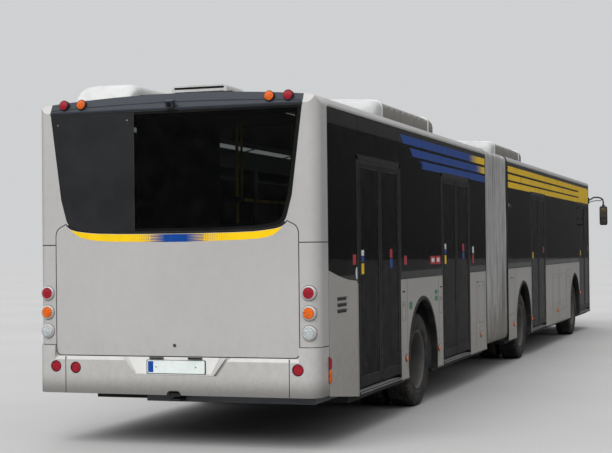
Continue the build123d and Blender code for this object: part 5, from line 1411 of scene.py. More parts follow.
def doors():
    for n, (d0, d1, top, body) in DOORS.items():
        width = (d1 - d0) / 2 - 0.020 - 0.004
        z0, z1 = 0.416, top - 0.006
        arm = (0.018 + 0.020 + width - 0.090) / 2
        for half, jamb, way in (("rear", d0, 1), ("front", d1, -1)):
            trail = jamb + way * 0.020
            lead = trail + way * width
            a, b = min(trail, lead), max(trail, lead)
            name = "door_%d_%s" % (n, half)
            sh = Shape()
            # frame bars
            y_out, y_in = -1.2750, -1.2400
            stile, low, head = 0.050, 0.092, 0.050
            for s0, s1, p, q in ((a, a + stile, z0, z1), (b - stile, b, z0, z1), (a + stile, b - stile, z0, z0 + low),
                                 (a + stile, b - stile, z1 - head, z1)):
                sh.use(0).sbox(s0, s1, y_out, y_in, p, q)
            # hinge lugs and pins
            x_pin = jamb - way * 0.018 + way * arm
            for arm_z, lug_z in ((0.388, z0 + 0.002), (z1 + 0.012, z1 - 0.020)):
                sh.sbox(x_pin - 0.018, x_pin + 0.018, -1.242, -1.174, lug_z, lug_z + 0.018)
            frame_o = build(sh, name + "_frame", name + "_leaf", ["frame"], "door_black", bevel=0.0035, seg=2,
                            replace=[name + "_leaf"])
            sh = Shape()
            for arm_z, lug_z in ((0.388, z0 + 0.002), (z1 + 0.012, z1 - 0.020)):
                pz0 = min(arm_z - 0.002, lug_z)
                pz1 = max(arm_z + 0.024, lug_z + 0.018)
                sh.lathe([(0, 0.0085), (0.0015, 0.010), (pz1 - pz0 - 0.0015, 0.010), (pz1 - pz0, 0.0085)], P(x_pin, -1.190, pz0),
                         (0, 0, 1), 16)
            build(sh, name + "_pins", name + "_leaf", ["steel"], "cast_metal")
            # pane and the gasket round it, outside and inside
            g0, g1, gz0, gz1 = a + stile - 0.004, b - stile + 0.004, z0 + low - 0.004, z1 - head + 0.004
            sh = Shape()
            sh.sbox(g0, g1, -1.2718, -1.2640, gz0, gz1)
            build(sh, name + "_pane", name + "_leaf", ["door_glass"], "tinted_glass")
            sh = Shape()
            loop = [(g0 + 0.004, gz0 + 0.004), (g1 - 0.004, gz0 + 0.004), (g1 - 0.004, gz1 - 0.004), (g0 + 0.004, gz1 - 0.004)]
            dense = []
            for (p, q), (r, t) in zip(loop, loop[1:] + loop[:1]):
                dense += [P(p + (r - p) * k / 6, -1.2722, q + (t - q) * k / 6) for k in range(6)]
            sh.use(0).tube(dense, 0.0042, 6, closed=True)
            dense = [Vector((v.x, -1.2630, v.z)) for v in dense]
            sh.tube(dense, 0.0046, 6, closed=True)
            # rubber profile on the leading edge, with a soft lip, and one on the trailing edge
            sec = [(0.0, -1.2725), (0.0022, -1.2740), (0.0034, -1.2680), (0.0034, -1.2560), (0.0026, -1.2480), (0.0, -1.2450)]
            sh.skin([[P(lead + way * u, y, z) for u, y in sec] for z in (z0 + 0.001, z1 - 0.001)])
            sec = [(0.0, -1.2735), (-0.0050, -1.2740), (-0.0058, -1.2650), (-0.0050, -1.2560), (0.0, -1.2540)]
            sh.skin([[P(trail + way * u, y, z) for u, y in sec] for z in (z0 + 0.001, z1 - 0.001)])
            build(sh, name + "_seals", name + "_leaf", ["rubber"], "black_plastic", sharp=50)
            # grab bar inside, on two feet
            sg = (lead - way * 0.085)
            path = [P(sg, -1.2420, 0.98), P(sg, -1.205, 0.985), P(sg, -1.196, 1.02), P(sg, -1.196, 1.50), P(sg, -1.205, 1.535),
                    P(sg, -1.2420, 1.54)]
            sh = Shape()
            sh.use(0).tube(path, 0.011, 10)
            for z in (0.98, 1.54):
                sh.use(1).lathe([(0, 0.020), (0.004, 0.020), (0.006, 0.016), (0.006, 0.012)], P(sg, -1.2402, z), (0, 1, 0), 16)
            build(sh, name + "_grab_bar", name + "_leaf", ["hand", "black"], "handrail_yellow")
        # on the body: jamb rubbers, black header cover, sill tread with ribs, outside sill strip
        sh = Shape()
        for s, way in ((d0, 1), (d1, -1)):
            sec = [(0.0, -1.2748), (0.0058, -1.2744), (0.0068, -1.2660), (0.0060, -1.2560), (0.0, -1.2520)]
            sh.use(0).skin([[P(s + way * u, y, z) for u, y in sec] for z in (0.385, top - 0.004)])
            # black cover strip beside the opening
            z_hi = top + 0.001
            pts = [(s - way * 0.002, 1.3425), (s - way * 0.045, 1.3425), (s - way * 0.045, z_hi + 0.05), (s - way * 0.002, z_hi + 0.05)]
            sh.use(1).prism([(p - S0, z) for p, z in pts], "y", -1.2749, -1.2758)
            sh.use(0).sbox(min(s - way * 0.0005, s - way * 0.0125), max(s - way * 0.0005, s - way * 0.0125), -1.2770, -1.2746, 0.345, 1.3400)
        sh.use(1).sbox(d0 - 0.045, d1 + 0.045, -1.2758, -1.2749, top + 0.012, top + 0.060)
        # brush over the doors
        sh.use(0).sbox(d0 + 0.010, d1 - 0.010, -1.2735, -1.2680, top - 0.0045, top + 0.012)
        build(sh, "door_%d_surround" % n, body, ["rubber", "frit"], "black_plastic", sharp=40)
        sh = Shape()
        prof = [(-1.2750, 0.3335), (-1.2800, 0.3345), (-1.2812, 0.3400), (-1.2812, 0.3720), (-1.2795, 0.3775), (-1.2750, 0.3790)]
        sh.use(1).skin([[P(s, y, z) for y, z in prof] for s in (d0 + 0.004, d1 - 0.004)])
        # bright bead along the tread's outer edge
        bead = [(-1.2805, 0.3590), (-1.2830, 0.3602), (-1.2836, 0.3655), (-1.2830, 0.3708), (-1.2805, 0.3720)]
        sh.use(0).skin([[P(s, y, z) for y, z in bead] for s in (d0 + 0.006, d1 - 0.006)])
        for k in range(6):
            y = -1.262 + 0.0125 * k
            sh.skin([[P(s, y - 0.0035, 0.3780), P(s, y - 0.0022, 0.3803), P(s, y + 0.0022, 0.3803), P(s, y + 0.0035, 0.3780)]
                     for s in (d0 + 0.010, d1 - 0.010)])
        build(sh, "door_%d_sill" % n, body, ["alu", "rubber"], "cast_metal", sharp=30)
        # lining box over the doors that hides the drive
        sh = Shape()
        sec = [(-1.205, 2.50), (-1.10, 2.50), (-1.06, 2.53), (-1.02, 2.60), (-1.02, 2.74), (-1.205, 2.78)]
        sh.skin([[P(s, y, z) for y, z in sec] for s in (d0 + 0.03, d1 - 0.03)])
        build(sh, "door_%d_drive_cover" % n, body, ["lining"], "grey_plastic", bevel=0.006)


doors()

# ---------------------------------------------------------------- bellows
def bellows():
    s0, s1, pleats, per = 6.951, 8.513, 16, 10
    foot = [(1.205, 0.3875), (1.232, 0.3880), (1.252, 0.397), (1.262, 0.417)]
    base = section_loop(0.0, 0.46, side=22, corner=8, roof=30)
    sh = Shape()
    rings = []
    total = pleats * per
    for j in range(total + 1):
        t = (j % per) / per
        u = j / total
        crest = abs(math.sin(PI * t)) ** 0.72 if j % per else 0.0
        # sewn bead at the top of each fold
        bead = 0.0026 if abs(t - 0.5) < 0.06 else 0.0
        edge = min(1.0, 14.0 * u, 14.0 * (1 - u))
        ring = []
        pts = []
        for i, (y, z) in enumerate(base):
            wob = mnoise.noise(Vector((j // per * 3.17, z * 1.3, y * 0.8)))
            d = 0.0135 + 0.0405 * (1 - crest) - bead + 0.0100 * wob * crest
            if z > 2.83:
                d -= 0.002 * crest
            # offset towards the inside of the section
            if z <= 2.83:
                q = (y - math.copysign(d, y), z)
            elif abs(y) >= 1.19:
                c = Vector((math.copysign(1.19, y), 2.83))
                v = Vector((y, z)) - c
                k = max((0.085 - d) / 0.085, 0.05)
                q = (c.x + v.x * k, c.y + v.y * k)
            else:
                q = (y, z - d)
            pts.append(q)
        dd = 0.0125 + 0.0415 * (1 - crest) - bead
        lf = [(y - dd, z) for y, z in foot]
        ring2 = lf + pts + [(-y, z) for y, z in reversed(lf)]
        for i, (y, z) in enumerate(ring2):
            shift = 0.0085 * mnoise.noise(Vector((z * 0.9 + 3.0 * (y > 0), j // per * 1.7, y * 0.7))) * math.sin(PI * u) * (1 if 0 < t < 1 else 0.6)
            ring.append(P(s0 + (s1 - s0) * u + shift * edge, y, z))
        rings.append(ring)
    sh.skin(rings, closed=False, caps=False)
    o = build(sh, "bellows_cloth", RS, ["bellows"], "bellows_fabric", sharp=180, solidify=0.0028, replace=["bellows"])
    return o


BELLOWS = bellows()
BELLOWS.parent = None
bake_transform(BELLOWS)


def bellows_frames():
    for name, body, s0, s1 in (("bellows_frame_rear", RS, 6.936, 6.9555), ("bellows_frame_front", FS, 8.5085, 8.528)):
        sh = Shape()
        outer, inner = section_loop(-0.0035, 0.372), section_loop(0.060, 0.372)
        skins = []
        for s, loop in ((s0, outer), (s1, outer), (s1, inner), (s0, inner)):
            skins.append([P(s, y, z) for y, z in loop])
        n = len(outer)
        verts = [p for r in skins for p in r]
        faces = []
        for k in range(4):
            a, b = k * n, ((k + 1) % 4) * n
            for i in range(n - 1):
                faces.append((a + i, a + i + 1, b + i + 1, b + i))
        faces += [(0, n, 2 * n, 3 * n), (n - 1, 4 * n - 1, 3 * n - 1, 2 * n - 1)]
        sh.put(verts, faces)
        build(sh, name, body, ["black"], "black_plastic", sharp=35, bevel=0.002, seg=1)
        # clamp screws
        sh = Shape()
        sm = (s0 + s1) / 2
        for side in (1, -1):
            for k in range(12):
                z = 0.52 + 2.2 * k / 11
                sh.lathe([(-0.001, 0.0065), (0.0022, 0.006), (0.003, 0.004), (0.0018, 0.001)], P(sm, side * 1.2785, z), (0, side, 0), 8)
        build(sh, name + "_screws", body, ["steel"], "cast_metal")
    # small round lamp-like lock on the front flange
    sh = Shape()
    c = P(8.66, -1.2750, 2.20)
    sh.use(0).lathe([(-0.001, 0.045), (0.006, 0.045), (0.012, 0.040), (0.020, 0.034), (0.026, 0.024), (0.029, 0.010), (0.0295, 0.001)],
                    c, (0, -1, 0), 28)
    sh.use(1).lathe([(0.0, 0.050), (0.003, 0.050), (0.0045, 0.046), (0.0, 0.0455)], c, (0, -1, 0), 28)
    build(sh, "flange_cover", FS, ["black", "alu"], "black_plastic")


bellows_frames()

# ---------------------------------------------------------------- wheels
TYRE_HALF = [(0.100, 0.2915), (0.106, 0.2925), (0.1085, 0.301), (0.112, 0.312), (0.1205, 0.326), (0.1285, 0.346),
             (0.1325, 0.352), (0.1335, 0.358), (0.1315, 0.363), (0.1350, 0.380), (0.1372, 0.397), (0.1368, 0.412),
             (0.1350, 0.430), (0.1335, 0.441), (0.1300, 0.444), (0.1275, 0.456), (0.1205, 0.471), (0.1100, 0.4785),
             (0.0840, 0.4797), (0.0825, 0.4680), (0.0745, 0.4680), (0.0730, 0.4800), (0.0380, 0.4800), (0.0365, 0.4675),
             (0.0285, 0.4675), (0.0270, 0.4800)]
HUB_Z = 0.480


def tyre(sh, s, side, y0, pitches=54):
    full = TYRE_HALF + [(-a, r) for a, r in reversed(TYRE_HALF)]
    rings = []
    for k in range(pitches):
        for q, deep in ((0.0, 0), (0.84, 0), (0.88, 1), (0.965, 1)):
            for_half = []
            for i, (a, r) in enumerate(full):
                # the two shoulders are notched half a pitch apart
                turn = 0.5 if a < 0 else 0.0
                ang = 2 * PI * (k + q + turn) / pitches
                rr = r
                if deep:
                    if abs(a) > 0.0835 and r > 0.4430:
                        rr = r - 0.0095
                    elif r > 0.4795:
                        rr = r - 0.0035
                for_half.append((a, rr, ang))
            ring = []
            for a, rr, ang in for_half:
                ring.append(P(s + rr * math.cos(ang), side * (y0 + a), HUB_Z + rr * math.sin(ang)))
            rings.append(ring)
    # rings for the two halves are turned by half a pitch, so the seam between them runs round the middle rib
    sh.skin(rings, loop=True)


def disc_with_holes(sh, s, side, height, r_in, r_out, r_hole_ring, r_hole, holes, thick, turn=0.0):
    """Dished wheel disc with round hand holes; height(r) is the distance out from the middle of the bus."""
    half = PI / holes
    corners = []
    for r, sg in ((r_in, 1), (r_in, -1), (r_out, 1), (r_out, -1)):
        corners.append(math.atan2(r * math.sin(sg * half), r * math.cos(sg * half) - r_hole_ring))
    phis = sorted(set([round(2 * PI * k / 28 - PI, 6) for k in range(28)] + [round(c, 6) for c in corners]))
    edge = []
    for phi in phis:
        lo, hi = r_hole, 0.4
        for _ in range(30):
            mid = (lo + hi) / 2
            x, y = r_hole_ring + mid * math.cos(phi), mid * math.sin(phi)
            r, a = math.hypot(x, y), math.atan2(y, x)
            if r_in <= r <= r_out and abs(a) <= half:
                lo = mid
            else:
                hi = mid
        edge.append(lo)
    rows = [("hole", 0.0), ("lip", 0.0035), ("lip2", 0.0075), (0.35, 0), (0.7, 0), (1.0, 0)]
    for k in range(holes):
        base = 2 * PI * k / holes + turn
        front, back = [], []
        for kind, extra in rows:
            fr, bk = [], []
            for phi, e in zip(phis, edge):
                if isinstance(kind, str):
                    d = r_hole + extra
                else:
                    d = r_hole + 0.0075 + (e - r_hole - 0.0075) * kind
                x, y = r_hole_ring + d * math.cos(phi), d * math.sin(phi)
                r, a = math.hypot(x, y), math.atan2(y, x) + base
                lift = 0.0030 if kind == "lip" else 0.0014 if kind == "hole" else 0.0
                h = height(r)
                fr.append(P(s + r * math.cos(a), side * (h + thick / 2 + lift), HUB_Z + r * math.sin(a)))
                bk.append(P(s + r * math.cos(a), side * (h - thick / 2), HUB_Z + r * math.sin(a)))
            front.append(fr)
            back.append(bk)
        sh.skin([back[0]] + front, caps=False)
        sh.skin([back[i] for i in range(len(back))], caps=False)


def nut(sh, c, axis, r=0.0165, h=0.022):
    sh.lathe([(0, r * 1.35), (0.003, r * 1.35), (0.0035, r * 1.1)], c, axis, 14)
    sh.lathe([(0.002, r), (h - 0.002, r), (h, r * 0.86), (h, r * 0.6)], c, axis, 6)
    sh.lathe([(h - 0.004, r * 0.56), (h + 0.007, r * 0.56), (h + 0.009, r * 0.42), (h + 0.009, 0.0005)], c, axis, 10)


def wheels():
    for name, s, side, twin in (("front_left", 15.450, 1, False), ("front_right", 15.450, -1, False),
                                ("middle_left", 9.800, 1, True), ("middle_right", 9.800, -1, True),
                                ("drive_left", 3.550, 1, True), ("drive_right", 3.550, -1, True)):
        body = name + ("_wheels" if twin else "_wheel")
        node = name + ("_tyres" if twin else "_tyre")
        sh = Shape()
        for y0 in ((1.087, 0.763) if twin else (1.087,)):
            tyre(sh, s, side, y0, 54)
        build(sh, node + "_visual", body, ["tyre"], "tyre_rubber", sharp=42, replace=[node])
        c = P(s, 0, HUB_Z)
        ax = (0, side, 0)
        sh = Shape()
        for y0, face in (((1.087, 1), (0.763, -1)) if twin else ((1.087, 1),)):
            prof = [(0.100, 0.2905), (0.1075, 0.2915), (0.1085, 0.3000), (0.1120, 0.3055), (0.1165, 0.3060), (0.1180, 0.3025),
                    (0.1165, 0.2960), (0.1110, 0.2880), (0.0980, 0.2820), (0.0600, 0.2790), (0.0400, 0.2790), (-0.0300, 0.2790),
                    (-0.0980, 0.2820), (-0.1110, 0.2880), (-0.1165, 0.2960), (-0.1180, 0.3025), (-0.1165, 0.3060),
                    (-0.1120, 0.3055), (-0.1085, 0.3000), (-0.1075, 0.2915), (-0.100, 0.2905)]
            sh.use(0).lathe([(y0 + a, r) for a, r in prof], c, ax, 96, loop=True)
        if twin:
            sh.lathe([(0.862, 0.2795), (0.988, 0.2795), (0.988, 0.2855), (0.862, 0.2855)], c, ax, 72, loop=True)
            height = lambda r: 0.926 + (0.004 if r < 0.17 else 0.004 - 0.010 * min(1.0, (r - 0.17) / 0.11) ** 2)
            disc_with_holes(sh, s, side, height, 0.110, 0.2835, 0.222, 0.030, 8, 0.014)
            hub = [(0.905, 0.060), (0.905, 0.160), (0.930, 0.165), (0.946, 0.165), (0.950, 0.161), (0.951, 0.126), (0.957, 0.1185),
                   (1.030, 0.1175), (1.036, 0.1145), (1.038, 0.1090), (1.066, 0.1060), (1.072, 0.1020), (1.074, 0.0930),
                   (1.092, 0.0900), (1.102, 0.0840), (1.1075, 0.0700), (1.1080, 0.0520), (1.1040, 0.0480), (1.1040, 0.0200),
                   (1.1060, 0.0180), (1.1060, 0.0005)]
            sh.use(1).lathe(hub, c, ax, 64)
            ring_r, nut_h, cap_r, cap_h = 0.1430, 0.9495, 0.0985, 1.0735
        else:
            height = lambda r: 1.151 + (0.004 if r < 0.18 else 0.004 - 0.020 * min(1.0, (r - 0.18) / 0.10) ** 2)
            disc_with_holes(sh, s, side, height, 0.110, 0.2835, 0.222, 0.0285, 8, 0.014)
            hub = [(1.085, 0.060), (1.085, 0.126), (1.160, 0.1275), (1.163, 0.1275), (1.166, 0.1235), (1.180, 0.1200), (1.186, 0.1120),
                   (1.188, 0.1040), (1.202, 0.1000), (1.208, 0.0940), (1.211, 0.0800), (1.2125, 0.0600), (1.2100, 0.0570),
                   (1.2100, 0.0200), (1.2120, 0.0180), (1.2120, 0.0005)]
            sh.use(1).lathe(hub, c, ax, 64)
            ring_r, nut_h, cap_r, cap_h = 0.1580, 1.1615, 0.1080, 1.1875
            # raised land the nuts bear on
            sh.use(0).lathe([(1.152, 0.128), (1.1615, 0.130), (1.1618, 0.184), (1.152, 0.190)], c, ax, 64)
        build(sh, name + "_rim_visual", body, ["rim", "hub"], "rim_grey", sharp=36, replace=[name + "_rim"])
        sh = Shape()
        for k in range(10):
            a = 2 * PI * k / 10 + 0.15
            nut(sh, P(s + ring_r * math.cos(a), side * nut_h, HUB_Z + ring_r * math.sin(a)), ax, 0.0155, 0.022)
        for k in range(8):
            a = 2 * PI * k / 8 + 0.3
            sh.lathe([(-0.001, 0.0065), (0.004, 0.0065), (0.0055, 0.005), (0.0055, 0.0005)],
                     P(s + cap_r * math.cos(a), side * cap_h, HUB_Z + cap_r * math.sin(a)), ax, 6)
        # tyre valve
        a = 2 * PI * 0.5 / 8 + 0.12
        y_v = (0.952 if twin else 1.160)
        v0 = P(s + 0.262 * math.cos(a), side * (y_v - 0.02), HUB_Z + 0.262 * math.sin(a))
        v1 = P(s + 0.254 * math.cos(a), side * (y_v + 0.035), HUB_Z + 0.254 * math.sin(a))
        sh.tube([v0, v0.lerp(v1, 0.7), v0.lerp(v1, 0.72), v1], [0.004, 0.004, 0.0052, 0.0050], 8)
        build(sh, name + "_wheel_nuts", body, ["steel"], "cast_metal", sharp=30)


M["hub"] = chassis("hub_cast", (0.045, 0.045, 0.046), (0.085, 0.083, 0.08), 0.5)
wheels()


# ---------------------------------------------------------------- roof units
def unit_ring(s, half, top, mid, n_top=16, foot=0.0):
    pts = []
    for sg in (1, -1):
        side = [(half, crown_z(half) + 0.001), (half, (crown_z(half) + top - 0.07) / 2), (half, top - 0.070), (half - 0.005, top - 0.050),
                (half - 0.016, top - 0.032), (half - 0.034, top - 0.016), (half - 0.060, top - 0.005), (half - 0.090, top)]
        cap = [((half - 0.09) * (1 - i / (n_top / 2)), top + (mid - top) * (1 - ((1 - i / (n_top / 2)) ** 2))) for i in range(1, n_top // 2)]
        if sg > 0:
            pts += side + cap + [(0.0, mid)]
        else:
            pts += [(-y, z) for y, z in reversed(side + cap)]
    pts += [(-half * (1 - i / 5), crown_z(half * (1 - i / 5)) + 0.001) for i in range(1, 10)]
    return [P(s, y, z) for y, z in pts]


def roof_unit(name, node, body, s0, s1, extra=()):
    """White shell with rounded ends, hoop ribs and condenser fans under grilles."""
    top, mid, half = 3.135, 3.165, 1.050
    sh = Shape()
    ends = [(0.000, 0.905, -0.185), (0.006, 0.935, -0.128), (0.020, 0.960, -0.090), (0.045, 0.980, -0.052), (0.080, 0.991, -0.026),
            (0.130, 0.998, -0.009), (0.200, 1.0, 0.0)]
    rings = [unit_ring(s0 + a, half * k, top + d * 0.9, mid + d * 0.9) for a, k, d in ends]
    span = s1 - s0 - 0.40
    rings += [unit_ring(s0 + 0.2 + span * i / 8, half, top, mid) for i in range(1, 8)]
    rings += [unit_ring(s1 - a, half * k, top + d * 0.9, mid + d * 0.9) for a, k, d in reversed(ends)]
    sh.use(0).skin(rings)
    # hoop ribs
    for s in (s0 + 0.225, s1 - 0.36):
        w, h = 0.022, 0.009
        hoop = []
        for ds, up in ((-w, -0.002), (-w * 0.8, h * 0.7), (-w * 0.4, h), (w * 0.4, h), (w * 0.8, h * 0.7), (w, -0.002)):
            ring = unit_ring(s + ds, half + up, top + up, mid + up)
            hoop.append(ring[:31])
        sh.use(1).skin(hoop, closed=False, caps=False)
    # joints across the shell
    for s in (s0 + 0.95, s0 + 1.55):
        ra, rb = unit_ring(s - 0.003, half + 0.0006, top + 0.0006, mid + 0.0006), unit_ring(s + 0.003, half + 0.0006, top + 0.0006, mid + 0.0006)
        sh.use(2).skin([ra[:31], rb[:31]], closed=False, caps=False)
    # foot seal
    for sg in (1, -1):
        sh.use(2).tube([P(s0 + 0.05 + (s1 - s0 - 0.10) * i / 6, sg * (half + 0.002), crown_z(half) + 0.006) for i in range(7)], 0.007, 6)
    build(sh, name + "_shell", body, ["unit_shell", "white_rib", "rubber"], "roof_unit_white", sharp=50, replace=[node])
    # fans
    sh = Shape()
    for s in (s0 + 0.62, s0 + 1.24, s0 + 1.86):
        for y in (0.42, -0.42):
            z = mid - 0.030 * (abs(y) / 0.96) ** 2 + 0.0005
            c = P(s, y, z)
            sh.use(0).lathe([(-0.004, 0.245), (0.006, 0.245), (0.012, 0.238), (0.012, 0.226), (0.004, 0.222), (-0.004, 0.222)], c,
                            (0, 0, 1), 40, loop=True)
            sh.use(1).lathe([(-0.006, 0.223), (0.0015, 0.223), (0.002, 0.001)], c, (0, 0, 1), 40)
            for r in (0.045, 0.075, 0.105, 0.135, 0.165, 0.195):
                ring = [c + Vector((r * math.cos(2 * PI * k / 28), r * math.sin(2 * PI * k / 28), 0.0085)) for k in range(28)]
                sh.use(2).tube(ring, 0.0018, 5, closed=True)
            for k in range(6):
                a = PI * k / 6
                d = Vector((math.cos(a), math.sin(a), 0))
                sh.use(2).tube([c - d * 0.223 + Vector((0, 0, 0.0072)), c + d * 0.223 + Vector((0, 0, 0.0072))], 0.0019, 5)
            # blades under the grille
            for k in range(7):
                a = 2 * PI * k / 7
                d, e = Vector((math.cos(a), math.sin(a), 0)), Vector((-math.sin(a), math.cos(a), 0))
                q = [c + d * 0.05 - e * 0.014 + Vector((0, 0, 0.0022)), c + d * 0.212 - e * 0.045 + Vector((0, 0, 0.0022)),
                     c + d * 0.212 + e * 0.030 + Vector((0, 0, 0.0052)), c + d * 0.05 + e * 0.014 + Vector((0, 0, 0.0048))]
                low = [p - Vector((0, 0, 0.0012)) for p in q]
                sh.use(3).put(q + low, [(0, 1, 2, 3), (4, 7, 6, 5), (0, 4, 5, 1), (1, 5, 6, 2), (2, 6, 7, 3), (3, 7, 4, 0)])
            sh.use(3).lathe([(0.001, 0.040), (0.0062, 0.038), (0.0068, 0.030), (0.0068, 0.001)], c, (0, 0, 1), 24)
    build(sh, name + "_fans", body, ["white_rib", "frit", "steel", "grey"], "grey_plastic", sharp=40)
    # screws and lifting eyes
    sh = Shape()
    for sg in (1, -1):
        for k in range(9):
            s = s0 + 0.26 + (s1 - s0 - 0.66) * k / 8
            sh.lathe([(-0.001, 0.010), (0.002, 0.010), (0.0035, 0.007), (0.0035, 0.001)], P(s, sg * (half + 0.0), 3.085), (0, sg, 0), 10)
    for s in (s0 + 0.42, s1 - 0.52):
        for sg in (1, -1):
            c = P(s, sg * 0.80, 3.1445)
            ring = [c + Vector((0.016 * math.cos(2 * PI * k / 14), 0, 0.014 + 0.016 * math.sin(2 * PI * k / 14))) for k in range(14)]
            sh.tube(ring, 0.0042, 6, closed=True)
    build(sh, name + "_fixings", body, ["steel"], "cast_metal", sharp=40)


def unit_shell():
    """White moulded ends; the straight sides behind the hoop take a dark grey copy of the white, painted shade."""
    g = Mat("roof_unit_shell")
    broad, grain = g.noise(3.0, 4.0, 0.6), g.cells(300.0)
    dust = g.mul(g.ramp(g.noise(9.0, 5.0, 0.65), 0.4, 0.75), 0.2)
    white = g.mix(dust, g.mix(g.ramp(broad, 0.3, 0.7), (0.44, 0.445, 0.445), (0.51, 0.515, 0.515)), DUST)
    # painted shade: darker copy of the white for the straight sides
    side = g.mix(dust, g.mix(g.ramp(broad, 0.3, 0.7), (0.20, 0.190, 0.172), (0.235, 0.222, 0.20)), DUST)
    along = g.math("MAXIMUM", both(g, g.gt(g.x, 2.824 - S0), g.lt(g.x, 5.3 - S0)), g.gt(g.x, 8.824 - S0))
    mask = both(g, along, g.gt(g.math("ABSOLUTE", g.y), 1.02), g.lt(g.z, 3.122))
    r = g.add(g.ramp(broad, 0.25, 0.75, 0.36, 0.48), g.ramp(grain, 0.0, 0.6, 0.03, -0.03))
    return g.finish(g.principled(g.mix(mask, white, side), r, 0.0, g.bump(grain, 0.2, 0.0006)))


M["unit_shell"] = unit_shell()
M["white_rib"] = plastic("roof_unit_rib", (0.54, 0.545, 0.545), (0.62, 0.625, 0.625), 0.36, 400.0, 0.15, dirt=0.12)
roof_unit("rear_unit", "rear_roof_units", RS, 2.600, 5.150)
roof_unit("front_unit", "front_roof_unit", FS, 8.600, 11.150)


def small_roof_parts():
    # smooth pod at the rear left
    sh = Shape()
    rings = []
    s0, s1, cy, hw = 0.292, 1.788, 0.790, 0.288
    stations = [0.0, 0.01, 0.03, 0.06, 0.10, 0.16, 0.25, 0.40, 0.55, 0.68, 0.78, 0.86, 0.92, 0.96, 0.985, 1.0]
    for u in stations:
        s = s0 + (s1 - s0) * u
        k = (1 - max(0.0, (0.16 - u) / 0.16) ** 2.6) * (1 - 0.92 * max(0.0, (u - 0.55) / 0.45) ** 2.4)
        top = 2.965 + (3.126 - 2.965) * max(k, 0.02)
        w = hw * (0.86 + 0.14 * k)
        ring = []
        for i in range(25):
            a = PI * i / 24
            ca, sa = math.cos(a), math.sin(a)
            y = cy + w * math.copysign(abs(ca) ** 0.42, ca)
            zb = crown_z(y) + 0.001
            ring.append(P(s, y, zb + (max(top - zb, 0.006)) * abs(sa) ** 0.42))
        ring += [P(s, cy - w + 2 * w * i / 6, crown_z(cy - w + 2 * w * i / 6) + 0.0005) for i in range(1, 6)]
        rings.append(ring)
    sh.use(0).skin(rings)
    build(sh, "roof_pod", RS, ["white"], "roof_unit_white", sharp=60)
    # vent box with two slots in its rear face
    sh = Shape()
    outline = [(0.262, crown_z(0.262)), (0.262, 3.066), (0.256, 3.084), (0.243, 3.096), (0.225, 3.101), (-0.225, 3.101), (-0.243, 3.096),
               (-0.256, 3.084), (-0.262, 3.066), (-0.262, crown_z(0.262))]
    sh.use(0).prism(outline, "x", 0.606 - S0, 1.014 - S0)
    sh.use(1)
    for z, h in ((3.031, 0.022), (3.0745, 0.018)):
        sh.prism([(a, z + b) for a, b in round_rect(0, 0, 0.47, h, 0.007, 3)], "x", 0.6035 - S0, 0.6062 - S0)
        sh.prism([(a, z + b) for a, b in round_rect(0, 0, 0.47, h, 0.007, 3)], "x", 1.0138 - S0, 1.0165 - S0)
    build(sh, "vent_box", RS, ["white", "frit"], "roof_unit_white", sharp=30, bevel=0.004)
    sh = Shape()
    sh.use(0).sbox(0.590, 1.030, -0.275, 0.275, 2.967, 2.986)
    # low black tray before the box, as wide as the cap's middle
    sh.prism([(0.440, crown_z(0.44)), (0.440, 2.992), (0.425, 3.000), (-0.425, 3.000), (-0.440, 2.992), (-0.440, crown_z(0.44))], "x",
             0.30 - S0, 0.585 - S0)
    build(sh, "vent_base", RS, ["black"], "black_plastic", bevel=0.005)
    # roof hatches, aerials and seams
    for body, hatches, lo, hi in ((RS, (2.15, 5.80), 0.30, 6.93), (FS, (11.95, 14.90), 8.54, 17.55)):
        sh = Shape()
        for s in hatches:
            o = round_rect(0, 0, 0.72, 0.72, 0.08, 6)
            rings = []
            for h, inset in ((-0.006, 0.0), (0.026, 0.0), (0.040, 0.010), (0.047, 0.030), (0.060, 0.16), (0.064, 0.30)):
                k = (0.36 - inset) / 0.36
                rings.append([P(s + a * k, b * k, crown_z(b * k) + max(h, -0.006)) for a, b in o])
            sh.use(0).skin(rings)
            o2 = round_rect(0, 0, 0.76, 0.76, 0.09, 6)
            sh.use(1).skin([[P(s + a, b, crown_z(b) - 0.004) for a, b in o2], [P(s + a, b, crown_z(b) + 0.008) for a, b in o2],
                            [P(s + a * 0.955, b * 0.955, crown_z(b * 0.955) + 0.012) for a, b in o2]])
        x = lo
        n = 6
        for k in range(1, n):
            s = lo + (hi - lo) * k / n
            prof = [(y, crown_z(y)) for y in [1.17 - 2.34 * i / 30 for i in range(31)]]
            sh.use(1).skin([[P(s - 0.012, y, z - 0.001) for y, z in prof], [P(s - 0.010, y, z + 0.0018) for y, z in prof],
                            [P(s + 0.010, y, z + 0.0018) for y, z in prof], [P(s + 0.012, y, z - 0.001) for y, z in prof]],
                           closed=False, caps=False)
        build(sh, "roof_hatches_" + body.split("_")[0], body, ["white", "seam"], "roof_unit_white", sharp=40)
    sh = Shape()
    for s, y in ((16.4, 0.35), (16.4, -0.35)):
        z = crown_z(y)
        sh.lathe([(-0.002, 0.045), (0.010, 0.044), (0.030, 0.030), (0.034, 0.012)], P(s, y, z), (0, 0, 1), 24)
        sh.tube([P(s, y, z + 0.03), P(s - 0.01, y, z + 0.10), P(s - 0.03, y, z + 0.17)], [0.007, 0.005, 0.003], 8)
    build(sh, "aerials", FS, ["black"], "black_plastic")


M["seam"] = plastic("roof_sealant", (0.30, 0.30, 0.29), (0.38, 0.38, 0.37), 0.7, 200.0, 0.4, dirt=0.3)
small_roof_parts()


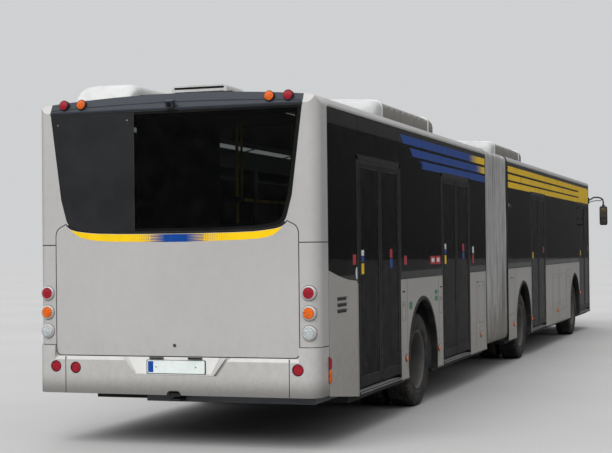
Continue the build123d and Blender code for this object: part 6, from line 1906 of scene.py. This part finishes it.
# ---------------------------------------------------------------- nose
def circle3(a, b, c):
    ax, ay, bx, by, cx, cy = *a, *b, *c
    d = 2 * (ax * (by - cy) + bx * (cy - ay) + cx * (ay - by))
    ux = ((ax * ax + ay * ay) * (by - cy) + (bx * bx + by * by) * (cy - ay) + (cx * cx + cy * cy) * (ay - by)) / d
    uy = ((ax * ax + ay * ay) * (cx - bx) + (bx * bx + by * by) * (ax - cx) + (cx * cx + cy * cy) * (bx - ax)) / d
    return ux, uy, math.hypot(ax - ux, ay - uy)


def nose_plan(drop, n_side=14, n_front=40):
    """Plan of the nose from the right to the left side: (s, y)."""
    half, knee, front, tip = 1.275 - drop, 1.043 - 0.84 * drop, 17.900 - 0.5 * drop, 18.000 - drop
    ux, uy, r = circle3((front, -knee), (tip, 0.0), (front, knee))
    a1 = math.asin(knee / r)
    arc_f = [(ux + r * math.cos(a), r * math.sin(a)) for a in [-a1 + 2 * a1 * i / n_front for i in range(n_front + 1)]]
    # side arc: tangent to +X at (17.62, half), ends at (front, knee)
    dx, dy = front - 17.62, half - knee
    rc = (dx * dx + dy * dy) / (2 * dy)
    a_end = math.asin(min(1.0, dx / rc))
    arc_s = [(17.62 + rc * math.sin(a_end * i / n_side), half - rc + rc * math.cos(a_end * i / n_side)) for i in range(n_side)]
    right = [(s, -y) for s, y in arc_s]
    return right + arc_f + list(reversed(arc_s))


def nose_s(y, drop):
    pts = nose_plan(drop)
    for (sa, ya), (sb, yb) in zip(pts, pts[1:]):
        if ya <= y <= yb:
            return sa + (sb - sa) * (y - ya) / (yb - ya) if yb > ya else sa
    return 17.62


def nose_strip(sh, y0, y1, z0, z1, d_out, d_in, n=36):
    """Strip that follows the nose between two widths and heights."""
    ys = [y0 + (y1 - y0) * i / n for i in range(n + 1)]
    rings = []
    for y in ys:
        so, si = nose_s(y, d_out), nose_s(y, d_in)
        rings.append([P(so, y, z0), P(so, y, z1), P(si, y, z1), P(si, y, z0)])
    sh.skin(rings)


def nose_wrap(sh, z0, z1, d_out, d_in):
    """Strip right round the nose, ending at the sides."""
    po, pi_ = nose_plan(d_out), nose_plan(d_in)
    sh.skin([[P(a[0], a[1], z0), P(a[0], a[1], z1), P(b[0], b[1], z1), P(b[0], b[1], z0)] for a, b in zip(po, pi_)])


def nose():
    g = body_paint("nose_paint_2", SILVER, black=lambda q: q.gt(q.z, 1.0008))
    paint_node("front_mask", g)
    # joints and trims
    sh = Shape()
    nose_wrap(sh, 0.9975, 1.0045, -0.0012, 0.004)
    nose_wrap(sh, 0.4485, 0.4525, -0.0006, 0.002)
    nose_wrap(sh, 0.8100, 0.8135, -0.0006, 0.002)
    nose_wrap(sh, 0.3285, 0.3420, -0.0040, 0.006)
    build(sh, "nose_joints", FS, ["rubber"], "black_plastic", sharp=30)
    # blank destination display, and the printed border of the windscreen, seen under the pane
    sh = Shape()
    nose_strip(sh, -0.86, 0.86, 2.510, 2.790, 0.0120, 0.0136)
    build(sh, "sign_front", FS, ["screen"], "black_plastic", sharp=30)
    sh = Shape()
    nose_strip(sh, -1.085, 1.085, 2.462, 2.500, 0.0118, 0.0130)
    nose_strip(sh, -1.085, -1.055, 1.082, 2.458, 0.0118, 0.0170, 4)
    nose_strip(sh, 1.055, 1.085, 1.082, 2.458, 0.0118, 0.0170, 4)
    build(sh, "screen_print", FS, ["frit"], "black_plastic", sharp=30)
    # wipers: spindle cap, arm, blade with its spring rail
    for k, (yp, yt) in enumerate(((0.62, -0.10), (-0.62, 0.10))):
        sh = Shape()
        zp = 0.965
        c = P(nose_s(yp, -0.0005), yp, zp)
        sh.use(0).lathe([(0, 0.026), (0.016, 0.025), (0.024, 0.018), (0.026, 0.001)], c, (1, 0, 0.05), 20)
        arm = []
        for i in range(15):
            t = i / 14
            y, z = yp + (yt - yp) * t * 0.86, zp + 0.13 * t + 0.01
            arm.append(P(nose_s(y, 0) + 0.020 + 0.006 * math.sin(PI * t), y, z))
        sh.tube(arm, [0.0095 - 0.004 * i / 14 for i in range(15)], 8)
        blade = []
        for i in range(25):
            t = i / 24
            y, z = yp + 0.10 * math.copysign(1, yp) + (yt - yp - 0.26 * math.copysign(1, yp)) * t, zp + 0.075 + 0.085 * t
            blade.append(P(nose_s(y, 0) + 0.0065, y, z))
        sh.tube(blade, 0.0052, 6)
        sh.use(1).tube([p - Vector((0.0035, 0, -0.004)) for p in blade], 0.0028, 6)
        mid = blade[12]
        sh.use(0).tube([arm[-1], mid + Vector((0.010, 0, 0.0)), mid + Vector((0.004, 0, 0))], 0.0075, 8)
        build(sh, "wiper_%d" % k, FS, ["black", "rubber"], "black_plastic", sharp=40)
    # grille behind the slot, plate carrier with a blank plate, towing cover, fog lamps
    sh = Shape()
    for i in range(45):
        y = -0.44 + 0.88 * i / 44
        s = nose_s(y, 0.020)
        sh.use(0).box(s - S0 - 0.004, s - S0 + 0.006, y - 0.0022, y + 0.0022, 0.532, 0.588)
    nose_strip(sh, -0.447, 0.447, 0.556, 0.564, 0.010, 0.022)
    nose_strip(sh, -0.460, 0.460, 0.5895, 0.6000, -0.004, 0.004)
    nose_strip(sh, -0.460, 0.460, 0.5200, 0.5305, -0.004, 0.004)
    nose_strip(sh, -0.455, 0.455, 0.531, 0.589, 0.030, 0.034)
    build(sh, "grille", FS, ["black"], "black_plastic", sharp=30)
    sh = Shape()
    sx = 18.0075
    sh.use(1).prism([(a, 0.394 + b) for a, b in round_rect(0, 0, 0.535, 0.122, 0.010)], "x", 17.985 - S0, sx - S0 - 0.0022)
    sh.use(0).prism([(a, 0.394 + b) for a, b in round_rect(0, 0, 0.520, 0.110, 0.010)], "x", sx - S0 - 0.0022, sx - S0)
    a, b = round_rect(0, 0, 0.520, 0.110, 0.010), round_rect(0, 0, 0.510, 0.100, 0.007)
    sh.skin([[P(sx, p, 0.394 + q) for p, q in a], [P(sx + 0.001, p * 0.992, 0.394 + q * 0.97) for p, q in a],
             [P(sx + 0.001, p, 0.394 + q) for p, q in b], [P(sx, p, 0.394 + q) for p, q in b]], loop=True)
    sh.use(2).prism([(-0.205, 0.348), (-0.253, 0.348), (-0.253, 0.440), (-0.205, 0.440)], "x", sx - S0 - 0.0004, sx - S0 + 0.0005)
    build(sh, "front_plate", FS, ["plate", "black", "blue"], "roof_unit_white", sharp=30)
    sh = Shape()
    for side in (1, -1):
        y = side * 0.80
        c = P(nose_s(y, 0.002), y, 0.395)
        lamp_unit(sh, c, (1, 0, 0), 0.052, 0.043, 0.012, 1, bezel_slot=0, back=0.02)
    build(sh, "fog_lamps", FS, ["black", "lamp_white"], "lamp_lens", sharp=40)
    # headlamps: dark bowl, two reflectors, turn lamp, clear cover
    for side in (1, -1):
        nm = "left" if side > 0 else "right"
        sh = Shape()
        ys = [side * (0.797 + 0.286 * i / 14) for i in range(15)]
        rings = []
        for y in ys:
            s_in = nose_s(y, 0.056)
            rings.append([P(s_in, y, 0.551), P(s_in, y, 0.729), P(s_in - 0.004, y, 0.729), P(s_in - 0.004, y, 0.551)])
        sh.use(0).skin(rings)
        for z0, z1 in ((0.550, 0.554), (0.726, 0.730)):
            sh.skin([[P(nose_s(y, 0.004), y, z0), P(nose_s(y, 0.004), y, z1), P(nose_s(y, 0.058), y, z1), P(nose_s(y, 0.058), y, z0)] for y in ys])
        for y, r, m_ in ((0.872, 0.066, 1), (1.000, 0.052, 1)):
            yy = side * y
            c = P(nose_s(yy, 0.052), yy, 0.645)
            sh.use(m_).lathe([(-0.004, 0.020), (0.002, 0.024), (0.010, r * 0.62), (0.022, r * 0.88), (0.034, r), (0.037, r),
                              (0.037, r * 1.06), (0.030, r * 1.06), (-0.004, r * 0.7)], c, (1, 0, 0), 40, loop=True)
            sh.use(2).lathe([(0.000, 0.012), (0.014, 0.012), (0.020, 0.008), (0.0215, 0.001)], c, (1, 0, 0), 20)
        build(sh, "headlamp_bowl_" + nm, FS, ["black", "chrome", "lamp_white"], "grey_plastic", sharp=45)
        sh = Shape()
        for i in range(6):
            y = side * (1.052 + 0.0)
        rings = []
        for y in [side * (1.050 + 0.030 * i / 4) for i in range(5)]:
            s_ = nose_s(y, 0.012)
            rings.append([P(s_, y, 0.575), P(s_, y, 0.705), P(s_ - 0.010, y, 0.705), P(s_ - 0.010, y, 0.575)])
        sh.skin(rings)
        build(sh, "turn_lamp_" + nm, FS, ["orange"], "lamp_lens", sharp=40)
        sh = Shape()
        rings = []
        for y in ys:
            so, si = nose_s(y, 0.0025), nose_s(y, 0.0055)
            rings.append([P(so, y, 0.5505), P(so, y, 0.7295), P(si, y, 0.7295), P(si, y, 0.5505)])
        sh.skin(rings)
        kw = dict(replace=["headlamps"]) if side > 0 else {}
        build(sh, "headlamp_cover_" + nm, FS, ["clear"], "lamp_lens", sharp=40, **kw)
    # tow socket cover rim
    sh = Shape()
    sh.lathe([(0.0, 0.030), (0.003, 0.030), (0.005, 0.027), (0.0045, 0.0165), (-0.01, 0.0162)], P(nose_s(-0.56, 0) + 0.0, -0.56, 0.430), (1, 0, 0), 28)
    build(sh, "tow_rim", FS, ["steel"], "cast_metal")


nose()


def mirrors():
    for side in (1, -1):
        nm = "left" if side > 0 else "right"
        sh = Shape()
        # pad on the pillar, arm in a smooth bow, second thin stay
        y = side * 1.2265
        sh.use(0).sbox(17.768, 17.822, side * 1.205, side * 1.2715, 2.494, 2.616)
        ctrl = [(17.800, 1.262, 2.560), (17.86, 1.300, 2.588), (17.950, 1.345, 2.624), (18.060, 1.410, 2.630), (18.150, 1.470, 2.612),
                (18.193, 1.500, 2.580), (18.204, 1.508, 2.520), (18.205, 1.508, 2.440)]
        sh.tube([P(s, side * y_, z) for s, y_, z in ctrl], 0.0155, 12)
        ctrl = [(17.795, 1.258, 2.512), (17.90, 1.318, 2.545), (18.03, 1.395, 2.560), (18.12, 1.452, 2.560), (18.17, 1.485, 2.585)]
        sh.tube([P(s, side * y_, z) for s, y_, z in ctrl], 0.008, 8)
        # clamp on the head
        sh.lathe([(0, 0.026), (0.004, 0.030), (0.040, 0.030), (0.046, 0.024)], P(18.205, side * 1.508, 2.435), (0, 0, 1), 20)
        # head: rounded shell
        base = round_rect(0, 0, 0.186, 0.152, 0.058, 7)
        rings = []
        for z, k in ((2.062, 0.60), (2.064, 0.78), (2.072, 0.90), (2.090, 0.97), (2.120, 1.0), (2.250, 1.0), (2.390, 1.0), (2.420, 0.97),
                     (2.438, 0.90), (2.446, 0.78), (2.448, 0.60)):
            rings.append([P(18.205 + a * k, side * 1.508 + b * k, z) for a, b in base])
        sh.skin(rings)
        build(sh, "mirror_shell_" + nm, FS, ["black"], "black_plastic", sharp=50, bevel=0.0, replace=["mirrors"] if side > 0 else ())
        sh = Shape()
        for z0, z1 in ((2.205, 2.415), (2.088, 2.195)):
            cz = (z0 + z1) / 2
            o = round_rect(0, 0, 0.128, z1 - z0, 0.022, 5)
            sh.use(0).skin([[P(18.1135, side * 1.508 + a, cz + b) for a, b in o], [P(18.1105, side * 1.508 + a, cz + b) for a, b in o],
                            [P(18.1095, side * 1.508 + a * 0.94, cz + b * 0.965) for a, b in o],
                            [P(18.1115, side * 1.508 + a * 0.93, cz + b * 0.96) for a, b in o]], caps=False)
            sh.use(1).skin([[P(18.1135, side * 1.508 + a * 0.945, cz + b * 0.965) for a, b in o],
                            [P(18.1108, side * 1.508 + a * 0.94, cz + b * 0.962) for a, b in o]])
        build(sh, "mirror_glass_" + nm, FS, ["rubber", "chrome"], "cast_metal", sharp=30)


mirrors()

# ---------------------------------------------------------------- inside
FLOOR = 0.372


def pad_mesh(w, d, t, nu=18, nv=14, channels=(), pull=0.045, flat=True):
    """Crowned pad with a flat underside: width w (u), depth d (v), height t; sides pull in between the corners."""
    verts, faces = [], []
    top, low = [], []
    for j in range(nv + 1):
        v = -1 + 2 * j / nv
        rt, rl = [], []
        for i in range(nu + 1):
            u = -1 + 2 * i / nu
            uu, vv = math.copysign(abs(u) ** 0.85, u), math.copysign(abs(v) ** 0.85, v)
            x = uu * (w / 2) * (1 - pull * (1 - vv * vv) * abs(uu) ** 3)
            y = vv * (d / 2) * (1 - pull * (1 - uu * uu) * abs(vv) ** 3)
            # rounded corners in plan
            m = max(0.0, abs(uu) + abs(vv) - 1.55)
            x *= 1 - 0.16 * m
            y *= 1 - 0.16 * m
            e = max(0.0, (1 - abs(uu) ** 5) * (1 - abs(vv) ** 5)) ** 0.42
            h = t * (0.18 + 0.82 * e * (1 - 0.16 * (uu * uu + vv * vv)))
            for axis, at_, wid, deep in channels:
                q = (uu if axis == "u" else vv) - at_
                h -= deep * math.exp(-(q / wid) ** 2) * e
            if e == 0.0:
                h = t * 0.18
            rt.append(len(verts))
            verts.append((x, y, h))
            if 0 < i < nu and 0 < j < nv:
                rl.append(len(verts))
                verts.append((x * 0.985, y * 0.985, 0.0))
            else:
                rl.append(len(verts))
                verts.append((x * 0.985, y * 0.985, 0.0))
        top.append(rt)
        low.append(rl)
    for j in range(nv):
        for i in range(nu):
            faces.append((top[j][i], top[j][i + 1], top[j + 1][i + 1], top[j + 1][i]))
            faces.append((low[j][i], low[j + 1][i], low[j + 1][i + 1], low[j][i + 1]))
    for i in range(nu):
        faces.append((top[0][i], low[0][i], low[0][i + 1], top[0][i + 1]))
        faces.append((top[nv][i], top[nv][i + 1], low[nv][i + 1], low[nv][i]))
    for j in range(nv):
        faces.append((top[j][0], top[j + 1][0], low[j + 1][0], low[j][0]))
        faces.append((top[j][nu], low[j][nu], low[j + 1][nu], top[j + 1][nu]))
    return verts, faces


def swell(verts, faces, cap):
    """Cloth run that fills a pad with air, with each point's travel capped; gives the new points."""
    me = bpy.data.meshes.new("swell")
    me.from_pydata(verts, [], faces)
    o = bpy.data.objects.new("swell", me)
    bpy.context.scene.collection.objects.link(o)
    grp = o.vertex_groups.new(name="pin")
    grp.add([i for i, v in enumerate(verts) if v[2] <= 1e-6], 1.0, "REPLACE")
    mod = o.modifiers.new("cloth", "CLOTH")
    c = mod.settings
    c.quality = 5
    c.mass = 0.3
    c.tension_stiffness = 12.0
    c.compression_stiffness = 12.0
    c.bending_stiffness = 0.6
    c.use_pressure = True
    c.uniform_pressure_force = 4.0
    c.effector_weights.gravity = 0.0
    c.vertex_group_mass = "pin"
    mod.collision_settings.use_collision = False
    sc = bpy.context.scene
    for f in range(1, 13):
        sc.frame_set(f)
    dg = bpy.context.evaluated_depsgraph_get()
    ev = o.evaluated_get(dg).to_mesh()
    out = []
    for a, b in zip(verts, ev.vertices):
        d = b.co - Vector(a)
        if d.length > cap:
            d = d * (cap / d.length)
        out.append(tuple(Vector(a) + d))
    o.evaluated_get(dg).to_mesh_clear()
    sc.frame_set(1)
    bpy.data.objects.remove(o)
    bpy.data.meshes.remove(me)
    return out


SEAT_PAD = pad_mesh(0.395, 0.350, 0.040, channels=(("v", -0.42, 0.07, 0.006), ("v", 0.42, 0.07, 0.006), ("u", -0.62, 0.06, 0.005),
                                                    ("u", 0.62, 0.06, 0.005)))
BACK_PAD = pad_mesh(0.385, 0.560, 0.026, nu=16, nv=20, channels=(("v", 0.55, 0.05, 0.006), ("v", -0.1, 0.04, 0.004),
                                                                 ("u", -0.62, 0.06, 0.005), ("u", 0.62, 0.06, 0.005)))
SEAT_PAD = (swell(SEAT_PAD[0], SEAT_PAD[1], 0.007), SEAT_PAD[1])
BACK_PAD = (swell(BACK_PAD[0], BACK_PAD[1], 0.005), BACK_PAD[1])

FRONT_SEATS = [(9.735, 0.930, 0.480, 1, -1), (9.865, 0.930, 0.480, 1, 1), (9.735, -0.930, 0.480, 1, -1),
               (9.865, -0.930, 0.480, 1, 1), (11.000, 0.775, 0.840, 0, 1), (11.800, 0.775, 0.840, 0, 1),
               (12.600, 0.775, 0.840, 0, 1), (13.400, 0.775, 0.840, 0, 1), (14.150, 0.775, 0.840, 0, 1),
               (12.300, -0.800, 0.780, 0, 1), (13.100, -0.800, 0.780, 0, 1), (13.900, -0.800, 0.780, 0, 1),
               (15.250, 0.930, 0.480, 1, 1), (15.250, -0.930, 0.480, 1, 1), (16.520, 0.700, 0.520, 0, 1)]
REAR_SEATS = [(3.485, 0.900, 0.560, 1, -1), (3.615, 0.900, 0.560, 1, 1), (3.485, -0.900, 0.560, 1, -1),
              (3.615, -0.900, 0.560, 1, 1), (4.500, 0.775, 0.840, 0, 1), (5.300, 0.775, 0.840, 0, 1),
              (6.100, 0.775, 0.840, 0, 1), (6.240, -0.800, 0.780, 0, 1), (2.050, 0.775, 0.840, 0, 1)]


def place_pad(sh, pad, origin, u, v, w, scale_u=1.0):
    pts = [origin + u * (p[0] * scale_u) + v * p[1] + w * p[2] for p in pad[0]]
    sh.put(pts, pad[1])


def seats():
    for name, node, table, body in (("front", "front_seats", FRONT_SEATS, FS), ("rear", "rear_seats", REAR_SEATS, RS)):
        shells, pads, feet, bars = Shape(), Shape(), Shape(), Shape()
        for s, y, w, high, way in table:
            base = 1.151 if high else FLOOR
            pan = base + (0.060 if high else 0.400)
            count = 2 if w > 0.7 else 1
            each = w / count
            for k in range(count):
                cy = y - w / 2 + each * (k + 0.5)
                hw = each / 2 - 0.012
                # one-piece shell: pan, bend and back, with rolled edge
                prof = [(0.455, 0.020), (0.470, 0.038), (0.462, 0.052), (0.30, 0.044), (0.15, 0.040), (0.098, 0.060), (0.070, 0.13),
                        (0.028, 0.36), (-0.002, 0.560), (-0.014, 0.628), (-0.026, 0.640), (-0.040, 0.634), (-0.032, 0.560), (0.004, 0.34),
                        (0.046, 0.10), (0.070, 0.035), (0.110, 0.016), (0.30, 0.012)]
                rings = []
                for t, sq in ((-1.0, 0.965), (-0.96, 1.0), (0.96, 1.0), (1.0, 0.965)):
                    rings.append([P(s + way * (0.22 + (a - 0.22) * sq), cy + hw * t, pan + 0.30 + (b - 0.30) * sq) for a, b in prof])
                shells.use(0).skin(rings)
                u = Vector((0, 1, 0)) * way
                f = hw * 2 / 0.440
                # seat pad and back pad
                place_pad(pads, SEAT_PAD, P(s + way * 0.285, cy, pan + 0.042), Vector((0, 1, 0)), Vector((way, 0, 0.03)).normalized(),
                          Vector((0, 0, 1)), f)
                vb = Vector((way * -0.158, 0, 1)).normalized()
                wb = Vector((way * 1.0, 0, 0.158)).normalized()
                place_pad(pads, BACK_PAD, P(s + way * 0.043, cy, pan + 0.345), Vector((0, 1, 0)), vb, wb, f)
                # grip on the top of the back
                bars.tube([P(s - way * 0.030, cy - hw * 0.72, pan + 0.600), P(s - way * 0.034, cy - hw * 0.66, pan + 0.634),
                           P(s - way * 0.036, cy - hw * 0.45, pan + 0.650), P(s - way * 0.036, cy + hw * 0.45, pan + 0.650),
                           P(s - way * 0.034, cy + hw * 0.66, pan + 0.634), P(s - way * 0.030, cy + hw * 0.72, pan + 0.600)], 0.010, 8)
            # cantilever foot
            if high:
                feet.sbox(min(s + way * 0.14, s + way * 0.36), max(s + way * 0.14, s + way * 0.36), y - w / 2 + 0.03, y + w / 2 - 0.03,
                          base + 0.002, pan + 0.020)
            else:
                for dy in (-w * 0.28, w * 0.28):
                    feet.prism([(s + way * 0.15 - S0, base + 0.002), (s + way * 0.33 - S0, base + 0.002), (s + way * 0.30 - S0, base + 0.03),
                                (s + way * 0.27 - S0, pan + 0.02), (s + way * 0.20 - S0, pan + 0.02), (s + way * 0.18 - S0, base + 0.03)], "y",
                               y + dy - 0.02, y + dy + 0.02)
                feet.sbox(min(s + way * 0.16, s + way * 0.40), max(s + way * 0.16, s + way * 0.40), y - w / 2 + 0.03, y + w / 2 - 0.03,
                          pan - 0.012, pan + 0.018)
        if name == "rear":
            # rear bench: upholstered row on a boxed platform
            z = 0.940
            for k in range(4):
                cy = -1.190 + 1.510 * (k + 0.5) / 4
                place_pad(pads, SEAT_PAD, P(0.590, cy, 0.948), Vector((0, 1, 0)), Vector((1, 0, 0.02)).normalized(), Vector((0, 0, 1)), 0.93)
                place_pad(pads, BACK_PAD, P(0.318, cy, 1.290), Vector((0, 1, 0)), Vector((-0.155, 0, 1)).normalized(),
                          Vector((1, 0, 0.155)).normalized(), 0.95)
            shells.use(0).prism([(0.160 - S0, 0.376), (0.818 - S0, 0.376), (0.818 - S0, 0.900), (0.788 - S0, 0.945), (0.40 - S0, 0.945),
                                 (0.348 - S0, 0.975), (0.240 - S0, 1.636), (0.192 - S0, 1.636), (0.290 - S0, 0.940), (0.160 - S0, 0.930)], "y",
                                -1.188, 0.318)
        build(shells, name + "_seat_shells", body, ["shell"], "grey_plastic", sharp=34, bevel=0.003, seg=1, replace=[node])
        po = build(pads, name + "_seat_pads", body, ["seat"], "seat_fabric", sharp=60)
        build(feet, name + "_seat_feet", body, ["steel"], "cast_metal", bevel=0.004, seg=1)
        build(bars, name + "_seat_grips", body, ["hand"], "handrail_yellow")


seats()


def rail_fittings():
    for name, body, s0, s1, poles in (("front", FS, 9.0, 15.9, (9.0, 10.45, 12.05, 13.6, 14.75, 15.9)), ("rear", RS, 2.3, 6.5, (2.3, 4.3, 6.3))):
        sh, straps, btn = Shape(), Shape(), Shape()
        for s in poles:
            for sg in (1, -1):
                # foot flange and the clamp that ties pole and rail
                sh.lathe([(0, 0.045), (0.006, 0.045), (0.012, 0.030), (0.022, 0.021)], P(s, sg * 0.312, FLOOR + 0.001), (0, 0, 1), 24)
                sh.lathe([(-0.030, 0.021), (-0.026, 0.0235), (0.026, 0.0235), (0.030, 0.021)], P(s, sg * 0.312, 2.150), (0, 0, 1), 20)
                sh.lathe([(-0.032, 0.021), (-0.028, 0.0235), (0.028, 0.0235), (0.032, 0.021)],
                         P(s + (0.02 if s == s0 else -0.02) * 0, sg * 0.270, 2.150), (1, 0, 0), 20)
                # stop button box on the pole
                if sg < 0:
                    btn.use(0).box(s - S0 - 0.026, s - S0 + 0.026, sg * 0.312 - 0.024, sg * 0.312 + 0.024, 1.38, 1.50)
                    btn.use(1).lathe([(0, 0.018), (0.006, 0.018), (0.010, 0.014), (0.011, 0.001)], P(s - 0.026, sg * 0.312, 1.455), (-1, 0, 0), 20)
        k = 0
        s = s0 + 0.35
        while s < s1 - 0.2:
            for sg in (1, -1):
                c = P(s, sg * 0.270, 2.150)
                straps.use(0).lathe([(-0.016, 0.0195), (0.016, 0.0195), (0.016, 0.0175), (-0.016, 0.0175)], c, (1, 0, 0), 20, loop=True)
                straps.sbox(s - 0.012, s + 0.012, sg * 0.270 - 0.002, sg * 0.270 + 0.002, 1.985, 2.131)
                ring = [c + Vector((0.058 * math.sin(a) * (1.0), 0, -0.205 + 0.050 * math.cos(a))) for a in [2 * PI * i / 22 for i in range(22)]]
                straps.use(1).tube(ring, 0.0075, 8, closed=True)
            s += 0.72
        build(sh, name + "_rail_clamps", body, ["black"], "black_plastic", sharp=35)
        build(straps, name + "_hand_straps", body, ["rubber", "grey"], "grey_plastic", sharp=35)
        build(btn, name + "_stop_buttons", body, ["hand", "red"], "handrail_yellow", bevel=0.003)


rail_fittings()


def ceiling():
    g = Mat("lamp_diffuser")
    broad = g.noise(3.0, 2.0)
    c = g.mix(broad, (0.60, 0.61, 0.60), (0.70, 0.71, 0.70))
    M["diffuser"] = g.finish(g.principled(c, 0.45, 0.0, g.bump(g.cells(300.0), 0.1, 0.0005), emit=0.35, emit_colour=(0.95, 0.97, 1.0)))
    for body, lo, hi in ((RS, 0.34, 6.90), (FS, 8.56, 17.2)):
        sh = Shape()
        for sg in (1, -1):
            # moulded duct in the corner of the ceiling, with a light strip
            sec = [(1.205, 2.60), (1.190, 2.60), (1.10, 2.70), (1.02, 2.765), (0.86, 2.805), (0.80, 2.812), (0.80, 2.840), (1.15, 2.835), (1.205, 2.80)]
            n = 6
            segs = [(lo, hi)]
            sh.use(0)
            for a, b in segs:
                m = int((b - a) / 1.2)
                for i in range(m):
                    p, q = a + (b - a) * i / m + 0.003, a + (b - a) * (i + 1) / m - 0.003
                    sh.skin([[P(s, sg * y, z) for y, z in sec] for s in (p, q)])
                    lp = [(0.97, 2.782), (0.88, 2.802), (0.875, 2.796), (0.965, 2.774)]
                    sh.use(1).skin([[P(s, sg * y, z) for y, z in lp] for s in (p + 0.06, q - 0.06)])
                    sh.use(0)
        build(sh, "ceiling_duct_" + ("rear" if body == RS else "front"), body, ["lining", "diffuser"], "grey_plastic", sharp=32)


ceiling()


def driver_place():
    sh = Shape()
    prof = [(17.180, 0.376), (17.640, 0.376), (17.640, 1.150), (17.600, 1.165), (17.480, 1.178), (17.300, 1.110), (17.236, 1.076),
            (17.214, 1.000), (17.340, 0.940), (17.300, 0.700), (17.180, 0.640)]
    sh.use(0).prism([(s - S0, z) for s, z in prof], "y", 0.152, 1.148)
    # instrument hood, screen and switch rows
    hood = [(17.250, 1.100), (17.310, 1.150), (17.420, 1.175), (17.420, 1.160), (17.320, 1.120), (17.262, 1.090)]
    sh.use(0).prism([(s - S0, z) for s, z in hood], "y", 0.560, 0.960)
    ax = Vector((-0.80, 0, 0.60)).normalized()
    up = Vector((0.60, 0, 0.80)).normalized()
    for cy, w, h, k in ((0.760, 0.30, 0.10, 1), (0.34, 0.20, 0.13, 1)):
        c = P(17.262, cy, 1.085)
        o = round_rect(0, 0, w, h, 0.012)
        sh.use(k).skin([[c + ax * d + Vector((0, a, 0)) + up * b * 0.35 for a, b in o] for d in (-0.004, 0.008)])
    for i in range(7):
        c = P(17.228, 0.50 + 0.085 * i - 0.02, 1.040)
        sh.use(2).box(c.x - 0.006, c.x + 0.012, c.y - 0.014, c.y + 0.014, c.z - 0.010, c.z + 0.010)
    # partition behind the driver: frame, lower panel, pane
    for y0, y1, z0, z1 in ((0.402, 1.198, 0.376, 1.250),):
        sh.use(0).sbox(16.238, 16.262, y0, y1, z0, z1)
    for y0, y1, z0, z1 in ((0.402, 0.432, 1.25, 2.070), (1.168, 1.198, 1.25, 2.070), (0.432, 1.168, 2.040, 2.070)):
        sh.use(2).sbox(16.236, 16.264, y0, y1, z0, z1)
    # steering column and wheel
    ctr = P(17.260 - 0.42 * 0.130, 0.760, 1.010 + 0.91 * 0.130)
    n = Vector((-0.42, 0, 0.91)).normalized()
    e1 = Vector((0, 1, 0))
    e2 = n.cross(e1)
    ring = [ctr + (e1 * math.cos(a) + e2 * math.sin(a)) * 0.2125 for a in [2 * PI * i / 56 for i in range(56)]]
    sh.use(3).tube(ring, 0.0135, 12, closed=True)
    for k in range(4):
        a = PI / 4 + PI / 2 * k
        d = e1 * math.cos(a) + e2 * math.sin(a)
        sh.tube([ctr + d * 0.045 - n * 0.004, ctr + d * 0.12 - n * 0.002, ctr + d * 0.208], [0.016, 0.012, 0.010], 8)
    sh.lathe([(-0.020, 0.050), (0.002, 0.062), (0.010, 0.058), (0.014, 0.045), (0.015, 0.001)], ctr, n, 28)
    sh.lathe([(-0.28, 0.036), (-0.26, 0.040), (-0.02, 0.034), (-0.015, 0.02)], ctr, n, 20)
    build(sh, "driver_place", FS, ["cab", "screen", "black", "rubber"], "grey_plastic", sharp=34, bevel=0.004, seg=1, replace=["driver_cab"])
    sh = Shape()
    sh.sbox(16.246, 16.252, 0.436, 1.164, 1.252, 2.038)
    build(sh, "driver_screen", FS, ["door_glass"], "tinted_glass")


driver_place()
